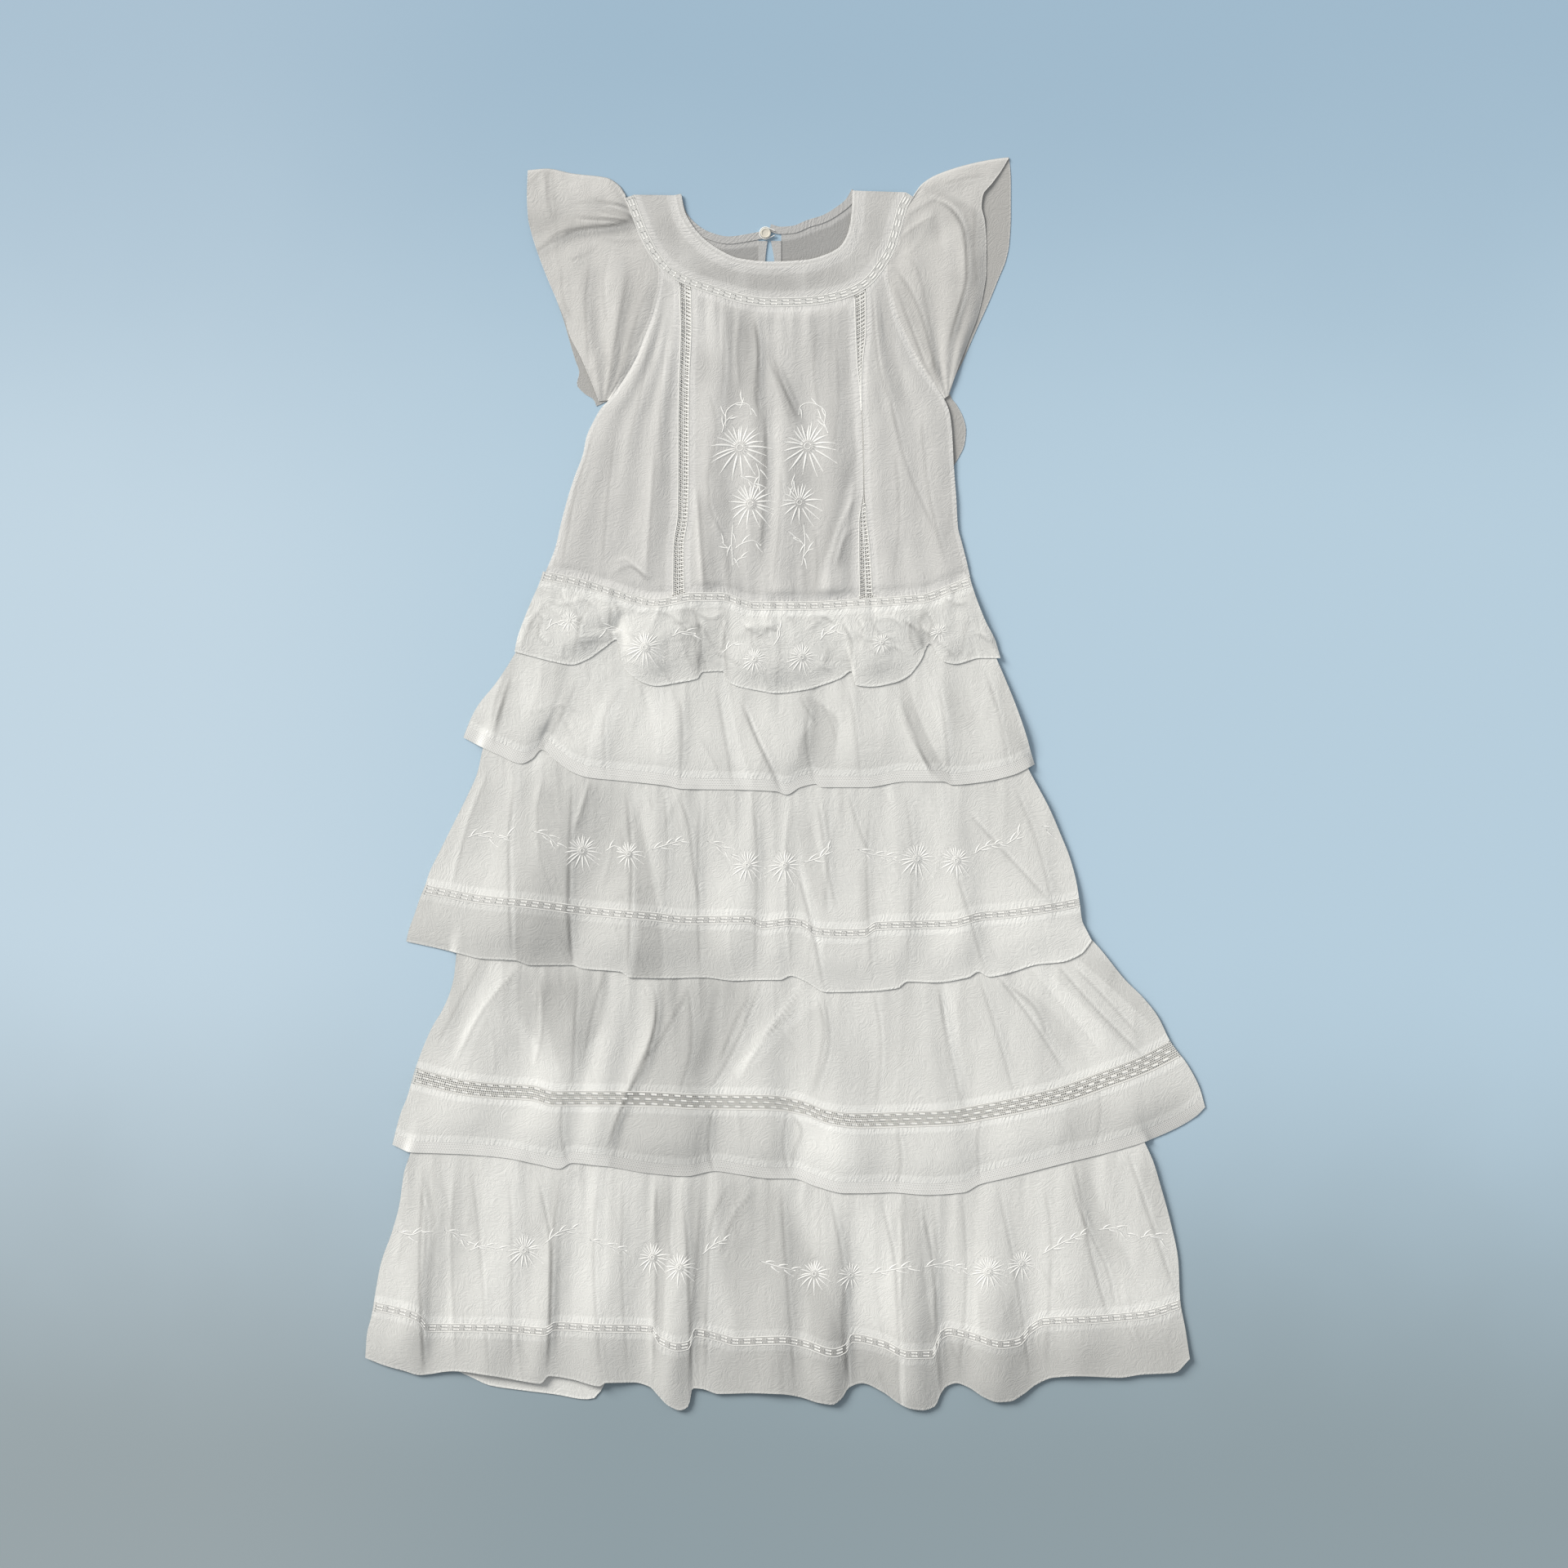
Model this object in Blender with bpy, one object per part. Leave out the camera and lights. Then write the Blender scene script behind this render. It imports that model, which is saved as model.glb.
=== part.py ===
"""Tiered embroidered midi dress, laid flat on its back on a level surface.

Plan points are (column, row) pairs read by hand from the photograph, in its
1920-pixel frame, and PIXEL turns them into metres. Heights are in millimetres.
+X is the photograph's right, +Y is towards the neck and +Z is up. Each piece of
cloth is a wall on a grid of columns and rows, and it rests on what lies below.
"""
import math

import bmesh
import bpy
import numpy as np

# Driving sizes, in metres
SHOULDER_TO_HEM = 1.256
BUTTON_DIAMETER = 0.0112
NARROW_LACE = 0.0095
WIDE_LACE = 0.0172
EDGE_LACE = 0.0120
NECK_BINDING = 0.0078

# Where the photograph shows those sizes, in pixels
SHOULDER_ROW = 237
HEM_ROW = 1697
MIDDLE_COLUMN = 961.5
MIDDLE_ROW = 959.5
PIXEL = SHOULDER_TO_HEM / (HEM_ROW - SHOULDER_ROW)
PX_PER_MM = 0.001 / PIXEL

# Cloth, in millimetres
WALL = 1.0
LAYER_GAP = 0.35
SEAM = 0.45 * PX_PER_MM
WIDE_SEAM = 0.9 * PX_PER_MM
THICKEST = 1.7

# Height map on which each layer rests, in pixels; a layer of wider cells needs a longer reach
MAP_CELL = 3.0
MAP_COLUMNS = (420.0, 1500.0)
MAP_ROWS = (170.0, 1750.0)
REACH = 26.0
BACK_REACH = 48.0
SOFTNESS = 8.0
TRACE_FINENESS = 12

# Neck, yoke and its insertion lace, from the left shoulder to the right; the slit opens the back yoke
NECK_FRONT = [(834, 237), (838, 257), (846, 273), (860, 290), (880, 305), (905, 316), (943, 320),
              (985, 318), (1012, 311), (1030, 300), (1039, 282), (1043, 258), (1044, 233)]
NECK_BACK_LEFT = [(834, 238), (840, 259), (853, 274), (870, 284), (892, 289), (915, 286), (940, 281)]
NECK_BACK_RIGHT = [(944, 274), (956, 277), (970, 276), (988, 269), (1007, 263), (1024, 253), (1036, 243),
                   (1043, 231)]
YOKE_LACE = [(771, 240), (779, 262), (788, 285), (800, 308), (818, 330), (845, 345), (880, 357),
             (910, 366), (945, 370), (985, 369), (1015, 365), (1042, 357), (1062, 345), (1078, 326),
             (1091, 303), (1099, 276), (1106, 252), (1114, 238)]
YOKE_COLUMNS = 31
SLIT_END = 362
SLIT_LEFT_EDGE = [(941.5, 286), (940, 293), (937, 318), (936.5, 335), (939, 352), (942, 363)]
SLIT_RIGHT_EDGE = [(943.5, 280), (944, 293), (948, 318), (948.5, 335), (946, 352), (943.2, 363)]
PLACKET_OUTER = {"left": 928.5, "right": 956.5}
PLACKET_ROWS = (294.5, 361.0)
PLACKET_NECK_ROWS = {"left": 284.0, "right": 277.5}
PLACKET_CLEARANCE = 4.0

# Bodice: the raglan seams run down from the yoke lace to the underarms, then the sides to the waist
LEFT_SIDE = [(809, 344), (801, 380), (791, 408), (778, 440), (760, 470), (745, 490), (735, 501),
             (727, 515), (718, 535), (714, 555), (703, 585), (695, 610), (687, 640), (680, 670), (668, 700)]
RIGHT_SIDE = [(1085, 334), (1097, 385), (1108, 412), (1122, 440), (1138, 464), (1156, 488), (1163, 506),
              (1166, 530), (1168, 570), (1171, 610), (1173, 645), (1178, 665), (1185, 693), (1189, 712)]
BACK_RIGHT_SIDE = [(1085, 334), (1097, 385), (1110, 420), (1126, 450), (1138, 480), (1146, 510), (1152, 540),
                   (1160, 568), (1170, 610), (1172, 645), (1177, 665), (1184, 693), (1188, 712)]
LACE_LEFT = [(839, 346), (840, 400), (838, 460), (837, 520), (837, 580), (836, 630), (831, 670), (831, 730)]
LACE_RIGHT = [(1053, 346), (1054, 400), (1053, 440), (1054, 480), (1057, 540), (1058, 600), (1057, 640),
              (1059, 680), (1061, 735)]
LACE_LEFT_WIDTH = [(346, 15.5), (460, 14), (560, 15), (640, 14), (730, 16)]
LACE_RIGHT_WIDTH = [(346, 15), (410, 14), (450, 6), (472, 1.8), (604, 1.8), (630, 9), (660, 14), (735, 18)]
WAIST_LACE_SIDES = ([(667, 690), (661, 712), (652, 733)], [(1186, 700), (1191, 719), (1200, 740)])
WAIST_LACE = [(667, 705), (702, 711), (742, 722), (783, 735), (804, 739), (825, 736), (849, 731), (885, 731),
              (926, 742), (987, 742), (1061, 738), (1130, 733), (1167, 720), (1189, 712)]

# The panels hang from the yoke lace below its row, and the sleeves from the part above theirs
PANEL_ARC_ROW = 332
SLEEVE_ARC_ROW = 326
RAGLAN_ROW = 330
UNDERARM_ROWS = {"left": 500, "right": 490, "back_right": 570}
# Columns of each panel's top left, top right, bottom left and bottom right corner
PANEL_CORNERS = {
    "back_bodice": (809, 1085, 668, 1187),
    "side_front_left": (809, 831, 668, 822),
    "lace_front_left": (831, 847, 823, 839),
    "centre_front": (847, 1045, 840, 1051),
    "lace_front_right": (1045, 1061, 1052, 1070),
    "side_front_right": (1061, 1085, 1071, 1187),
}
PANEL_DEPTHS = np.array([0.0, 0.09, 0.17, 0.26, 0.34, 0.44, 0.56, 0.68, 0.77, 0.88, 1.0])
BACK_BODICE_COLUMNS = 16
SIDE_FRONT_COLUMNS = 10

# Sleeves, from the tip at the shoulder fold down to the underarm
SLEEVE_LEFT_FOLD = [(646, 208), (669, 206), (700, 212), (740, 217), (756, 227), (763, 238)]
SLEEVE_LEFT_HEM = [(646, 208), (645, 240), (646, 262), (650, 283), (656, 303), (662, 320), (671, 343),
                   (681, 366), (690, 388), (698, 412), (709, 433), (720, 458), (728, 478), (733, 491)]
SLEEVE_LEFT_BACK_HEM = [(646, 208), (646, 262), (657, 303), (672, 343), (690, 392), (698, 420), (704, 440),
                        (709, 456), (706, 470), (716, 482), (727, 489), (730, 497)]
SLEEVE_RIGHT_FOLD = [(1121, 239), (1131, 225), (1150, 213), (1190, 200), (1220, 194), (1236, 192)]
SLEEVE_RIGHT_HEM = [(1236, 192), (1226, 209), (1215, 224), (1204, 238), (1202, 252), (1206, 270),
                    (1208, 300), (1208, 330), (1205, 355), (1199, 382), (1187, 415), (1176, 443),
                    (1168, 465), (1162, 484)]
SLEEVE_RIGHT_BACK_HEM = [(1236, 192), (1238, 221), (1238, 262), (1236, 298), (1232, 318), (1224, 338),
                         (1210, 372), (1195, 405), (1180, 440), (1163, 482), (1172, 496), (1180, 512),
                         (1183, 526), (1181, 545), (1176, 556), (1169, 569)]
SLEEVE_COLUMNS = 8
SLEEVE_FRONT_DEPTHS = np.array([0.012, 0.07, 0.17, 0.29, 0.42, 0.55, 0.68, 0.84, 1.0])
SLEEVE_BACK_DEPTHS = np.array([0.012, 0.12, 0.30, 0.48, 0.64, 0.76, 0.84, 0.92, 1.0])
SLEEVE_INSET = 0.006

# Tiers: side edges from the tucked top to the hem, then lines across from left to right
TIER_SIDES = {
    1: ([(661, 712), (652, 733), (643, 755), (633, 783), (630, 798)],
        [(1191, 719), (1206, 759), (1219, 785), (1225, 806)]),
    2: ([(648, 762), (631, 799), (606, 838), (588, 860), (581, 871), (573, 888), (567, 903)],
        [(1198, 757), (1223, 813), (1244, 864), (1258, 905), (1262, 920), (1267, 936)]),
    3: ([(600, 893), (591, 918), (585, 945), (572, 975), (558, 1003), (538, 1043), (525, 1070), (521, 1083),
         (514, 1100), (508, 1118), (500, 1140), (497, 1153)],
        [(1246, 912), (1259, 941), (1285, 990), (1298, 1020), (1310, 1050), (1318, 1080), (1322, 1105),
         (1325, 1127), (1331, 1140), (1337, 1152)]),
    4: ([(566, 1132), (559, 1167), (556, 1195), (551, 1215), (541, 1238), (530, 1256), (517, 1285),
         (508, 1310), (499, 1342), (490, 1365), (480, 1402)],
        [(1320, 1136), (1340, 1154), (1378, 1200), (1401, 1223), (1418, 1245), (1433, 1275), (1455, 1305),
         (1469, 1332), (1476, 1356)]),
    5: ([(515, 1368), (503, 1411), (495, 1435), (489, 1475), (480, 1508), (466, 1548), (460, 1580),
         (455, 1610), (449, 1635), (447, 1663)],
        [(1378, 1355), (1401, 1398), (1412, 1422), (1422, 1455), (1433, 1495), (1443, 1545), (1445, 1590),
         (1452, 1630), (1457, 1664)]),
}
TIER_TOPS = {
    2: [(648, 762), (760, 778), (960, 788), (1100, 778), (1198, 757)],
    3: [(600, 893), (760, 922), (960, 930), (1100, 924), (1246, 912)],
    4: [(566, 1132), (760, 1150), (960, 1158), (1150, 1155), (1320, 1136)],
    5: [(515, 1368), (760, 1385), (960, 1402), (1180, 1402), (1378, 1355)],
}
TIER_LACES = {
    3: [(516, 1089), (545, 1094), (584, 1101), (650, 1107), (722, 1116), (795, 1122), (844, 1127),
        (916, 1126), (932, 1133), (965, 1129), (982, 1131), (999, 1141), (1040, 1143), (1058, 1142),
        (1072, 1134), (1164, 1131), (1200, 1122), (1233, 1119), (1290, 1111), (1322, 1105)],
    4: [(506, 1317), (530, 1323), (565, 1331), (610, 1336), (650, 1338), (680, 1345), (740, 1345),
        (800, 1346), (860, 1349), (940, 1350), (980, 1356), (1015, 1368), (1050, 1372), (1120, 1370),
        (1165, 1368), (1200, 1362), (1250, 1352), (1300, 1340), (1350, 1322), (1400, 1303), (1437, 1284)],
    5: [(457, 1600), (480, 1604), (505, 1610), (516, 1616), (524, 1626), (600, 1626), (667, 1630),
        (679, 1624), (730, 1626), (797, 1628), (808, 1642), (830, 1649), (842, 1647), (850, 1632),
        (880, 1638), (900, 1643), (957, 1641), (985, 1646), (1020, 1656), (1034, 1651), (1042, 1639),
        (1080, 1646), (1111, 1658), (1140, 1658), (1150, 1636), (1160, 1631), (1190, 1637), (1225, 1646),
        (1245, 1643), (1260, 1628), (1276, 1619), (1350, 1615), (1400, 1610), (1443, 1597)],
}
TIER_HEMS = {
    1: [(630, 798), (660, 806), (680, 811), (700, 814), (718, 808), (740, 793), (756, 783), (761, 812),
        (772, 826), (790, 837), (803, 840), (830, 836), (854, 831), (860, 823), (886, 822), (891, 834),
        (905, 841), (925, 845), (950, 849), (985, 845), (1012, 837), (1030, 830), (1042, 822),
        (1048, 839), (1065, 841), (1095, 836), (1112, 828), (1128, 808), (1138, 788), (1148, 803),
        (1157, 811), (1170, 813), (1200, 806), (1225, 806)],
    2: [(567, 903), (590, 915), (612, 925), (638, 935), (652, 929), (663, 918), (680, 931), (700, 945),
        (720, 952), (760, 956), (815, 962), (835, 966), (900, 967), (950, 969), (963, 973), (980, 964),
        (999, 960), (1005, 964), (1060, 964), (1110, 957), (1155, 957), (1166, 961), (1200, 958),
        (1240, 949), (1267, 936)],
    3: [(497, 1153), (530, 1160), (560, 1167), (590, 1174), (630, 1176), (650, 1182), (701, 1182),
        (713, 1186), (760, 1190), (771, 1197), (815, 1198), (860, 1197), (900, 1201), (930, 1200),
        (955, 1200), (968, 1195), (985, 1201), (1012, 1215), (1060, 1214), (1099, 1210), (1111, 1202),
        (1145, 1203), (1185, 1197), (1198, 1190), (1211, 1196), (1240, 1190), (1270, 1181), (1300, 1178),
        (1324, 1168), (1337, 1152)],
    4: [(480, 1402), (503, 1411), (530, 1412), (560, 1413), (590, 1415), (620, 1418), (660, 1426),
        (685, 1431), (700, 1424), (730, 1427), (742, 1428), (760, 1431), (790, 1436), (840, 1440),
        (875, 1434), (905, 1438), (945, 1443), (970, 1443), (1000, 1453), (1035, 1461), (1060, 1461),
        (1090, 1460), (1135, 1463), (1180, 1460), (1200, 1450), (1225, 1444), (1250, 1438), (1300, 1425),
        (1350, 1413), (1402, 1398), (1440, 1382), (1465, 1367), (1476, 1356)],
    5: [(447, 1663), (470, 1672), (495, 1679), (514, 1684), (524, 1683), (555, 1679), (600, 1684),
        (640, 1691), (662, 1694), (672, 1685), (700, 1689), (734, 1697), (742, 1693), (775, 1693),
        (795, 1698), (806, 1709), (818, 1721), (833, 1727), (843, 1722), (848, 1700), (860, 1701),
        (880, 1707), (920, 1706), (957, 1707), (980, 1711), (1003, 1718), (1019, 1720), (1030, 1713),
        (1040, 1699), (1055, 1694), (1080, 1704), (1100, 1718), (1115, 1725), (1130, 1727), (1145, 1722),
        (1152, 1707), (1159, 1698), (1171, 1694), (1186, 1699), (1205, 1711), (1222, 1717), (1237, 1716),
        (1252, 1708), (1270, 1695), (1290, 1687), (1320, 1685), (1370, 1687), (1400, 1683), (1438, 1681),
        (1457, 1664)],
}
# The lowest back tier shows past the front hem on the left; the others end a little above it
BACK_HEM_5 = [(448, 1655), (500, 1672), (552, 1677), (575, 1686), (600, 1697), (640, 1703), (680, 1708),
              (718, 1714), (732, 1711), (742, 1689), (800, 1685), (900, 1693), (1010, 1699), (1100, 1690),
              (1200, 1694), (1300, 1680), (1400, 1677), (1455, 1655)]
BACK_HEM_LIFT = 7.0
BACK_SHARES = np.linspace(0.0, 1.0, 15)
# Pieces of each tier: name, the lines above and below it, and its rows of cells
TIER_PIECES = {
    1: [("tier1", "top", "hem", 4)],
    2: [("tier2", "top", "edge_top", 4), ("tier2_edge", "edge_top", "hem", 1)],
    3: [("tier3", "top", "lace_top", 5), ("tier3_lace", "lace_top", "lace_bottom", 1),
        ("tier3_band", "lace_bottom", "hem", 2)],
    4: [("tier4", "top", "lace_top", 5), ("tier4_lace", "lace_top", "lace_bottom", 1),
        ("tier4_band", "lace_bottom", "edge_top", 2), ("tier4_edge", "edge_top", "hem", 1)],
    5: [("tier5", "top", "lace_top", 6), ("tier5_lace", "lace_top", "lace_bottom", 1),
        ("tier5_band", "lace_bottom", "hem", 2)],
}

# Folds of each front tier: columns at the hem of the left foot, crest and right foot, the
# crest's height in millimetres, and the part of the tier's depth above which it is flat
TIER_FOLDS = {
    1: [(634, 698, 757, 5.0, 0.10), (757, 774, 856, 7.5, 0.05), (857, 866, 889, 4.0, 0.05),
        (889, 912, 1043, 6.5, 0.05), (1043, 1056, 1126, 6.0, 0.10), (1138, 1157, 1215, 5.0, 0.20)],
    2: [(572, 640, 664, 4.5, 0.30), (664, 722, 745, 4.0, 0.30), (745, 815, 836, 3.5, 0.30),
        (836, 884, 904, 4.0, 0.30), (904, 963, 1000, 5.0, 0.30), (1002, 1050, 1110, 4.5, 0.30),
        (1110, 1166, 1200, 4.0, 0.30), (1200, 1240, 1264, 2.0, 0.35)],
    3: [(530, 630, 704, 6.5, 0.12), (704, 768, 862, 6.0, 0.12), (866, 903, 928, 4.0, 0.15),
        (930, 952, 968, 4.0, 0.20), (968, 1007, 1020, 5.0, 0.15), (1020, 1056, 1070, 3.5, 0.15),
        (1070, 1111, 1150, 4.0, 0.20), (1150, 1197, 1212, 5.0, 0.15), (1212, 1280, 1330, 3.5, 0.20)],
    4: [(498, 560, 612, 4.0, 0.20), (612, 672, 697, 6.0, 0.16), (700, 728, 744, 6.5, 0.16),
        (746, 830, 876, 7.0, 0.16), (876, 945, 968, 5.5, 0.16), (970, 1035, 1100, 6.0, 0.16),
        (1100, 1168, 1202, 6.0, 0.16), (1202, 1275, 1340, 5.5, 0.16), (1340, 1402, 1468, 4.5, 0.16)],
    5: [(452, 507, 524, 6.0, 0.16), (524, 600, 630, 5.0, 0.16), (630, 662, 677, 6.5, 0.16),
        (677, 734, 772, 5.0, 0.16), (795, 826, 848, 9.0, 0.20), (852, 868, 884, 3.5, 0.20),
        (900, 957, 980, 4.0, 0.20), (980, 1019, 1041, 8.0, 0.16), (1070, 1125, 1155, 9.0, 0.20),
        (1180, 1225, 1268, 7.5, 0.20), (1270, 1330, 1365, 4.0, 0.16), (1370, 1425, 1453, 3.5, 0.20)],
}
# Folds of the bodice pieces and sleeves: left foot, crest and right foot as shares across, the
# height in millimetres, then the depths at which each starts and ends
SIDE_LEFT_FOLDS = [(0.02, 0.16, 0.30, 3.0, 0.05, 1.0), (0.32, 0.46, 0.60, 2.5, 0.10, 0.95),
                   (0.62, 0.76, 0.94, 3.0, 0.10, 0.95)]
SIDE_RIGHT_FOLDS = [(0.04, 0.14, 0.30, 3.5, 0.10, 1.0), (0.32, 0.44, 0.62, 3.0, 0.05, 1.0),
                    (0.64, 0.76, 0.96, 3.0, 0.10, 1.0)]
CENTRE_FOLDS = [(0.04, 0.14, 0.26, 3.0, 0.10, 1.0), (0.30, 0.38, 0.44, 4.0, 0.05, 0.95),
                (0.46, 0.56, 0.66, 3.0, 0.05, 1.0), (0.72, 0.84, 0.97, 4.0, 0.15, 1.0)]
SLEEVE_FOLDS = [(0.10, 0.26, 0.42, 3.0, 0.25, 0.95), (0.46, 0.60, 0.74, 3.5, 0.20, 0.95),
                (0.78, 0.88, 0.98, 2.5, 0.25, 0.95)]
FOLD_FADE_IN = 0.25
FOLD_FADE_OUT = 0.12
CENTRE_GATHERS = 18
CENTRE_GATHER_HEIGHT = 1.8
CENTRE_GATHER_REACH = 0.22
WAIST_GATHER_REACH = 0.14

# Button, with its section as (distance in from the rim, height), and its thread loop, in millimetres
BUTTON_PLACE = (937.5, 285.0)
BUTTON_SIDES = 16
BUTTON_BASE = [(0.6, 0.0), (0.0, 0.6), (0.0, 1.5), (0.5, 2.0), (1.5, 2.0), (2.1, 1.5)]
BUTTON_DISH = 1.4
LOOP_RADIUS = 0.55
LOOP_SIDES = 6
LOOP_SPACE = 0.3
LOOP_TURN = (80.0, 280.0)
LOOP_TAIL = (9.5, 2.4)


def ease(t):
    """Smooth step from 0 to 1."""
    t = np.clip(t, 0.0, 1.0)
    return t * t * (3.0 - 2.0 * t)


def along(knots, at):
    """Read a smooth, never overshooting curve through (place, value) knots."""
    knots = np.asarray(knots, dtype=float)
    place, value = knots[:, 0], knots[:, 1]
    step = np.diff(place)
    slope = np.diff(value) / step
    tangent = np.zeros_like(value)
    tangent[0], tangent[-1] = slope[0], slope[-1]
    before, after = slope[:-1], slope[1:]
    together = before * after > 0
    mean = 2.0 * before * after / np.where(together, before + after, 1.0)
    tangent[1:-1] = np.where(together, mean, 0.0)
    at = np.clip(np.asarray(at, dtype=float), place[0], place[-1])
    cell = np.clip(np.searchsorted(place, at, side="right") - 1, 0, len(step) - 1)
    width = step[cell]
    t = (at - place[cell]) / width
    return ((2 * t ** 3 - 3 * t ** 2 + 1) * value[cell] + (t ** 3 - 2 * t ** 2 + t) * width * tangent[cell]
            + (3 * t ** 2 - 2 * t ** 3) * value[cell + 1] + (t ** 3 - t ** 2) * width * tangent[cell + 1])


def spread(first, last, cells):
    """Evenly spaced places, one more than the cells between them."""
    return np.linspace(first, last, cells + 1)


def edge(points, rows):
    """Column of a side edge at each row, from points that run downwards."""
    return along([(row, column) for column, row in points], rows)


def across(points, share):
    """Row of a line that runs from left to right, at a share of its own width."""
    first, last = points[0][0], points[-1][0]
    return along([((column - first) / (last - first), row) for column, row in points], share)


def trace(points, count):
    """Points evenly spaced by length along a smooth curve, as two arrays."""
    points = np.asarray(points, dtype=float)
    length = np.concatenate([[0.0], np.cumsum(np.hypot(*np.diff(points, axis=0).T))])
    at = np.linspace(0.0, length[-1], TRACE_FINENESS * len(points))
    fine = np.array([along(np.column_stack([length, points[:, k]]), at) for k in (0, 1)])
    length = np.concatenate([[0.0], np.cumsum(np.hypot(*np.diff(fine, axis=1)))])
    at = np.linspace(0.0, length[-1], count)
    return np.array([np.interp(at, length, fine[k]) for k in (0, 1)])


def beside(line, distance):
    """Move a traced line sideways; along the neck a positive distance is outwards."""
    ahead = np.gradient(line, axis=1)
    ahead /= np.hypot(*ahead)
    return line + distance * np.array([-ahead[1], ahead[0]])


def between(first, second, rows):
    """Grid of plan points that blends one traced line into another."""
    share = np.linspace(0.0, 1.0, rows + 1)[:, None]
    return (first[0] * (1 - share) + second[0] * share,
            first[1] * (1 - share) + second[1] * share)


def region(top, bottom, left, right, shares, depths):
    """Grid of plan points inside four edges; top and bottom give a row for each share across."""
    share, depth = np.meshgrid(shares, depths)
    rows = top(share) * (1 - depth) + bottom(share) * depth
    start = edge(left, top(0.0) * (1 - depth) + bottom(0.0) * depth)
    end = edge(right, top(1.0) * (1 - depth) + bottom(1.0) * depth)
    return start * (1 - share) + end * share, rows


def ridge(share, foot_left, crest, foot_right):
    """Rise from 0 at the feet to 1 at the crest."""
    rising = (share - foot_left) / (crest - foot_left)
    falling = (foot_right - share) / (foot_right - crest)
    return ease(np.minimum(rising, falling))


def tier_relief(tier, share, depth):
    """Height of a front tier's folds, from flat at its tucked top to full at its hem."""
    first, last = TIER_HEMS[tier][0][0], TIER_HEMS[tier][-1][0]
    height = np.zeros_like(share)
    for foot_left, crest, foot_right, full, start in TIER_FOLDS[tier]:
        places = [(column - first) / (last - first) for column in (foot_left, crest, foot_right)]
        swell = 1.0 - (1.0 - np.clip((depth - start) / (1.0 - start), 0.0, 1.0)) ** 2
        height += full * swell * ridge(share, *places)
    return height


def bodice_relief(folds, share, depth):
    """Height of long folds that start and end inside a bodice piece or a sleeve."""
    height = np.zeros_like(share)
    for foot_left, crest, foot_right, full, start, end in folds:
        fade = ease((depth - start) / FOLD_FADE_IN)
        if end < 1.0:
            fade = fade * ease((end - depth) / FOLD_FADE_OUT)
        height += full * fade * ridge(share, foot_left, crest, foot_right)
    return height


def gather_relief(share, depth, count, full, reach):
    """Height of even gathers that fade with depth below a seam."""
    return full * (0.5 - 0.5 * np.cos(2 * math.pi * count * share)) * np.clip(1 - depth / reach, 0, 1)


class HeightMap:
    """Highest cloth so far over each plan point, which the next layer rests on."""

    def __init__(self):
        columns = int((MAP_COLUMNS[1] - MAP_COLUMNS[0]) / MAP_CELL)
        rows = int((MAP_ROWS[1] - MAP_ROWS[0]) / MAP_CELL)
        self.height = np.zeros((rows, columns))
        self.resting = self.height.copy()

    def stamp(self, column, row, top):
        """Record the top of one piece, quad by quad."""
        reach = max(np.abs(np.diff(column, axis=0)).max(), np.abs(np.diff(column, axis=1)).max(),
                    np.abs(np.diff(row, axis=0)).max(), np.abs(np.diff(row, axis=1)).max())
        steps = int(math.ceil(reach / (0.6 * MAP_CELL)))
        for i in range(steps + 1):
            for j in range(steps + 1):
                a, b = i / steps, j / steps
                blend = [(g[:-1, :-1] * (1 - a) + g[1:, :-1] * a) * (1 - b)
                         + (g[:-1, 1:] * (1 - a) + g[1:, 1:] * a) * b for g in (column, row, top)]
                x = ((blend[0] - MAP_COLUMNS[0]) / MAP_CELL).astype(int)
                y = ((blend[1] - MAP_ROWS[0]) / MAP_CELL).astype(int)
                np.maximum.at(self.height, (y, x), blend[2])

    def settle(self, reach, softness):
        """Spread the map sideways, then soften it, so a coarse layer clears what it rests on."""
        wide = self.height.copy()
        for axis in (0, 1):
            for _ in range(int(math.ceil((reach + softness) / MAP_CELL))):
                wide = np.maximum(wide, np.maximum(np.roll(wide, 1, axis), np.roll(wide, -1, axis)))
        for axis in (0, 1):
            soft = wide.copy()
            span = int(softness / MAP_CELL)
            for shift in range(1, span + 1):
                soft += np.roll(wide, shift, axis) + np.roll(wide, -shift, axis)
            wide = soft / (2 * span + 1)
        self.resting = wide

    def under(self, column, row):
        """Height that a layer rests on over each plan point."""
        x = (column - MAP_COLUMNS[0]) / MAP_CELL - 0.5
        y = (row - MAP_ROWS[0]) / MAP_CELL - 0.5
        x0, y0 = np.floor(x).astype(int), np.floor(y).astype(int)
        a, b = x - x0, y - y0
        m = self.resting
        return ((m[y0, x0] * (1 - a) + m[y0, x0 + 1] * a) * (1 - b)
                + (m[y0 + 1, x0] * (1 - a) + m[y0 + 1, x0 + 1] * a) * b)


def metres(column, row, height):
    """World points of plan columns and rows in pixels with heights in millimetres."""
    return np.stack([(column - MIDDLE_COLUMN) * PIXEL, (MIDDLE_ROW - row) * PIXEL, height * 0.001], axis=-1)


def upright_wall(column, row, low):
    """Thickness to add straight up so that the wall measures WALL square to the cloth."""
    points = metres(column, row, low)
    normal = np.cross(np.gradient(points, axis=1), np.gradient(points, axis=0))
    level = np.abs(normal[..., 2]) / np.linalg.norm(normal, axis=-1)
    return np.minimum(WALL / level, THICKEST)


def material(name, colour, roughness):
    """Principled material with a plain colour."""
    made = bpy.data.materials.new(name)
    made.use_nodes = True
    shader = made.node_tree.nodes["Principled BSDF"]
    shader.inputs["Base Color"].default_value = (*colour, 1.0)
    shader.inputs["Roughness"].default_value = roughness
    made.diffuse_color = (*colour, 1.0)
    return made


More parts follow.
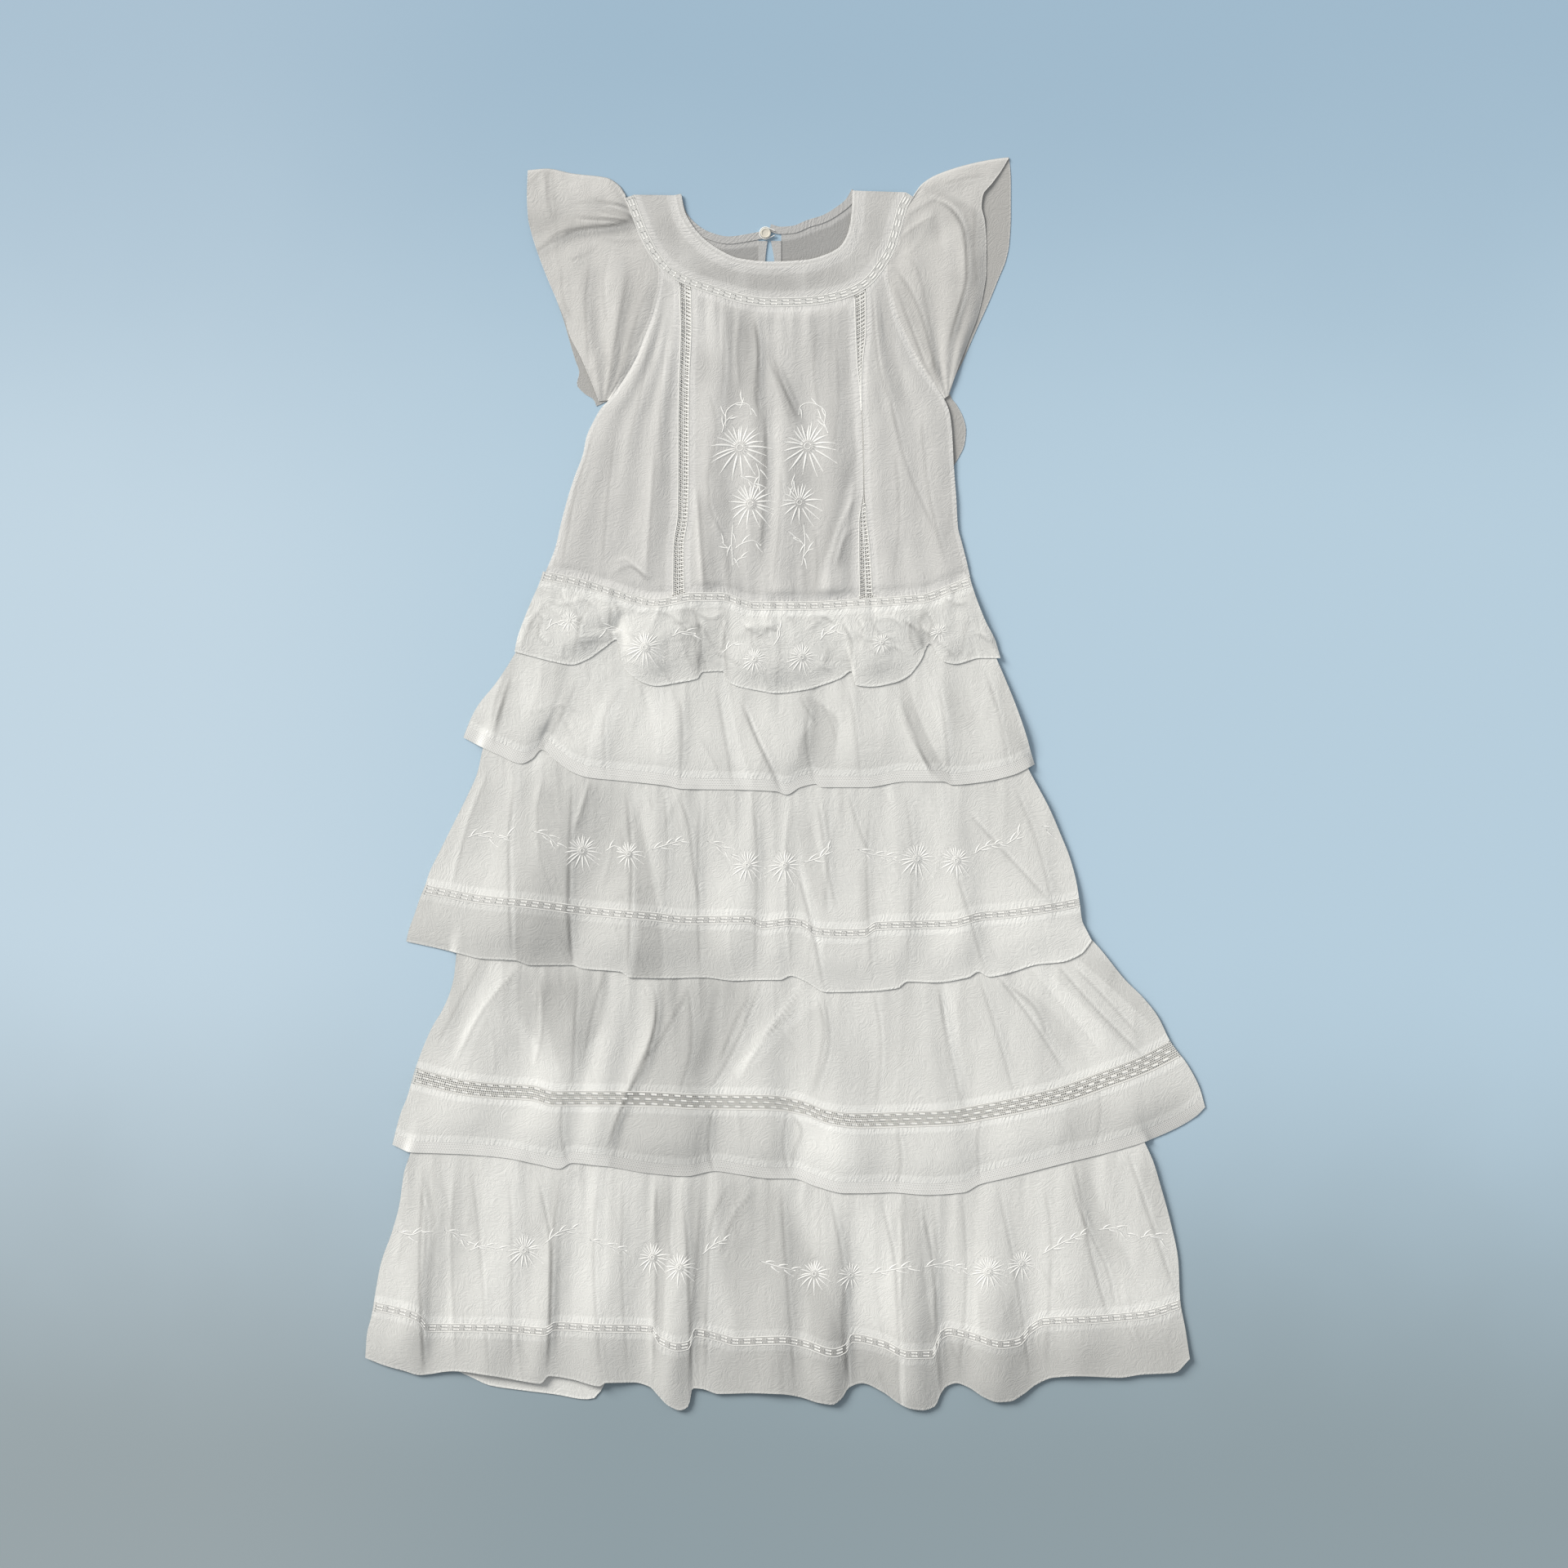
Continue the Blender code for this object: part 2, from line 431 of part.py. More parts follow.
def add_object(name, verts, faces, made_of, smooth=False):
    """Closed mesh object with its faces pointing outwards."""
    mesh = bpy.data.meshes.new(name)
    mesh.from_pydata([tuple(v) for v in verts], [], faces)
    shape = bmesh.new()
    shape.from_mesh(mesh)
    bmesh.ops.recalc_face_normals(shape, faces=shape.faces)
    bmesh.ops.triangulate(shape, faces=shape.faces)
    shape.to_mesh(mesh)
    shape.free()
    if smooth:
        mesh.shade_smooth()
        mesh.set_sharp_from_angle(angle=math.radians(40))
    mesh.materials.append(made_of)
    piece = bpy.data.objects.new(name, mesh)
    bpy.context.scene.collection.objects.link(piece)
    return piece


def solid_between(name, upper, lower, made_of):
    """Closed solid between two grids of points of one shape."""
    rows, columns = upper.shape[:2]
    verts = np.concatenate([upper.reshape(-1, 3), lower.reshape(-1, 3)])
    count = rows * columns
    faces = []
    for r in range(rows - 1):
        for c in range(columns - 1):
            a = r * columns + c
            quad = [a, a + columns, a + columns + 1, a + 1]
            faces.append(quad)
            faces.append([count + k for k in reversed(quad)])
    rim = ([c for c in range(columns)] + [r * columns + columns - 1 for r in range(1, rows)]
           + [(rows - 1) * columns + c for c in range(columns - 2, -1, -1)]
           + [r * columns for r in range(rows - 2, 0, -1)])
    for a, b in zip(rim, rim[1:] + rim[:1]):
        faces.append([a, b, count + b, count + a])
    return add_object(name, verts, faces, made_of)


class Layer:
    """Pieces that lie side by side on one settled height map."""

    def __init__(self, pile, reach=REACH):
        self.pile = pile
        self.tops = []
        pile.settle(reach, SOFTNESS)

    def low(self, column, row, relief):
        """Underside of a piece that rests on the map; the first layer lies on the floor."""
        resting = self.pile.under(column, row)
        return np.where(resting > 0.01, resting + LAYER_GAP, 0.0) + relief

    def sheet(self, name, grid, relief, made_of):
        """One flat or folded piece of cloth."""
        column, row = grid
        low = self.low(column, row, relief)
        top = low + upright_wall(column, row, low)
        self.tops.append((column, row, top))
        return solid_between(name, metres(column, row, top), metres(column, row, low), made_of)

    def close(self):
        """Add every piece of the layer to the map."""
        for column, row, top in self.tops:
            self.pile.stamp(column, row, top)


def lace_line(points, half, side):
    """Row of one border of a lace strip that runs across, as a function of the share across."""
    return lambda share: across(points, share) + side * half


def tier_lines(tier, back=False):
    """Borders of the tier's pieces from its top to its hem, each a function of the share across."""
    hem_points = BACK_HEM_5 if back and tier == 5 else TIER_HEMS[tier]
    lift = BACK_HEM_LIFT if back and tier < 5 else 0.0

    def hem(share):
        return across(hem_points, share) - lift

    if tier == 1:
        half = 0.5 * NARROW_LACE / PIXEL
        return {"top": lace_line(WAIST_LACE, half + SEAM, 1), "hem": hem}
    lines = {"top": lambda share: across(TIER_TOPS[tier], share), "hem": hem}
    if tier in TIER_LACES:
        half = 0.5 * (WIDE_LACE if tier == 4 else NARROW_LACE) / PIXEL
        lines["lace_top"] = lace_line(TIER_LACES[tier], half, -1)
        lines["lace_bottom"] = lace_line(TIER_LACES[tier], half, 1)
    if tier in (2, 4):
        lines["edge_top"] = lambda share: hem(share) - EDGE_LACE / PIXEL
    return lines


def tier_shares(tier):
    """Columns of a front tier: one at each point of its hem."""
    first, last = TIER_HEMS[tier][0][0], TIER_HEMS[tier][-1][0]
    return np.array([(column - first) / (last - first) for column, _ in TIER_HEMS[tier]])


def make_tier(layer, tier, cloth, lace, back):
    """The gathered panel of one tier with its laces and band, front or back."""
    lines = tier_lines(tier, back)
    shares = BACK_SHARES if back else tier_shares(tier)
    left, right = TIER_SIDES[tier]
    for name, upper, lower, rows in TIER_PIECES[tier]:
        seam_above = SEAM if upper != "top" else 0.0
        seam_below = SEAM if lower != "hem" else 0.0

        def top(share, line=lines[upper], gap=seam_above):
            return line(share) + 0.5 * gap

        def bottom(share, line=lines[lower], gap=seam_below):
            return line(share) - 0.5 * gap

        depths = spread(0.0, 1.0, max(1, rows - 2) if back else rows)
        grid = region(top, bottom, left, right, shares, depths)
        share = np.broadcast_to(shares, grid[0].shape)
        if back:
            relief = np.zeros_like(share)
        else:
            depth = (grid[1] - lines["top"](share)) / (lines["hem"](share) - lines["top"](share))
            relief = tier_relief(tier, share, depth)
        made_of = lace if "lace" in name or "edge" in name else cloth
        layer.sheet(name + ("_back" if back else "_front"), grid, relief, made_of)


def bodice_line(line, first, last):
    """Row of a traced line between two columns, as a function of the share across."""
    column, row = line
    return lambda share: np.interp(first + (last - first) * np.asarray(share), column, row)


def lace_edge(points, widths, side):
    """Side edge of a vertical lace strip, as points that run downwards."""
    return [(edge(points, row) + side * 0.5 * float(along(widths, row)), row) for _, row in points]


def nudge(points, amount):
    """Move points sideways across the photograph."""
    return [(column + amount, row) for column, row in points]


class Bodice:
    """Lines that the bodice pieces share."""

    def __init__(self):
        half = 0.5 * NARROW_LACE / PIXEL
        binding = NECK_BINDING / PIXEL
        self.neck = trace(NECK_FRONT, YOKE_COLUMNS)
        self.neck_in = beside(self.neck, binding)
        self.yoke_in = beside(self.neck, binding + SEAM)
        centre = trace(YOKE_LACE, YOKE_COLUMNS)
        self.lace_in = beside(centre, -half)
        self.yoke_out = beside(centre, -half - SEAM)
        self.lace_out = beside(centre, half)
        self.panel_top = beside(trace(YOKE_LACE, 4 * YOKE_COLUMNS), half + 1.25 * WIDE_SEAM)
        waist_half = half + 2.0 * WIDE_SEAM
        waist = np.array(WAIST_LACE, dtype=float).T
        self.waist_top = np.array([waist[0], waist[1] - waist_half])
        self.panel_arc = self.panel_top[:, self.panel_top[1] > PANEL_ARC_ROW]

    def panel(self, name, left, right, shares, depths):
        """Grid of a panel between the yoke lace and the waist lace."""
        top_left, top_right, bottom_left, bottom_right = PANEL_CORNERS[name]
        top = bodice_line(self.panel_arc, top_left, top_right)
        bottom = bodice_line(self.waist_top, bottom_left, bottom_right)
        return region(top, bottom, left, right, shares, depths)

    def sleeve_seam(self, on_right, raglan, underarm_row):
        """Inner edge of a sleeve: down the yoke lace, then down the raglan seam to the underarm."""
        column, row = self.panel_top
        side = column > MIDDLE_COLUMN if on_right else column < MIDDLE_COLUMN
        arc = sorted((r, c) for c, r in zip(column[side], row[side]) if r < SLEEVE_ARC_ROW)
        below = [(c, r) for c, r in raglan if RAGLAN_ROW < r < underarm_row]
        return nudge([(c, r) for r, c in arc[::6]] + below, WIDE_SEAM if on_right else -WIDE_SEAM)


def clipped(points, end, outward):
    """Line through the points outside an end, which closes it on the left and opens it on the right."""
    kept = [tuple(point) for point in points if outward * (point[0] - end[0]) > PLACKET_CLEARANCE]
    return trace(kept + [end] if outward < 0 else [end] + kept, YOKE_COLUMNS // 2 + 1)


def make_back_bodice(layer, lines, cloth, lace):
    """Everything of the bodice that lies on the floor."""
    half_count = YOKE_COLUMNS // 2 + 1
    binding = NECK_BINDING / PIXEL
    sides = {"left": (NECK_BACK_LEFT, SLIT_LEFT_EDGE, -1, slice(0, half_count)),
             "right": (NECK_BACK_RIGHT, SLIT_RIGHT_EDGE, 1, slice(half_count - 1, None))}
    for side, (neck_points, slit, outward, part) in sides.items():
        neck = trace(neck_points, half_count)
        layer.sheet("neck_binding_back_" + side, between(neck, beside(neck, binding), 1), 0.0, cloth)

        end = PLACKET_OUTER[side] + outward * SEAM
        inner = beside(clipped(neck_points, (end, PLACKET_NECK_ROWS[side]), outward), binding + SEAM)
        outer = clipped(lines.yoke_out[:, part].T, (end, SLIT_END), outward)
        inner[0, -1 if side == "left" else 0] = end
        layer.sheet("yoke_back_" + side, between(inner, outer, 2), 0.0, cloth)

        rows = spread(*PLACKET_ROWS, 5)
        slit_edge = np.array([edge(slit, rows), rows])
        outer_edge = np.array([np.full_like(rows, PLACKET_OUTER[side]), rows])
        layer.sheet("placket_" + side, between(slit_edge, outer_edge, 1), 0.0, cloth)
    layer.sheet("yoke_lace_back", between(lines.lace_in, lines.lace_out, 1), 0.0, lace)
    grid = lines.panel("back_bodice", nudge(LEFT_SIDE, WIDE_SEAM), nudge(BACK_RIGHT_SIDE, -WIDE_SEAM),
                       spread(0.0, 1.0, BACK_BODICE_COLUMNS), PANEL_DEPTHS)
    layer.sheet("back_bodice", grid, 0.0, cloth)


def waist_lace_grid(shares):
    """Grid of the waist lace, front or back, with the columns of the tier that hangs from it."""
    half = 0.5 * NARROW_LACE / PIXEL
    left, right = WAIST_LACE_SIDES
    return region(lace_line(WAIST_LACE, half, -1), lace_line(WAIST_LACE, half, 1), left, right,
                  shares, [0.0, 1.0])


def make_front_bodice(layer, lines, cloth, lace):
    """Yoke, panels and laces of the front."""
    layer.sheet("neck_binding_front", between(lines.neck, lines.neck_in, 1), 0.0, cloth)
    layer.sheet("yoke_front", between(lines.yoke_in, lines.yoke_out, 2), 0.0, cloth)
    layer.sheet("yoke_lace_front", between(lines.lace_in, lines.lace_out, 1), 0.0, lace)
    left_edges = [lace_edge(LACE_LEFT, LACE_LEFT_WIDTH, side) for side in (-1, 1)]
    right_edges = [lace_edge(LACE_RIGHT, LACE_RIGHT_WIDTH, side) for side in (-1, 1)]
    for name, edges in (("lace_front_left", left_edges), ("lace_front_right", right_edges)):
        layer.sheet(name, lines.panel(name, *edges, [0.0, 1.0], PANEL_DEPTHS), 0.0, lace)

    shares, depths = spread(0.0, 1.0, SIDE_FRONT_COLUMNS), PANEL_DEPTHS
    share, depth = np.meshgrid(shares, depths)
    grid = lines.panel("side_front_left", nudge(LEFT_SIDE, WIDE_SEAM), nudge(left_edges[0], -WIDE_SEAM),
                       shares, depths)
    layer.sheet("side_front_left", grid, bodice_relief(SIDE_LEFT_FOLDS, share, depth), cloth)
    grid = lines.panel("side_front_right", nudge(right_edges[1], WIDE_SEAM), nudge(RIGHT_SIDE, -WIDE_SEAM),
                       shares, depths)
    layer.sheet("side_front_right", grid, bodice_relief(SIDE_RIGHT_FOLDS, share, depth), cloth)

    shares = spread(0.0, 1.0, 2 * CENTRE_GATHERS)
    share, depth = np.meshgrid(shares, depths)
    grid = lines.panel("centre_front", nudge(left_edges[1], WIDE_SEAM), nudge(right_edges[0], -WIDE_SEAM),
                       shares, depths)
    relief = (bodice_relief(CENTRE_FOLDS, share, depth)
              + gather_relief(share, depth, CENTRE_GATHERS, CENTRE_GATHER_HEIGHT, CENTRE_GATHER_REACH)
              + gather_relief(share, 1 - depth, CENTRE_GATHERS, CENTRE_GATHER_HEIGHT, WAIST_GATHER_REACH))
    layer.sheet("centre_front", grid, relief, cloth)


class Sleeve:
    """Flutter sleeve cut in one: a back half on the floor, folded at the shoulder into a front half."""

    def __init__(self, name, fold, front_edges, back_edges):
        self.name = name
        self.fold = fold
        self.shares = spread(0.0, 1.0, SLEEVE_COLUMNS)
        self.front = self.grid(front_edges, SLEEVE_FRONT_DEPTHS)
        self.back = self.grid(back_edges, SLEEVE_BACK_DEPTHS)
        self.crease = tuple(g[0] for g in self.grid(back_edges, [0.0, 1.0]))
        self.inset = tuple(g[0] for g in self.grid(back_edges, [SLEEVE_INSET, 1.0]))

    def grid(self, edges, depths):
        """Grid of plan points between the shoulder fold and the underarm."""
        left, right = edges
        bottom = [left[-1], right[-1]]
        return region(lambda share: across(self.fold, share), lambda share: across(bottom, share),
                      left, right, self.shares, depths)

    def lay_back(self, layer):
        """Stamp the back half on the map."""
        layer.tops.append((*self.back, np.full_like(self.back[0], WALL)))

    def make(self, layer, made_of):
        """The folded sleeve as one solid, from the front hem over the fold to the back hem."""
        share, depth = np.meshgrid(self.shares, SLEEVE_FRONT_DEPTHS)
        low = layer.low(*self.front, bodice_relief(SLEEVE_FOLDS, share, depth))
        top = low + upright_wall(*self.front, low)
        layer.tops.append((*self.front, top))
        middle = np.full_like(self.crease[0], WALL + 0.5 * LAYER_GAP)
        floor = np.zeros_like(self.back[0])
        outer = np.concatenate([metres(*self.front, top)[::-1], metres(*self.crease, middle)[None],
                                metres(*self.back, floor)])
        inner = np.concatenate([metres(*self.front, low)[::-1], metres(*self.inset, middle)[None],
                                metres(*self.back, floor + WALL)])
        return solid_between(self.name, outer, inner, made_of)


def make_sleeves(lines):
    """Both sleeves, not yet laid on anything."""
    left_seam = lines.sleeve_seam(False, LEFT_SIDE, UNDERARM_ROWS["left"])
    right_seam = lines.sleeve_seam(True, RIGHT_SIDE, UNDERARM_ROWS["right"])
    back_seam = lines.sleeve_seam(True, BACK_RIGHT_SIDE, UNDERARM_ROWS["back_right"])
    return [Sleeve("sleeve_left", SLEEVE_LEFT_FOLD, (SLEEVE_LEFT_HEM, left_seam),
                   (SLEEVE_LEFT_BACK_HEM, left_seam)),
            Sleeve("sleeve_right", SLEEVE_RIGHT_FOLD, (right_seam, SLEEVE_RIGHT_HEM),
                   (back_seam, SLEEVE_RIGHT_BACK_HEM))]


def make_button(base, made_of):
    """Flat button with a raised rim at the top of the slit, turned round its axis."""
    radius = 500.0 * BUTTON_DIAMETER
    profile = [(radius - inset, height) for inset, height in BUTTON_BASE]
    profile = [(0.0, 0.0)] + profile + [(0.0, BUTTON_DISH)]
    verts, faces, rings = [], [], []
    for distance, height in profile:
        count = 1 if distance == 0.0 else BUTTON_SIDES
        rings.append(range(len(verts), len(verts) + count))
        for k in range(count):
            angle = 2 * math.pi * k / BUTTON_SIDES
            verts.append((0.001 * distance * math.cos(angle), 0.001 * distance * math.sin(angle),
                          0.001 * height))
    for lower, upper in zip(rings, rings[1:]):
        for k in range(BUTTON_SIDES):
            after = (k + 1) % BUTTON_SIDES
            ring = [lower[k % len(lower)], lower[after % len(lower)],
                    upper[after % len(upper)], upper[k % len(upper)]]
            faces.append(list(dict.fromkeys(ring)))
    button = add_object("button", verts, faces, made_of, smooth=True)
    button.location = metres(*np.array(BUTTON_PLACE), np.array(base))
    return button


def make_loop(base, made_of):
    """Thread loop from the right edge of the slit round the button."""
    reach = 500.0 * BUTTON_DIAMETER + LOOP_RADIUS + LOOP_SPACE
    angles = np.radians(spread(*LOOP_TURN, 10))
    tail = np.array([LOOP_TAIL])
    turn = reach * np.column_stack([np.cos(angles), np.sin(angles)])
    path = np.concatenate([tail, turn, tail * (1.0, -1.0)])
    ahead = np.gradient(path, axis=0)
    ahead /= np.hypot(*ahead.T)[:, None]
    verts = []
    for (x, y), (dx, dy) in zip(path, ahead):
        for k in range(LOOP_SIDES):
            angle = 2 * math.pi * (k + 0.5) / LOOP_SIDES
            out, up = LOOP_RADIUS * math.cos(angle), LOOP_RADIUS * math.sin(angle)
            verts.append((0.001 * (x - dy * out), 0.001 * (y + dx * out), 0.001 * up))
    faces = [list(range(LOOP_SIDES)), list(range(len(verts) - LOOP_SIDES, len(verts)))]
    for ring in range(len(path) - 1):
        for k in range(LOOP_SIDES):
            a, b = ring * LOOP_SIDES + k, ring * LOOP_SIDES + (k + 1) % LOOP_SIDES
            faces.append([a, b, b + LOOP_SIDES, a + LOOP_SIDES])
    loop = add_object("button_loop", verts, faces, made_of, smooth=True)
    loop.location = metres(*np.array(BUTTON_PLACE), np.array(base + LOOP_RADIUS))
    return loop


def main():
    """Build the dress from the floor upwards."""
    for old in list(bpy.data.objects):
        bpy.data.objects.remove(old)
    cloth = material("cotton_voile", (0.80, 0.79, 0.76), 0.85)
    sleeve_cloth = material("sleeve_voile", (0.78, 0.75, 0.71), 0.85)
    lace = material("cotton_lace", (0.84, 0.83, 0.80), 0.8)
    shell = material("shell_button", (0.82, 0.78, 0.66), 0.3)

    pile = HeightMap()
    lines = Bodice()
    sleeves = make_sleeves(lines)

    # Back pieces, from the one nearest the floor upwards
    layer = Layer(pile)
    make_back_bodice(layer, lines, cloth, lace)
    layer.sheet("waist_lace_back", waist_lace_grid(BACK_SHARES), 0.0, lace)
    make_tier(layer, 1, cloth, lace, back=True)
    for sleeve in sleeves:
        sleeve.lay_back(layer)
    layer.close()
    make_button(WALL + LAYER_GAP, shell)
    make_loop(WALL + LAYER_GAP, lace)
    for tier in (2, 3, 4, 5):
        layer = Layer(pile, BACK_REACH)
        make_tier(layer, tier, cloth, lace, back=True)
        layer.close()

    # Front pieces, from the lowest tier up to the bodice
    for tier in (5, 4, 3, 2):
        layer = Layer(pile)
        make_tier(layer, tier, cloth, lace, back=False)
        layer.close()
    layer = Layer(pile)
    make_tier(layer, 1, cloth, lace, back=False)
    layer.sheet("waist_lace_front", waist_lace_grid(tier_shares(1)), 0.0, lace)
    make_front_bodice(layer, lines, cloth, lace)
    for sleeve in sleeves:
        sleeve.make(layer, sleeve_cloth)
    layer.close()


main()
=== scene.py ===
import math

import bpy
import numpy as np
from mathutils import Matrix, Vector
from mathutils.bvhtree import BVHTree


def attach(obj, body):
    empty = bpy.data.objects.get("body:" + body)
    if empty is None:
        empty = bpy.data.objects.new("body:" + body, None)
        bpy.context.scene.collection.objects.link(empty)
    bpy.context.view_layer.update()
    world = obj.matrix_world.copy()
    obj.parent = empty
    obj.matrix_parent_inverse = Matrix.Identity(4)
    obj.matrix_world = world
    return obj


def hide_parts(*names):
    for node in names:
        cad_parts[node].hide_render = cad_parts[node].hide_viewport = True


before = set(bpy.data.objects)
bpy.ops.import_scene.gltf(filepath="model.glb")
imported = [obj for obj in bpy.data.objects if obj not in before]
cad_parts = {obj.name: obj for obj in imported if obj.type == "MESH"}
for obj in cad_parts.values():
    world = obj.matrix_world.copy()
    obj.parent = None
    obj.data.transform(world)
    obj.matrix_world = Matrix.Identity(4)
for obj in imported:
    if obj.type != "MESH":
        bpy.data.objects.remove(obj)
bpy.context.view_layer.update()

# Tiered embroidered midi dress, laid flat on its back. Plan points are (column, row) pairs read
# from the photograph, in its 1920-pixel frame, and heights are in millimetres.

# Driving sizes, in metres
SHOULDER_TO_HEM = 1.256
NARROW_LACE = 0.0095
WIDE_LACE = 0.0172
EDGE_LACE = 0.0120
NECK_BINDING = 0.0078

# Where the photograph shows those sizes, in pixels
SHOULDER_ROW = 237
HEM_ROW = 1697
MIDDLE_COLUMN = 961.5
MIDDLE_ROW = 959.5
FRAME_SIZE = 1920
PIXEL = SHOULDER_TO_HEM / (HEM_ROW - SHOULDER_ROW)

# Cloth: grid cells in pixels, thickness and the air left between two layers in millimetres
FRONT_CELL = 5.0
ACROSS_CELL = 2.5
FINE_CELL = 2.3
BACK_CELL = 8.0
THICKNESS = 0.32
LAYER_AIR = 0.2

# Height from which surfaces are read straight down, in metres, and points traced for each one given
READ_FROM = 0.1
TRACE_FINENESS = 12

# Height map on which each layer rests, in pixels
MAP_CELL = 3.0
MAP_COLUMNS = (420.0, 1500.0)
MAP_ROWS = (170.0, 1750.0)

# Neck, yoke and its insertion lace, from the left shoulder to the right; the slit opens the back yoke
NECK_FRONT = [(834, 237), (838, 257), (846, 273), (860, 290), (880, 305), (905, 316), (943, 320),
              (985, 318), (1012, 311), (1030, 300), (1039, 282), (1043, 258), (1044, 233)]
NECK_BACK_LEFT = [(834, 238), (840, 259), (853, 274), (870, 284), (892, 289), (915, 286), (940, 281)]
NECK_BACK_RIGHT = [(944, 274), (956, 277), (970, 276), (988, 269), (1007, 263), (1024, 253), (1036, 243),
                   (1043, 231)]
YOKE_LACE = [(771, 240), (779, 262), (788, 285), (800, 308), (818, 330), (845, 345), (880, 357),
             (910, 366), (945, 370), (985, 369), (1015, 365), (1042, 357), (1062, 345), (1078, 326),
             (1091, 303), (1099, 276), (1106, 252), (1114, 238)]
SLIT_END = 362
SLIT_LEFT_EDGE = [(941.5, 286), (940, 293), (937, 318), (936.5, 335), (939, 352), (942, 363)]
SLIT_RIGHT_EDGE = [(943.5, 280), (944, 293), (948, 318), (948.5, 335), (946, 352), (943.2, 363)]
PLACKET_OUTER = {"left": 928.5, "right": 956.5}
PLACKET_ROWS = (294.5, 361.0)
PLACKET_NECK_ROWS = {"left": 284.0, "right": 277.5}
PLACKET_CLEARANCE = 4.0

# Bodice: the raglan seams run down from the yoke lace to the underarms, then the sides to the waist
LEFT_SIDE = [(809, 344), (801, 380), (791, 408), (778, 440), (760, 470), (745, 490), (735, 501),
             (727, 515), (718, 535), (714, 555), (703, 585), (695, 610), (687, 640), (680, 670), (668, 700)]
RIGHT_SIDE = [(1085, 334), (1097, 385), (1108, 412), (1122, 440), (1138, 464), (1156, 488), (1163, 506),
              (1166, 530), (1168, 570), (1171, 610), (1173, 645), (1178, 665), (1185, 693), (1189, 712)]
BACK_RIGHT_SIDE = [(1085, 334), (1097, 385), (1110, 420), (1126, 450), (1138, 480), (1146, 510), (1152, 540),
                   (1160, 568), (1170, 610), (1172, 645), (1177, 665), (1184, 693), (1188, 712)]
LACE_LEFT = [(839, 346), (840, 400), (838, 460), (837, 520), (837, 580), (836, 630), (831, 670), (831, 730)]
LACE_RIGHT = [(1053, 346), (1054, 400), (1053, 440), (1054, 480), (1057, 540), (1058, 600), (1057, 640),
              (1059, 680), (1061, 735)]
LACE_LEFT_WIDTH = [(346, 15.5), (460, 14), (560, 15), (640, 14), (730, 16)]
LACE_RIGHT_WIDTH = [(346, 15), (410, 14), (450, 6), (472, 1.8), (604, 1.8), (630, 9), (660, 14), (735, 18)]
WAIST_LACE_SIDES = ([(667, 690), (661, 712), (652, 733)], [(1186, 700), (1191, 719), (1200, 740)])
WAIST_LACE = [(667, 705), (702, 711), (742, 722), (783, 735), (804, 739), (825, 736), (849, 731), (885, 731),
              (926, 742), (987, 742), (1061, 738), (1130, 733), (1167, 720), (1189, 712)]

# The panels hang from the yoke lace below its row, and the sleeves from the part above theirs
PANEL_ARC_ROW = 320
SLEEVE_ARC_ROW = 326
RAGLAN_ROW = 330
UNDERARM_ROWS = {"left": 500, "right": 490, "back_right": 570}
# Columns of the back bodice's top left, top right, bottom left and bottom right corner
BACK_BODICE_CORNERS = (809, 1085, 668, 1187)

# Sleeves, from the tip at the shoulder fold down to the underarm
SLEEVE_LEFT_FOLD = [(646, 208), (669, 206), (700, 212), (740, 217), (756, 227), (763, 238)]
SLEEVE_LEFT_HEM = [(646, 208), (645, 240), (646, 262), (650, 283), (656, 303), (662, 320), (671, 343),
                   (681, 366), (690, 388), (698, 412), (709, 433), (720, 458), (728, 478), (733, 491)]
SLEEVE_LEFT_BACK_HEM = [(646, 208), (646, 262), (657, 303), (672, 343), (690, 392), (698, 420), (704, 440),
                        (709, 456), (706, 470), (716, 482), (727, 489), (730, 497)]
SLEEVE_RIGHT_FOLD = [(1121, 239), (1131, 225), (1150, 213), (1190, 200), (1220, 194), (1236, 192)]
SLEEVE_RIGHT_HEM = [(1236, 192), (1226, 209), (1215, 224), (1204, 238), (1202, 252), (1206, 270),
                    (1208, 300), (1208, 330), (1205, 355), (1199, 382), (1187, 415), (1176, 443),
                    (1168, 465), (1162, 484)]
SLEEVE_RIGHT_BACK_HEM = [(1236, 192), (1238, 221), (1238, 262), (1236, 298), (1232, 318), (1224, 338),
                         (1210, 372), (1195, 405), (1180, 440), (1163, 482), (1172, 496), (1180, 512),
                         (1183, 526), (1181, 545), (1176, 556), (1169, 569)]
# Share of a sleeve's depth that the round of its shoulder fold takes up
SLEEVE_INSET = 0.006

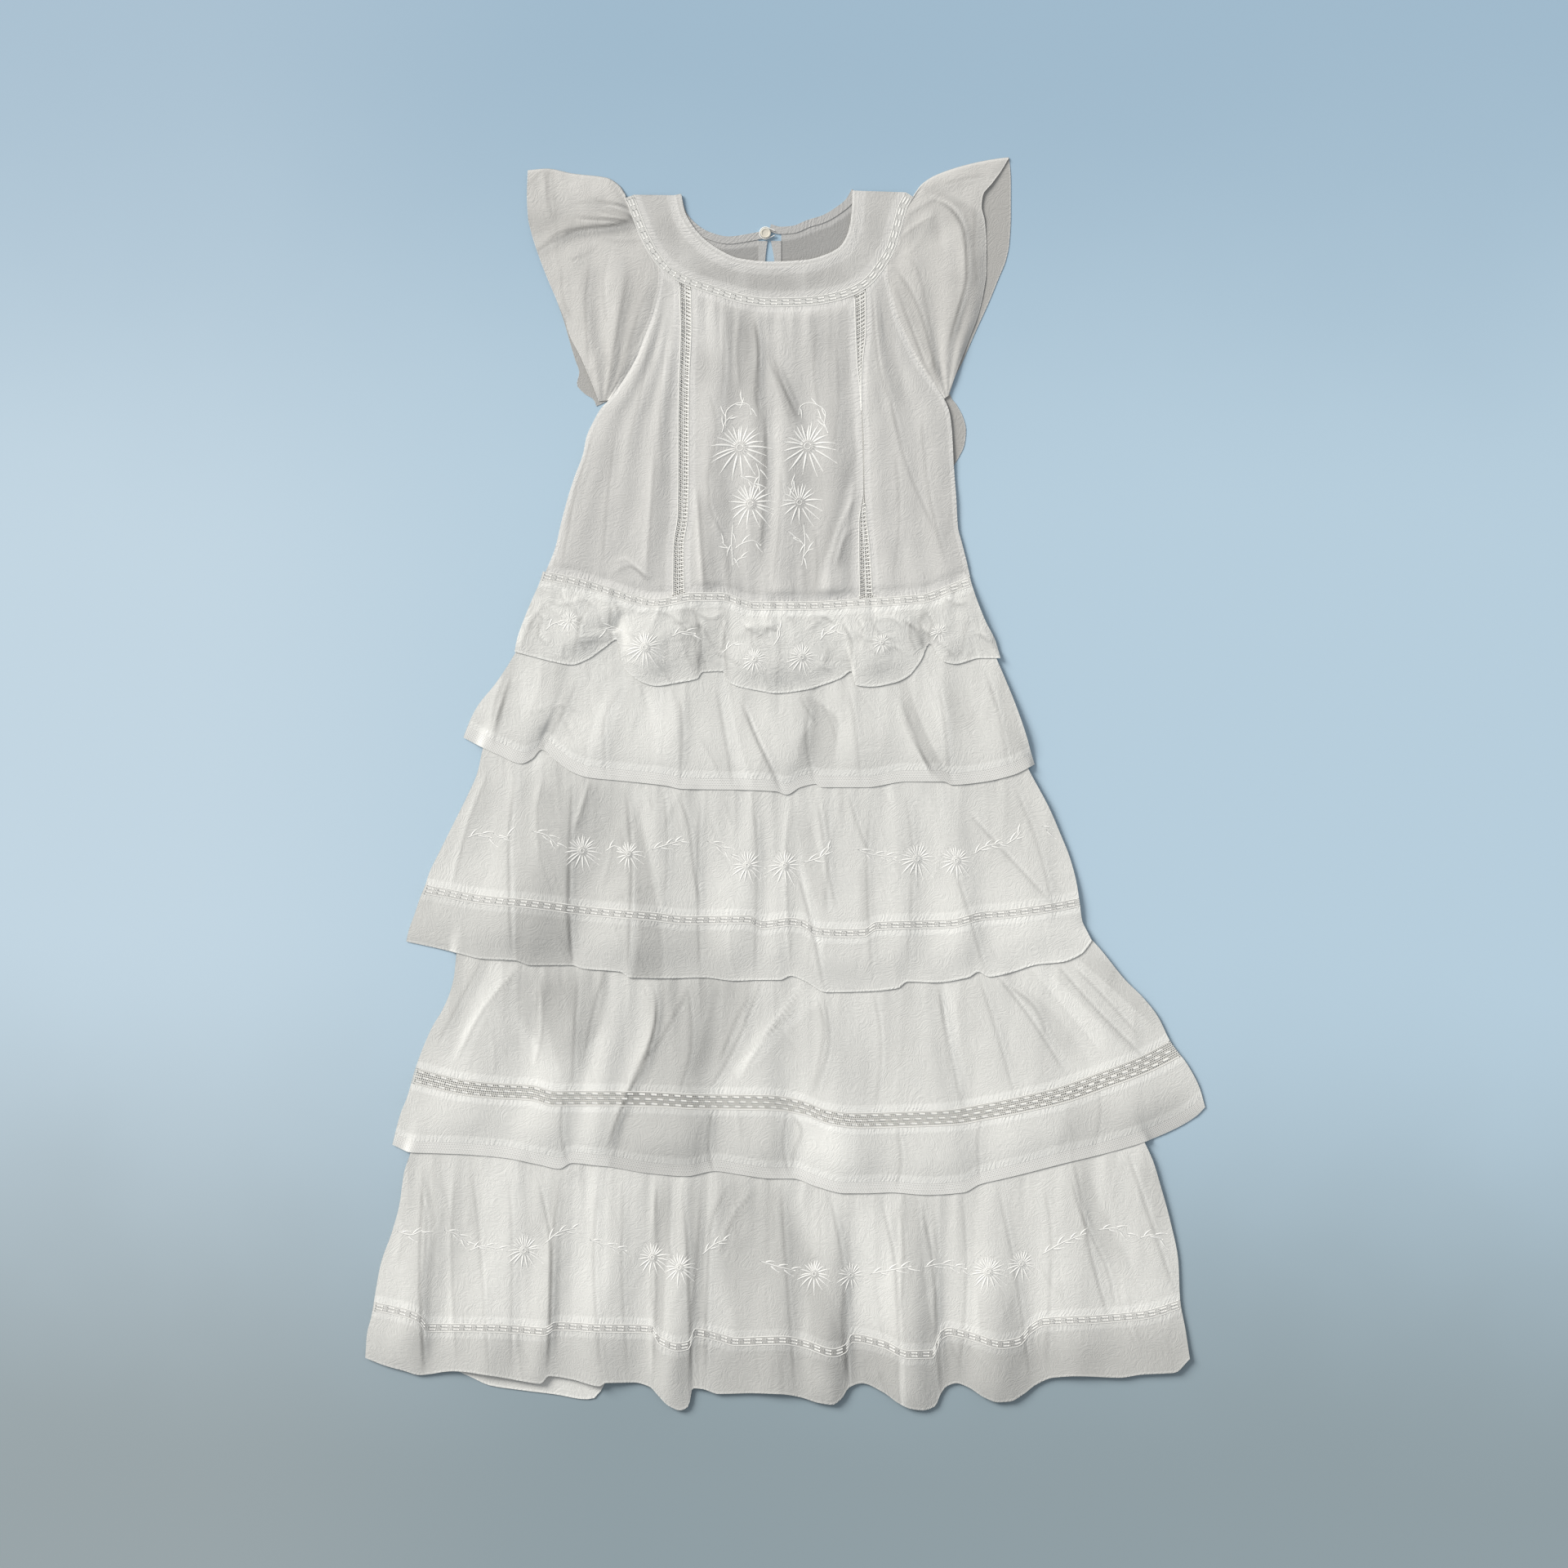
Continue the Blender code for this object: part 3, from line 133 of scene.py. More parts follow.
# Tiers: side edges from the tucked top to the hem, then lines across from left to right
TIER_SIDES = {
    1: ([(661, 712), (652, 733), (643, 755), (633, 783), (630, 798)],
        [(1191, 719), (1206, 759), (1219, 785), (1225, 806)]),
    2: ([(648, 762), (631, 799), (606, 838), (588, 860), (581, 871), (573, 888), (567, 903)],
        [(1198, 757), (1223, 813), (1244, 864), (1258, 905), (1262, 920), (1267, 936)]),
    3: ([(600, 893), (591, 918), (585, 945), (572, 975), (558, 1003), (538, 1043), (525, 1070), (521, 1083),
         (514, 1100), (508, 1118), (500, 1140), (497, 1153)],
        [(1246, 912), (1259, 941), (1285, 990), (1298, 1020), (1310, 1050), (1318, 1080), (1322, 1105),
         (1325, 1127), (1331, 1140), (1337, 1152)]),
    4: ([(566, 1132), (559, 1167), (556, 1195), (551, 1215), (541, 1238), (530, 1256), (517, 1285),
         (508, 1310), (499, 1342), (490, 1365), (480, 1402)],
        [(1320, 1136), (1340, 1154), (1378, 1200), (1401, 1223), (1418, 1245), (1433, 1275), (1455, 1305),
         (1469, 1332), (1476, 1356)]),
    5: ([(515, 1368), (503, 1411), (495, 1435), (489, 1475), (480, 1508), (466, 1548), (460, 1580),
         (455, 1610), (449, 1635), (447, 1663)],
        [(1378, 1355), (1401, 1398), (1412, 1422), (1422, 1455), (1433, 1495), (1443, 1545), (1445, 1590),
         (1452, 1630), (1457, 1664)]),
}
TIER_TOPS = {
    2: [(648, 762), (760, 778), (960, 788), (1100, 778), (1198, 757)],
    3: [(600, 893), (760, 922), (960, 930), (1100, 924), (1246, 912)],
    4: [(566, 1132), (760, 1150), (960, 1158), (1150, 1155), (1320, 1136)],
    5: [(515, 1368), (760, 1385), (960, 1402), (1180, 1402), (1378, 1355)],
}
TIER_LACES = {
    3: [(516, 1089), (545, 1094), (584, 1101), (650, 1107), (722, 1116), (795, 1122), (844, 1127),
        (916, 1126), (932, 1133), (965, 1129), (982, 1131), (999, 1141), (1040, 1143), (1058, 1142),
        (1072, 1134), (1164, 1131), (1200, 1122), (1233, 1119), (1290, 1111), (1322, 1105)],
    4: [(506, 1317), (530, 1323), (565, 1331), (610, 1336), (650, 1338), (680, 1345), (740, 1345),
        (800, 1346), (860, 1349), (940, 1350), (980, 1356), (1015, 1368), (1050, 1372), (1120, 1370),
        (1165, 1368), (1200, 1362), (1250, 1352), (1300, 1340), (1350, 1322), (1400, 1303), (1437, 1284)],
    5: [(457, 1600), (480, 1604), (505, 1610), (516, 1616), (524, 1626), (600, 1626), (667, 1630),
        (679, 1624), (730, 1626), (797, 1628), (808, 1642), (830, 1649), (842, 1647), (850, 1632),
        (880, 1638), (900, 1643), (957, 1641), (985, 1646), (1020, 1656), (1034, 1651), (1042, 1639),
        (1080, 1646), (1111, 1658), (1140, 1658), (1150, 1636), (1160, 1631), (1190, 1637), (1225, 1646),
        (1245, 1643), (1260, 1628), (1276, 1619), (1350, 1615), (1400, 1610), (1443, 1597)],
}
TIER_HEMS = {
    1: [(630, 798), (660, 806), (680, 811), (700, 814), (718, 808), (740, 793), (756, 783), (761, 812),
        (772, 826), (790, 837), (803, 840), (830, 836), (854, 831), (860, 823), (886, 822), (891, 834),
        (905, 841), (925, 845), (950, 849), (985, 845), (1012, 837), (1030, 830), (1042, 822),
        (1048, 839), (1065, 841), (1095, 836), (1112, 828), (1128, 808), (1138, 788), (1148, 803),
        (1157, 811), (1170, 813), (1200, 806), (1225, 806)],
    2: [(567, 903), (590, 915), (612, 925), (638, 935), (652, 929), (663, 918), (680, 931), (700, 945),
        (720, 952), (760, 956), (815, 962), (835, 966), (900, 967), (950, 969), (963, 973), (980, 964),
        (999, 960), (1005, 964), (1060, 964), (1110, 957), (1155, 957), (1166, 961), (1200, 958),
        (1240, 949), (1267, 936)],
    3: [(497, 1153), (530, 1160), (560, 1167), (590, 1174), (630, 1176), (650, 1182), (701, 1182),
        (713, 1186), (760, 1190), (771, 1197), (815, 1198), (860, 1197), (900, 1201), (930, 1200),
        (955, 1200), (968, 1195), (985, 1201), (1012, 1215), (1060, 1214), (1099, 1210), (1111, 1202),
        (1145, 1203), (1185, 1197), (1198, 1190), (1211, 1196), (1240, 1190), (1270, 1181), (1300, 1178),
        (1324, 1168), (1337, 1152)],
    4: [(480, 1402), (503, 1411), (530, 1412), (560, 1413), (590, 1415), (620, 1418), (660, 1426),
        (685, 1431), (700, 1424), (730, 1427), (742, 1428), (760, 1431), (790, 1436), (840, 1440),
        (875, 1434), (905, 1438), (945, 1443), (970, 1443), (1000, 1453), (1035, 1461), (1060, 1461),
        (1090, 1460), (1135, 1463), (1180, 1460), (1200, 1450), (1225, 1444), (1250, 1438), (1300, 1425),
        (1350, 1413), (1402, 1398), (1440, 1382), (1465, 1367), (1476, 1356)],
    5: [(447, 1663), (470, 1672), (495, 1679), (514, 1684), (524, 1683), (555, 1679), (600, 1684),
        (640, 1691), (662, 1694), (672, 1685), (700, 1689), (734, 1697), (742, 1693), (775, 1693),
        (795, 1698), (806, 1709), (818, 1721), (833, 1727), (843, 1722), (848, 1700), (860, 1701),
        (880, 1707), (920, 1706), (957, 1707), (980, 1711), (1003, 1718), (1019, 1720), (1030, 1713),
        (1040, 1699), (1055, 1694), (1080, 1704), (1100, 1718), (1115, 1725), (1130, 1727), (1145, 1722),
        (1152, 1707), (1159, 1698), (1171, 1694), (1186, 1699), (1205, 1711), (1222, 1717), (1237, 1716),
        (1252, 1708), (1270, 1695), (1290, 1687), (1320, 1685), (1370, 1687), (1400, 1683), (1438, 1681),
        (1457, 1664)],
}
# The lowest back tier shows past the front hem on the left; the others end a little above it
BACK_HEM_5 = [(448, 1655), (500, 1672), (552, 1677), (575, 1686), (600, 1697), (640, 1703), (680, 1708),
              (718, 1714), (732, 1711), (742, 1689), (800, 1685), (900, 1693), (1010, 1699), (1100, 1690),
              (1200, 1694), (1300, 1680), (1400, 1677), (1455, 1655)]
BACK_HEM_LIFT = 7.0
# Pieces of each tier: name, and the lines above and below it
TIER_PIECES = {
    1: [("tier1", "top", "hem")],
    2: [("tier2", "top", "edge_top"), ("tier2_edge", "edge_top", "hem")],
    3: [("tier3", "top", "lace_top"), ("tier3_lace", "lace_top", "lace_bottom"),
        ("tier3_band", "lace_bottom", "hem")],
    4: [("tier4", "top", "lace_top"), ("tier4_lace", "lace_top", "lace_bottom"),
        ("tier4_band", "lace_bottom", "edge_top"), ("tier4_edge", "edge_top", "hem")],
    5: [("tier5", "top", "lace_top"), ("tier5_lace", "lace_top", "lace_bottom"),
        ("tier5_band", "lace_bottom", "hem")],
}

# Camera, in millimetres
LENS = 85.0
SENSOR = 36.0


def ease(t):
    """Smooth step from 0 to 1."""
    t = np.clip(t, 0.0, 1.0)
    return t * t * (3.0 - 2.0 * t)


def along(knots, at):
    """Read a smooth, never overshooting curve through (place, value) knots."""
    knots = np.asarray(knots, dtype=float)
    place, value = knots[:, 0], knots[:, 1]
    step = np.diff(place)
    slope = np.diff(value) / step
    tangent = np.zeros_like(value)
    tangent[0], tangent[-1] = slope[0], slope[-1]
    before, after = slope[:-1], slope[1:]
    together = before * after > 0
    mean = 2.0 * before * after / np.where(together, before + after, 1.0)
    tangent[1:-1] = np.where(together, mean, 0.0)
    at = np.clip(np.asarray(at, dtype=float), place[0], place[-1])
    cell = np.clip(np.searchsorted(place, at, side="right") - 1, 0, len(step) - 1)
    width = step[cell]
    t = (at - place[cell]) / width
    return ((2 * t ** 3 - 3 * t ** 2 + 1) * value[cell] + (t ** 3 - 2 * t ** 2 + t) * width * tangent[cell]
            + (3 * t ** 2 - 2 * t ** 3) * value[cell + 1] + (t ** 3 - t ** 2) * width * tangent[cell + 1])


def spread(first, last, cells):
    """Evenly spaced places, one more than the cells between them."""
    return np.linspace(first, last, cells + 1)


def edge(points, rows):
    """Column of a side edge at each row, from points that run downwards."""
    return along([(row, column) for column, row in points], rows)


def across(points, share):
    """Row of a line that runs from left to right, at a share of its own width."""
    first, last = points[0][0], points[-1][0]
    return along([((column - first) / (last - first), row) for column, row in points], share)


def run_length(line):
    """Length along a line up to each of its points, from its columns and rows."""
    return np.concatenate([[0.0], np.cumsum(np.hypot(*np.diff(line, axis=1)))])


def trace(points, count):
    """Points evenly spaced by length along a smooth curve, as two arrays."""
    points = np.asarray(points, dtype=float)
    length = run_length(points.T)
    at = np.linspace(0.0, length[-1], TRACE_FINENESS * len(points))
    fine = np.array([along(np.column_stack([length, points[:, k]]), at) for k in (0, 1)])
    length = run_length(fine)
    at = np.linspace(0.0, length[-1], count)
    return np.array([np.interp(at, length, fine[k]) for k in (0, 1)])


def in_metres(column, row):
    """Place on the floor of a plan point, in metres."""
    return (column - MIDDLE_COLUMN) * PIXEL, (MIDDLE_ROW - row) * PIXEL


def beside(line, distance):
    """Move a traced line sideways; along the neck a positive distance is outwards."""
    ahead = np.gradient(line, axis=1)
    ahead /= np.hypot(*ahead)
    return line + distance * np.array([-ahead[1], ahead[0]])


def cells_in(distance, cell):
    """Number of grid cells of about one size that fill a distance in pixels."""
    return max(1, int(round(distance / cell)))


def stack_lines(lines, cell):
    """Grid that runs through several traced lines, and the row index at which each line lies."""
    columns, rows, marks = [lines[0][0][None]], [lines[0][1][None]], [0]
    for first, second in zip(lines, lines[1:]):
        count = cells_in(np.median(np.hypot(*(second - first))), cell)
        share = spread(0.0, 1.0, count)[1:, None]
        columns.append(first[0] * (1 - share) + second[0] * share)
        rows.append(first[1] * (1 - share) + second[1] * share)
        marks.append(marks[-1] + count)
    return np.concatenate(columns), np.concatenate(rows), marks


def region(top, bottom, left, right, shares, depths):
    """Grid of plan points inside four edges; top and bottom give a row for each share across."""
    share, depth = np.meshgrid(shares, depths)
    rows = top(share) * (1 - depth) + bottom(share) * depth
    start = edge(left, top(0.0) * (1 - depth) + bottom(0.0) * depth)
    end = edge(right, top(1.0) * (1 - depth) + bottom(1.0) * depth)
    return start * (1 - share) + end * share, rows


def soften(values, cells, axis):
    """Average over a few cells each way along one axis, holding the slope at the ends."""
    size = values.shape[axis]
    cells = min(cells, size - 1)
    if cells < 1:
        return values
    pad = [(0, 0), (0, 0)]
    pad[axis] = (cells, cells)
    wide = np.pad(values, pad, mode="reflect", reflect_type="odd")
    total = np.zeros_like(values)
    for shift in range(2 * cells + 1):
        total += np.take(wide, range(shift, shift + size), axis=axis)
    return total / (2 * cells + 1)


DOWN = Vector((0.0, 0.0, -1.0))


def read_form(names, column, row):
    """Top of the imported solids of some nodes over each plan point, in millimetres."""
    verts, faces = [], []
    for name in names:
        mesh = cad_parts[name].data
        start = len(verts)
        verts += [vertex.co.copy() for vertex in mesh.vertices]
        faces += [[start + index for index in face.vertices] for face in mesh.polygons]
    tree = BVHTree.FromPolygons(verts, faces)
    height = np.full(column.shape, np.nan)
    for place in np.ndindex(column.shape):
        start = Vector((*in_metres(column[place], row[place]), READ_FROM))
        hit = tree.ray_cast(start, DOWN)[0]
        if hit is not None:
            height[place] = hit.z * 1000.0
    whole = [k for k, line in enumerate(height) if not np.isnan(line).all()]
    for k in whole:
        known = ~np.isnan(height[k])
        height[k] = np.interp(np.arange(len(height[k])), np.flatnonzero(known), height[k][known])
    for k in range(len(height)):
        if k not in whole:
            height[k] = height[min(whole, key=lambda other: abs(other - k))]
    return height


class Pile:
    """Highest cloth so far over each plan point, which the next layer rests on."""

    def __init__(self):
        columns = int((MAP_COLUMNS[1] - MAP_COLUMNS[0]) / MAP_CELL)
        rows = int((MAP_ROWS[1] - MAP_ROWS[0]) / MAP_CELL)
        self.height = np.zeros((rows, columns))

    def stamp(self, column, row, top):
        """Record the top of one lay of cloth, quad by quad."""
        reach = max(np.abs(np.diff(column, axis=0)).max(), np.abs(np.diff(column, axis=1)).max(),
                    np.abs(np.diff(row, axis=0)).max(), np.abs(np.diff(row, axis=1)).max())
        steps = int(math.ceil(reach / (0.7 * MAP_CELL)))
        for i in range(steps + 1):
            for j in range(steps + 1):
                a, b = i / steps, j / steps
                blend = [(g[:-1, :-1] * (1 - a) + g[1:, :-1] * a) * (1 - b)
                         + (g[:-1, 1:] * (1 - a) + g[1:, 1:] * a) * b for g in (column, row, top)]
                x = ((blend[0] - MAP_COLUMNS[0]) / MAP_CELL).astype(int)
                y = ((blend[1] - MAP_ROWS[0]) / MAP_CELL).astype(int)
                np.maximum.at(self.height, (y, x), blend[2])

    def under(self, column, row):
        """Highest cloth within a cell of each plan point."""
        wide = self.height
        for axis in (0, 1):
            wide = np.maximum(wide, np.maximum(np.roll(wide, 1, axis), np.roll(wide, -1, axis)))
        x = (column - MAP_COLUMNS[0]) / MAP_CELL - 0.5
        y = (row - MAP_ROWS[0]) / MAP_CELL - 0.5
        x0, y0 = np.floor(x).astype(int), np.floor(y).astype(int)
        a, b = x - x0, y - y0
        return ((wide[y0, x0] * (1 - a) + wide[y0, x0 + 1] * a) * (1 - b)
                + (wide[y0 + 1, x0] * (1 - a) + wide[y0 + 1, x0 + 1] * a) * b)


PILE = Pile()

# How strongly creases and gathers show: a share of their height, then the painted highlight on a ridge, the
# greyer flank, the painted shadow line beside a fold and the uneven tone on the right of a gather, mostly
# painted shade, as shares of the cloth's colour for each millimetre of height
CREASE_SCALE = 0.52
RIDGE_HIGHLIGHT = 0.07
FLANK_TONE = 0.06
FOLD_SHADOW_LINE = 0.12
GATHER_TONE = 0.09
# Section of a crease: the half width of its painted highlight along the ridge, the place and half width of
# its painted shadow line in pixels, its wide and narrow flank as shares of its width, the part of its length
# over which each end fades, and the height in millimetres above which its tone stays the same
RIDGE_HIGHLIGHT_WIDTH = 2.2
FOLD_SHADOW_PLACE = 3.4
FOLD_SHADOW_WIDTH = 1.9
WIDE_FLANK = 2.6
NARROW_FLANK = 0.45
END_FADE = 0.22
FULL_TONE_HEIGHT = 1.6
CRUMPLE_WAVES = 9


class Lay:
    """One continuous lay of cloth: a fine grid on the form of its solids, cut into pieces at its seams."""

    def __init__(self, column, row, nodes, form=None):
        self.column, self.row = column, row
        self.height = form if form is not None else read_form(nodes, column, row)
        # Tone, as a share of the cloth's colour: painted shade and highlights of folds, creases and the
        # light's fall-off, and greyer single or whiter doubled sheer cloth
        self.tone = np.zeros(column.shape)

    def settle_form(self, reach=4):
        """Round off the solids' broad facets."""
        for _ in range(2):
            for axis in (0, 1):
                self.height = soften(self.height, min(reach, self.height.shape[axis] - 1), axis)

    def least(self):
        """Lowest that the lay can be over whatever lies below it."""
        return PILE.under(self.column, self.row) + LAYER_AIR + THICKNESS

    def rest(self):
        """Lift the lay off whatever lies below it."""
        least = self.least()
        lifted = np.maximum(self.height, least)
        for _ in range(2):
            soft = soften(soften(lifted, 1, 0), 1, 1)
            lifted = np.maximum(soft, least)
        self.height = lifted

    def press_down(self, share):
        """Take away a share of the air under the lay."""
        self.height -= share * np.maximum(self.height - self.least(), 0.0)

    def stamp(self):
        """Record the lay for the next one to rest on."""
        PILE.stamp(self.column, self.row, self.height)

    def points(self):
        """Points halfway through the cloth, in metres."""
        return np.stack([*in_metres(self.column, self.row), (self.height - 0.5 * THICKNESS) * 0.001], axis=-1)

    def lines(self, *places):
        """Columns and rows along some lines of the grid."""
        return [np.array([self.column[place], self.row[place]]) for place in places]


def crease(lay, height, width, lean, points):
    """Add one crease to a lay: raised or sunk along a curve, with one flank wider if it leans, a painted
    highlight along its ridge and a painted shadow line beside it.
    """
    line = trace(points, 6 * len(points))
    reach = 8.0 * width if lean else 3.5 * width
    near = ((lay.column > line[0].min() - reach) & (lay.column < line[0].max() + reach)
            & (lay.row > line[1].min() - reach) & (lay.row < line[1].max() + reach))
    if not near.any():
        return
    column, row = lay.column[near], lay.row[near]
    best = np.full(column.shape, np.inf)
    side = np.zeros(column.shape)
    place = np.zeros(column.shape)
    count = line.shape[1] - 1
    for k in range(count):
        ahead = line[:, k + 1] - line[:, k]
        from_start = (column - line[0, k], row - line[1, k])
        t = np.clip((from_start[0] * ahead[0] + from_start[1] * ahead[1]) / (ahead @ ahead), 0.0, 1.0)
        off = (from_start[0] - t * ahead[0], from_start[1] - t * ahead[1])
        distance = np.hypot(*off)
        closer = distance < best
        cross = ahead[1] * off[0] - ahead[0] * off[1]
        best = np.where(closer, distance, best)
        side = np.where(closer, np.sign(cross), side)
        place = np.where(closer, (k + t) / count, place)
    flank = side * lean < 0
    wide = np.where(flank, WIDE_FLANK, NARROW_FLANK) * width if lean else width
    shadow_side = side * (lean if lean else 1) < 0
    strength = ease(place / END_FADE) * ease((1.0 - place) / END_FADE)
    lay.height[near] += CREASE_SCALE * height * strength * np.exp(-(best / wide) ** 2)
    # Painted highlight along the ridge, greyer wide flank and painted shadow line beside the crease
    tone = RIDGE_HIGHLIGHT * np.exp(-(best / RIDGE_HIGHLIGHT_WIDTH) ** 2)
    tone = tone - np.where(flank, FLANK_TONE, 0.0) * np.exp(-best / (3.0 * width))
    shadow_line = np.exp(-((best - FOLD_SHADOW_PLACE) / FOLD_SHADOW_WIDTH) ** 2)
    tone = tone - np.where(shadow_side, FOLD_SHADOW_LINE, 0.0) * shadow_line
    lay.tone[near] += strength * min(abs(height), FULL_TONE_HEIGHT) * tone


def gathers(lay, share, depth, count, seed, height, reach, shown=1.0):
    """Uneven gathers that run down from a seam, each with its own place, width, slant and length."""
    draw = np.random.default_rng(seed)
    span = lay.column.max() - lay.column.min()
    for k in range(count):
        place = (k + draw.uniform(0.1, 0.9)) / count
        width = draw.uniform(0.35, 0.8) * span / count
        slant = draw.uniform(-0.35, 0.35) * span / count
        full = height * draw.uniform(0.35, 1.0) * draw.choice([1.0, 1.0, -0.7])
        length = reach * draw.uniform(0.45, 1.3)
        offset = (share - place) * span - slant * depth / max(reach, 0.05)
        wide = np.where(offset < 0, width * draw.uniform(0.5, 1.2), width * draw.uniform(0.3, 0.8))
        fade = shown * np.exp(-(depth / length) ** 2)
        lay.height += full * fade * np.exp(-(offset / wide) ** 2)
        # Uneven tone on the right of each gather, mostly darker: painted shade on the side away from the
        # light
        shading_right = draw.uniform(-1.0, 0.6) * GATHER_TONE
        lay.tone += shading_right * fade * np.where(offset > 0, np.exp(-offset / (1.1 * width)), 0.0)


def crumple(lay, height, size, seed):
    """Shallow uneven dents all over a lay, from a few crossing waves."""
    draw = np.random.default_rng(seed)
    total = np.zeros_like(lay.height)
    for _ in range(CRUMPLE_WAVES):
        turn = draw.uniform(0.0, math.pi)
        pitch = size * draw.uniform(0.7, 2.2)
        phase = draw.uniform(0.0, 2 * math.pi)
        bend = draw.uniform(0.5, 1.5) * np.sin(lay.row / (size * draw.uniform(2, 4)) + phase)
        total += np.sin((lay.column * math.cos(turn) + lay.row * math.sin(turn)) * 2 * math.pi / pitch
                        + phase + bend)
    lay.height += height * total / 4.0
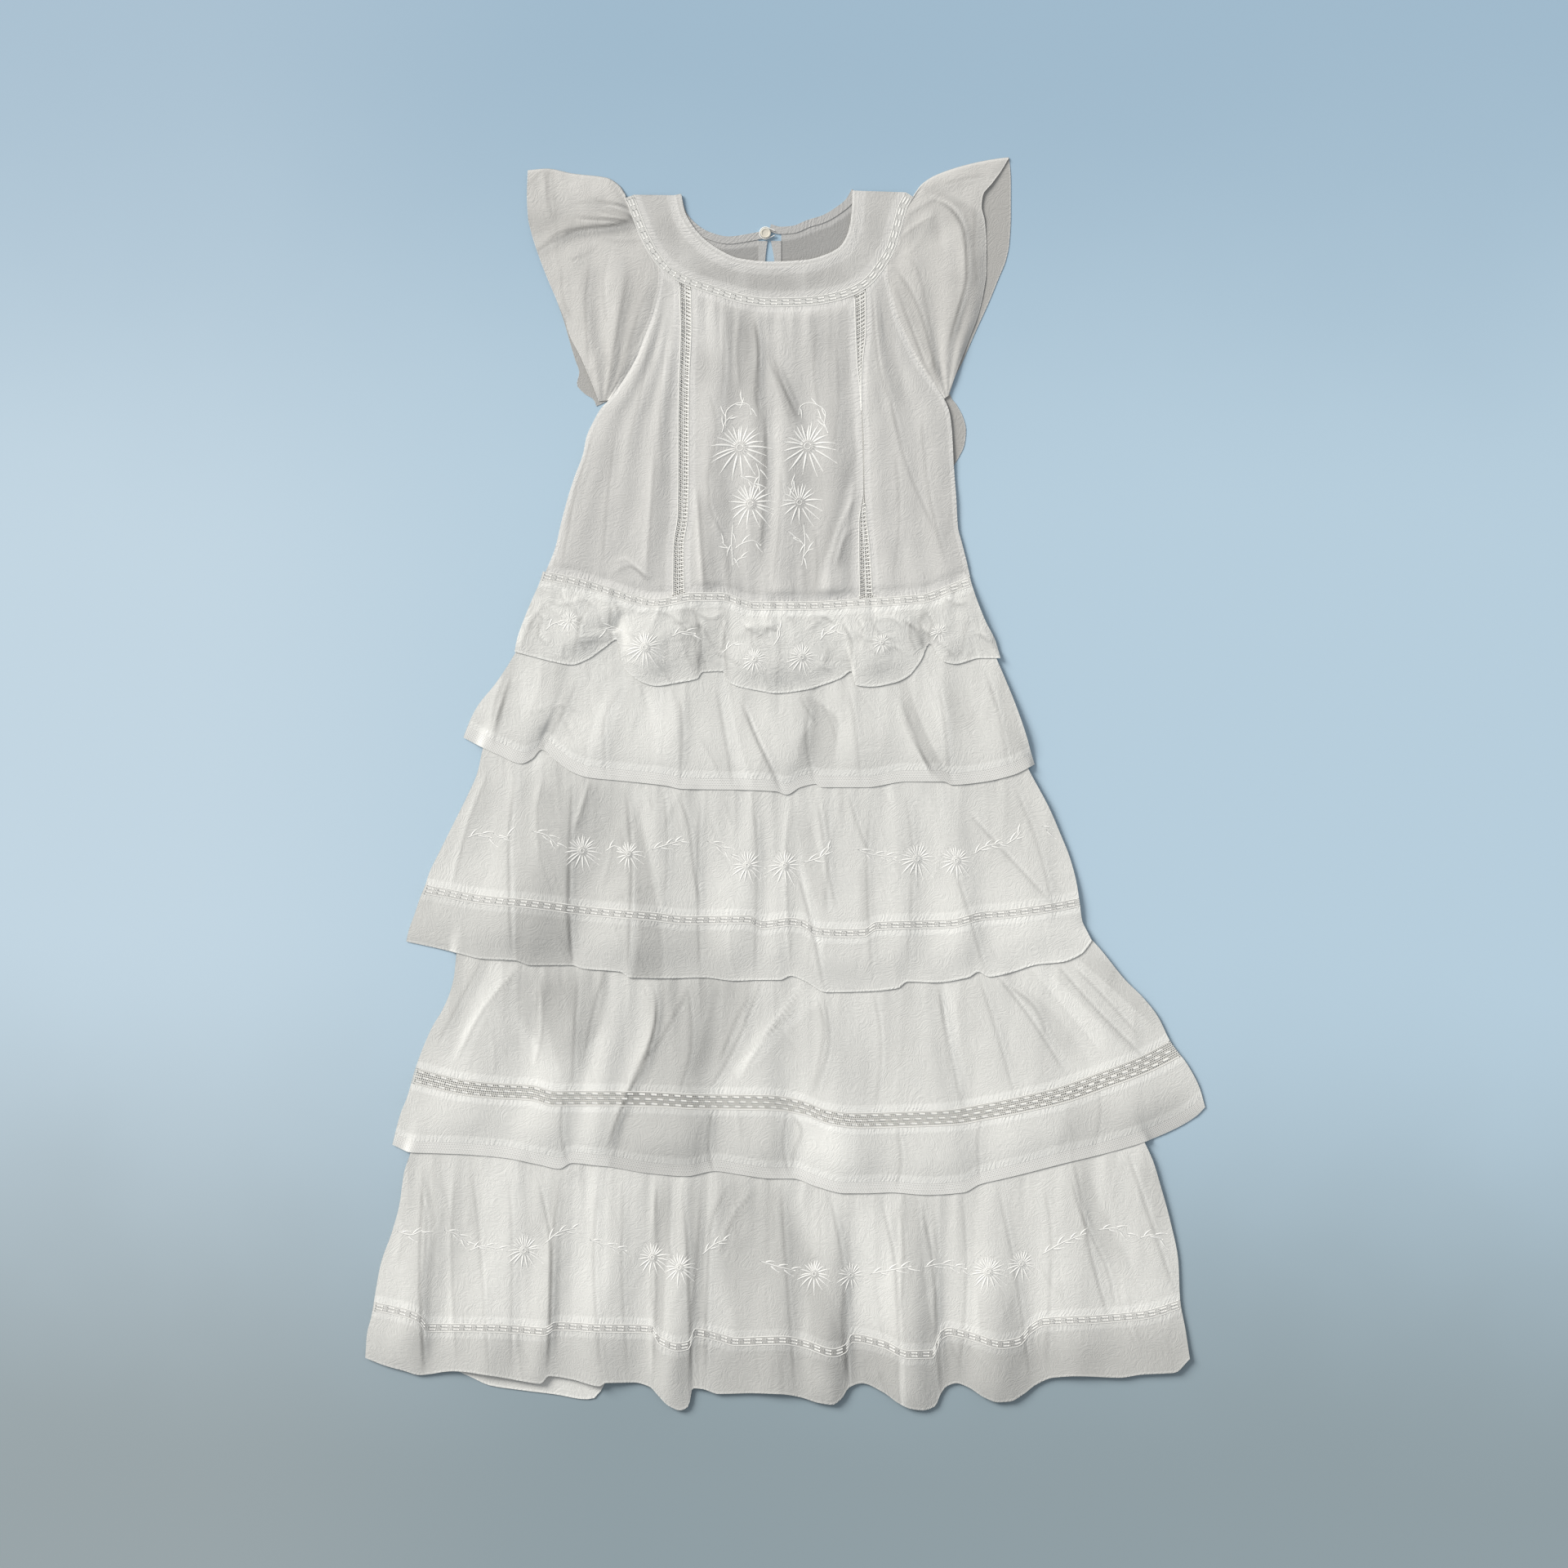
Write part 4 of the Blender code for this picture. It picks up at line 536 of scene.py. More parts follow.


# Creases listed one by one: height in millimetres (below 0 is a trough), width of the narrow flank's
# curve in pixels, lean (1: the wide flank lies to the left of a line that runs down, -1: to the
# right, 0: even), then the column and row of each of the curve's points
CREASES = {
    "tier1": [
        (2.2, 5, 1, 752, 738, 750, 765, 757, 800), (1.6, 5, 1, 852, 742, 861, 780, 857, 835),
        (1.4, 5, -1, 889, 750, 884, 790, 889, 838), (2, 5, 1, 1030, 755, 1046, 790, 1043, 836),
        (1.8, 5, 1, 1104, 755, 1130, 775, 1137, 800), (1.2, 5, 1, 700, 730, 712, 760, 704, 812),
        (1.3, 6, 0, 700, 780, 730, 777, 757, 781), (1, 5, 1, 950, 752, 958, 800, 952, 850),
        (1, 5, 1, 1066, 750, 1078, 772, 1100, 784), (-0.9, 4, 0, 735, 748, 742, 770, 760, 777),
        (1.2, 5, 1, 1140, 748, 1130, 765, 1140, 778), (0.9, 4, 0, 820, 748, 842, 768, 860, 790),
        (1, 4, 0, 640, 770, 655, 750, 665, 735), (-0.8, 4, 0, 700, 765, 715, 745, 722, 730),
        (1, 5, 1, 1190, 750, 1184, 780, 1178, 812), (0.8, 4, 0, 905, 770, 935, 764, 960, 772),
        (1.2, 3, 0, 665, 730, 690, 738, 715, 732, 735, 745),
        (1.2, 3, 0, 655, 745, 668, 758, 662, 775, 675, 790), (1.1, 3, 0, 720, 745, 712, 775, 722, 800),
        (1.2, 3, 0, 700, 785, 735, 782, 757, 785), (1.1, 3, 0, 775, 750, 800, 745, 830, 755),
        (1.2, 3, 0, 850, 745, 870, 755, 890, 748), (1.2, 3, 0, 860, 760, 855, 790, 862, 820),
        (1.2, 3, 0, 885, 752, 890, 780, 882, 812), (1.1, 3, 0, 905, 758, 925, 770, 955, 762),
        (1.2, 3, 0, 980, 760, 1005, 752, 1030, 765), (1.2, 3, 0, 1050, 752, 1060, 775, 1048, 800),
        (1.1, 3, 0, 1065, 760, 1090, 755, 1110, 768), (1.2, 3, 0, 1075, 800, 1095, 790, 1110, 800),
        (1.2, 3, 0, 1120, 755, 1118, 780, 1128, 800), (1.2, 3, 0, 1135, 745, 1145, 765, 1138, 790),
    ],
    "tier2": [
        (1.3, 6, 1, 835, 845, 838, 900, 835, 972), (1.2, 6, 1, 878, 832, 890, 900, 902, 972),
        (1.6, 6, 1, 906, 850, 930, 905, 964, 980), (1.2, 6, -1, 1096, 850, 1120, 910, 1143, 962),
        (1.1, 6, 1, 1150, 825, 1160, 890, 1167, 965), (1.1, 6, 1, 712, 830, 690, 880, 654, 936),
        (1, 6, 1, 770, 835, 742, 890, 745, 960), (1.2, 6, 1, 995, 850, 990, 905, 1001, 966),
        (0.9, 7, 0, 640, 872, 690, 862, 720, 878), (0.9, 6, 1, 1040, 835, 1050, 890, 1058, 968),
        (1, 6, 1, 1205, 810, 1225, 870, 1240, 952), (1, 6, -1, 620, 845, 606, 880, 600, 918),
        (1.1, 3, 1, 912, 860, 930, 905, 960, 962), (1.2, 3, 1, 980, 850, 1003, 885),
        (1.1, 3, 1, 1100, 850, 1118, 900, 1150, 950), (1.2, 3, -1, 625, 825, 612, 860, 603, 898),
    ],
    "tier3": [
        (1.6, 6, 1, 634, 950, 626, 1040, 630, 1185), (2, 6, 1, 704, 945, 700, 1060, 703, 1190),
        (1.7, 7, 1, 768, 955, 776, 1060, 771, 1205), (1.4, 6, 1, 862, 962, 857, 1060, 860, 1205),
        (1.4, 5, 1, 975, 1050, 998, 1140, 1014, 1222), (1.3, 5, 1, 1160, 1030, 1188, 1115, 1212, 1202),
        (1.2, 6, 1, 1180, 985, 1235, 1045, 1295, 1110), (1.2, 6, 1, 925, 962, 930, 1050, 927, 1210),
        (1.1, 6, -1, 968, 965, 960, 1050, 967, 1205), (1.1, 6, 1, 1070, 970, 1064, 1060, 1072, 1215),
        (1, 6, 1, 1110, 960, 1120, 1050, 1112, 1210), (1.1, 6, -1, 600, 935, 570, 1010, 548, 1100),
        (1, 6, 1, 1010, 965, 1018, 1030, 1012, 1130), (1, 6, 1, 1240, 950, 1275, 1040, 1296, 1130),
        (0.9, 6, 1, 815, 960, 820, 1040, 815, 1120), (0.9, 6, -1, 665, 945, 655, 1000, 660, 1060),
        (1.5, 3, -1, 722, 950, 712, 985, 700, 1020), (1.4, 3, 1, 830, 965, 846, 1010, 852, 1060, 862, 1118),
        (1.1, 3, 1, 1002, 968, 1010, 1020, 1022, 1090, 1030, 1120),
        (1.1, 3, 1, 1040, 965, 1053, 1010, 1068, 1045), (1.2, 3, 1, 700, 1040, 698, 1110, 704, 1182),
    ],
    "tier4": [
        (2.4, 6, 1, 798, 1190, 807, 1232, 795, 1300, 765, 1355, 742, 1436),
        (1.3, 6, 1, 712, 1180, 707, 1250, 703, 1345), (1.2, 6, 1, 747, 1185, 730, 1235, 716, 1310),
        (1.6, 6, 1, 938, 1195, 904, 1280, 864, 1348), (1.4, 6, -1, 988, 1200, 940, 1262, 898, 1330),
        (1.3, 6, 1, 1010, 1205, 1018, 1270, 998, 1350), (1.3, 6, 1, 1148, 1190, 1165, 1280, 1182, 1365),
        (1.2, 6, 1, 1198, 1185, 1222, 1260, 1247, 1350), (1.3, 6, 1, 1212, 1180, 1260, 1240, 1310, 1318),
        (1.3, 6, 1, 1288, 1170, 1345, 1235, 1412, 1302), (1.4, 6, -1, 644, 1172, 590, 1235, 552, 1308),
        (1.2, 6, 1, 600, 1165, 570, 1220, 532, 1290), (1.1, 6, 1, 845, 1200, 850, 1270, 832, 1350),
        (1, 6, 1, 1070, 1200, 1082, 1280, 1074, 1370), (1.4, 6, 1, 876, 1350, 870, 1400, 877, 1440),
        (1.3, 6, 1, 968, 1350, 962, 1400, 970, 1446), (1.2, 6, 1, 696, 1330, 690, 1380, 699, 1430),
        (1.2, 6, 1, 1100, 1368, 1106, 1420, 1099, 1464), (1.2, 6, 1, 1208, 1350, 1200, 1400, 1202, 1452),
        (1, 6, 1, 1345, 1310, 1350, 1360, 1342, 1416), (1, 7, -1, 660, 1190, 662, 1250, 650, 1320),
        (2.2, 3, 1, 804, 1200, 806, 1240, 795, 1290, 772, 1340, 752, 1390, 742, 1430),
        (1.3, 3, 1, 850, 1205, 826, 1250, 805, 1285, 780, 1310),
        (1.2, 3, 1, 925, 1215, 905, 1250, 880, 1310), (1.1, 3, 1, 985, 1235, 945, 1265, 900, 1310),
        (1.1, 3, 1, 1003, 1215, 1012, 1260, 1005, 1310, 996, 1345),
        (1.1, 3, 1, 1152, 1205, 1160, 1260, 1168, 1330), (1.1, 3, 1, 1225, 1198, 1268, 1230, 1290, 1280),
        (1.1, 3, 1, 1310, 1175, 1350, 1215, 1400, 1270),
        (1.2, 3, 1, 965, 1355, 985, 1385, 975, 1415, 970, 1445),
    ],
    "tier5": [
        (1.7, 6, 1, 522, 1420, 517, 1560, 523, 1695), (1.8, 6, 1, 658, 1425, 678, 1540, 674, 1695),
        (1.4, 6, 1, 908, 1432, 872, 1510, 866, 1705), (1.7, 6, 1, 1016, 1448, 1036, 1560, 1042, 1705),
        (1.3, 6, 1, 1078, 1452, 1100, 1560, 1106, 1710), (1.7, 6, 1, 1128, 1455, 1146, 1560, 1156, 1710),
        (1.5, 6, 1, 1318, 1415, 1335, 1520, 1364, 1630), (1.4, 6, 1, 1378, 1395, 1410, 1490, 1444, 1590),
        (1.3, 6, -1, 800, 1432, 800, 1560, 796, 1705), (1.9, 6, 1, 838, 1440, 846, 1560, 850, 1715),
        (1.2, 6, 1, 738, 1422, 730, 1540, 740, 1700), (1.1, 6, 1, 578, 1410, 590, 1520, 602, 1690),
        (1.2, 6, 1, 958, 1440, 966, 1560, 977, 1712), (1.3, 6, 1, 1222, 1440, 1246, 1560, 1266, 1700),
        (1.1, 6, 1, 1180, 1450, 1186, 1560, 1176, 1700), (1, 6, 1, 624, 1420, 630, 1530, 628, 1690),
        (1, 6, 1, 768, 1430, 764, 1540, 772, 1695), (1, 6, 1, 1278, 1430, 1290, 1520, 1284, 1690),
        (1, 6, -1, 556, 1415, 550, 1520, 556, 1680), (1.2, 3, 1, 515, 1440, 525, 1500, 520, 1600, 522, 1690),
        (1.4, 3, 1, 690, 1440, 680, 1520, 676, 1620, 672, 1690),
        (1.2, 3, 1, 808, 1445, 802, 1520, 800, 1620), (1.1, 3, 1, 825, 1445, 822, 1520, 830, 1560),
        (1.3, 3, 1, 862, 1440, 858, 1520, 850, 1625, 848, 1710),
        (1.2, 3, -1, 925, 1450, 895, 1490, 875, 1540), (1.4, 3, 1, 1040, 1560, 1034, 1610, 1042, 1700),
        (1.1, 3, 1, 1105, 1465, 1110, 1540, 1104, 1620),
        (1.2, 3, 1, 1146, 1465, 1150, 1540, 1148, 1620, 1156, 1710),
        (1.3, 3, 1, 1310, 1425, 1325, 1480, 1360, 1560, 1370, 1610),
    ],
    "bodice": [
        (1.2, 5, 1, 735, 515, 704, 620, 688, 712), (1.1, 5, 1, 757, 520, 746, 620, 740, 700),
        (1.1, 5, -1, 800, 545, 794, 630, 788, 715), (1.6, 6, 0, 745, 702, 770, 690, 800, 712),
        (0.9, 5, 1, 802, 400, 790, 470, 770, 560), (0.9, 5, 1, 818, 400, 812, 500, 816, 600),
        (1.4, 4, 1, 925, 380, 932, 440, 930, 505), (1.6, 4, 1, 937, 490, 942, 560, 935, 700),
        (1.3, 5, 1, 948, 430, 965, 480, 982, 520), (1.2, 4, 1, 893, 655, 896, 690, 898, 735),
        (1.7, 5, -1, 851, 590, 856, 670, 861, 735), (1, 5, 1, 888, 385, 890, 440, 884, 500),
        (0.9, 6, 1, 868, 470, 880, 520, 868, 600), (1, 5, 1, 960, 560, 958, 640, 950, 720),
        (1.2, 5, 1, 1070, 352, 1078, 440, 1092, 495), (1.1, 5, 1, 1090, 480, 1110, 560, 1152, 660),
        (1.1, 5, -1, 1047, 580, 1036, 640, 1018, 705), (1, 5, 1, 1130, 500, 1140, 600, 1165, 705),
        (1, 6, 1, 1098, 540, 1104, 630, 1096, 720), (0.9, 5, 1, 1026, 400, 1030, 480, 1024, 560),
        (0.8, 5, 1, 1000, 640, 1004, 690, 998, 735), (0.9, 5, 1, 1004, 390, 1000, 450, 1010, 520),
        (1.2, 3, 0, 748, 690, 765, 684, 785, 697, 805, 710),
        (1.2, 3, 1, 1075, 350, 1082, 430, 1096, 500, 1112, 560),
        (1.2, 3, 1, 927, 385, 932, 430, 928, 480, 938, 520), (1.3, 3, 1, 940, 520, 938, 600, 934, 690),
        (1, 3, -1, 905, 380, 900, 430, 903, 480), (1, 3, 1, 945, 440, 965, 480, 985, 515),
        (1, 3, 1, 868, 560, 872, 620, 890, 660, 894, 725), (1.1, 3, -1, 1050, 600, 1030, 640, 1012, 700),
        (1, 3, -1, 1045, 640, 1028, 670, 1024, 695),
    ],
    "sleeve_left": [
        (2.4, 5, -1, 640, 322, 680, 297, 712, 284, 745, 280, 786, 268),
        (0.9, 4, -1, 712, 244, 745, 251, 785, 262), (0.8, 4, -1, 725, 258, 750, 265, 785, 270),
        (0.8, 4, -1, 700, 250, 740, 252, 775, 255), (0.9, 5, 1, 674, 202, 673, 235, 679, 268),
        (0.8, 4, -1, 640, 236, 655, 222, 672, 204), (0.8, 5, 1, 690, 322, 692, 360, 704, 392),
        (1.2, 5, 1, 727, 310, 720, 370, 724, 450), (1, 5, 1, 776, 320, 760, 400, 744, 498),
        (0.9, 5, 1, 800, 340, 782, 395, 758, 470), (0.8, 5, 1, 750, 300, 742, 350, 746, 400),
        (0.8, 4, -1, 690, 322, 712, 318, 736, 302), (0.7, 4, 0, 735, 288, 760, 292, 790, 290),
        (3, 4, -1, 662, 304, 690, 287, 720, 281, 750, 279, 788, 271),
        (1.6, 3, -1, 700, 268, 730, 271, 760, 272, 788, 268), (1, 3, 0, 730, 262, 755, 266, 785, 270),
        (1, 3, 0, 740, 250, 765, 257, 785, 266), (1, 3, 0, 752, 244, 770, 252, 785, 262),
    ],
    "sleeve_right": [
        (1.6, 6, 1, 1128, 238, 1160, 248, 1184, 285, 1187, 340, 1172, 395, 1158, 450),
        (0.9, 4, 1, 1098, 292, 1120, 275, 1145, 260),
        (0.9, 4, 1, 1100, 305, 1122, 320, 1142, 400, 1152, 480),
        (0.9, 5, 1, 1096, 330, 1112, 380, 1140, 460), (0.9, 5, -1, 1150, 230, 1180, 222, 1210, 216),
        (0.8, 4, 0, 1108, 262, 1128, 250, 1150, 238), (0.9, 5, 1, 1198, 240, 1196, 300, 1200, 360),
        (2.2, 4, 1, 1128, 236, 1162, 250, 1183, 283, 1187, 330, 1178, 375, 1163, 430),
        (1.6, 3, 1, 1094, 322, 1116, 352, 1136, 402, 1152, 470),
        (1, 3, 1, 1092, 330, 1110, 380, 1130, 430, 1150, 475),
    ],
}
# Gathers below a seam: how many, their height in millimetres and their reach as a share of the depth
TIER_GATHERS = {1: (34, 1.5, 0.45), 2: (26, 1.3, 0.75), 3: (34, 1.3, 0.5), 4: (36, 1.4, 0.55),
                5: (44, 1.4, 0.6)}
TIER_CRUMPLE = {1: 0.55, 2: 0.28, 3: 0.25, 4: 0.22, 5: 0.25}

# Embroidered daisies: centre column and row, petal reach in pixels and number of petals
FLOWERS = {
    "bodice": [
        (906, 548, 37, 20), (919, 617, 31, 19), (989, 546, 36, 19), (979, 615, 28, 17),
    ],
    "tier1": [
        (790, 793, 25, 22), (924, 808, 18, 20), (982, 805, 21, 20), (697, 760, 15, 14), (1080, 787, 15, 14),
        (1150, 774, 13, 14),
    ],
    "tier3": [
        (713, 1042, 24, 20), (770, 1046, 19, 16), (915, 1060, 23, 18), (961, 1060, 23, 18),
        (1123, 1052, 24, 20), (1171, 1054, 23, 20),
    ],
    "tier5": [
        (642, 1531, 24, 20), (799, 1540, 22, 18), (832, 1552, 22, 18), (997, 1560, 22, 18),
        (1042, 1562, 20, 16), (1210, 1557, 24, 22), (1251, 1548, 20, 18),
    ],
}
# Sprigs: number of leaves, the last of which closes the end, then the column and row of each stem point
SPRIGS = {
    "bodice": [
        (3, 889, 522, 889, 506, 896, 497, 907, 493, 918, 497, 920, 508), (1, 906, 500, 909, 494, 911, 487),
        (2, 884, 530, 889, 516, 898, 508), (3, 905, 582, 916, 588, 926, 596),
        (3, 926, 566, 930, 582, 927, 600), (3, 898, 640, 896, 664, 898, 692),
        (2, 900, 672, 908, 666, 922, 662, 932, 668), (2, 896, 674, 888, 668, 883, 662),
        (1, 900, 690, 906, 684, 914, 682),
        (3, 1009, 522, 1011, 506, 1003, 497, 991, 493, 980, 498, 978, 508),
        (2, 1014, 530, 1008, 516, 1000, 508), (2, 974, 580, 970, 592, 972, 602),
        (3, 984, 640, 986, 664, 982, 692), (2, 985, 668, 978, 660, 970, 658),
        (1, 984, 682, 990, 674, 996, 672),
    ],
    "tier1": [
        (4, 822, 780, 836, 774, 852, 776), (3, 762, 772, 750, 768, 738, 772),
        (4, 1004, 784, 1014, 774, 1026, 772), (4, 1186, 766, 1202, 762, 1218, 766),
        (2, 884, 800, 896, 790, 904, 786), (2, 948, 790, 955, 776, 952, 764),
        (2, 668, 772, 678, 764, 686, 762),
    ],
    "tier3": [
        (4, 572, 1026, 587, 1021, 602, 1026), (3, 604, 1020, 614, 1026, 626, 1022),
        (5, 652, 1018, 668, 1022, 684, 1036), (2, 742, 1042, 752, 1036, 760, 1038),
        (6, 798, 1040, 818, 1034, 838, 1028), (5, 866, 1030, 884, 1038, 898, 1050),
        (5, 984, 1056, 1004, 1050, 1018, 1036), (6, 1050, 1040, 1066, 1046, 1098, 1050),
        (6, 1192, 1046, 1208, 1036, 1228, 1032), (4, 1272, 1010, 1284, 1016, 1298, 1014),
        (3, 1232, 1034, 1244, 1026, 1250, 1018),
    ],
    "tier5": [
        (4, 486, 1508, 503, 1512, 518, 1506), (5, 544, 1506, 560, 1512, 574, 1524),
        (5, 574, 1532, 590, 1526, 616, 1530), (5, 668, 1522, 686, 1508, 706, 1504),
        (6, 722, 1518, 740, 1524, 768, 1532), (5, 860, 1536, 878, 1522, 890, 1518),
        (5, 930, 1544, 950, 1550, 974, 1556), (6, 1066, 1560, 1086, 1556, 1116, 1550),
        (6, 1130, 1552, 1150, 1548, 1184, 1554), (7, 1276, 1536, 1300, 1522, 1330, 1510),
        (5, 1344, 1506, 1364, 1504, 1384, 1514), (4, 1396, 1516, 1410, 1512, 1424, 1518),
    ],
}
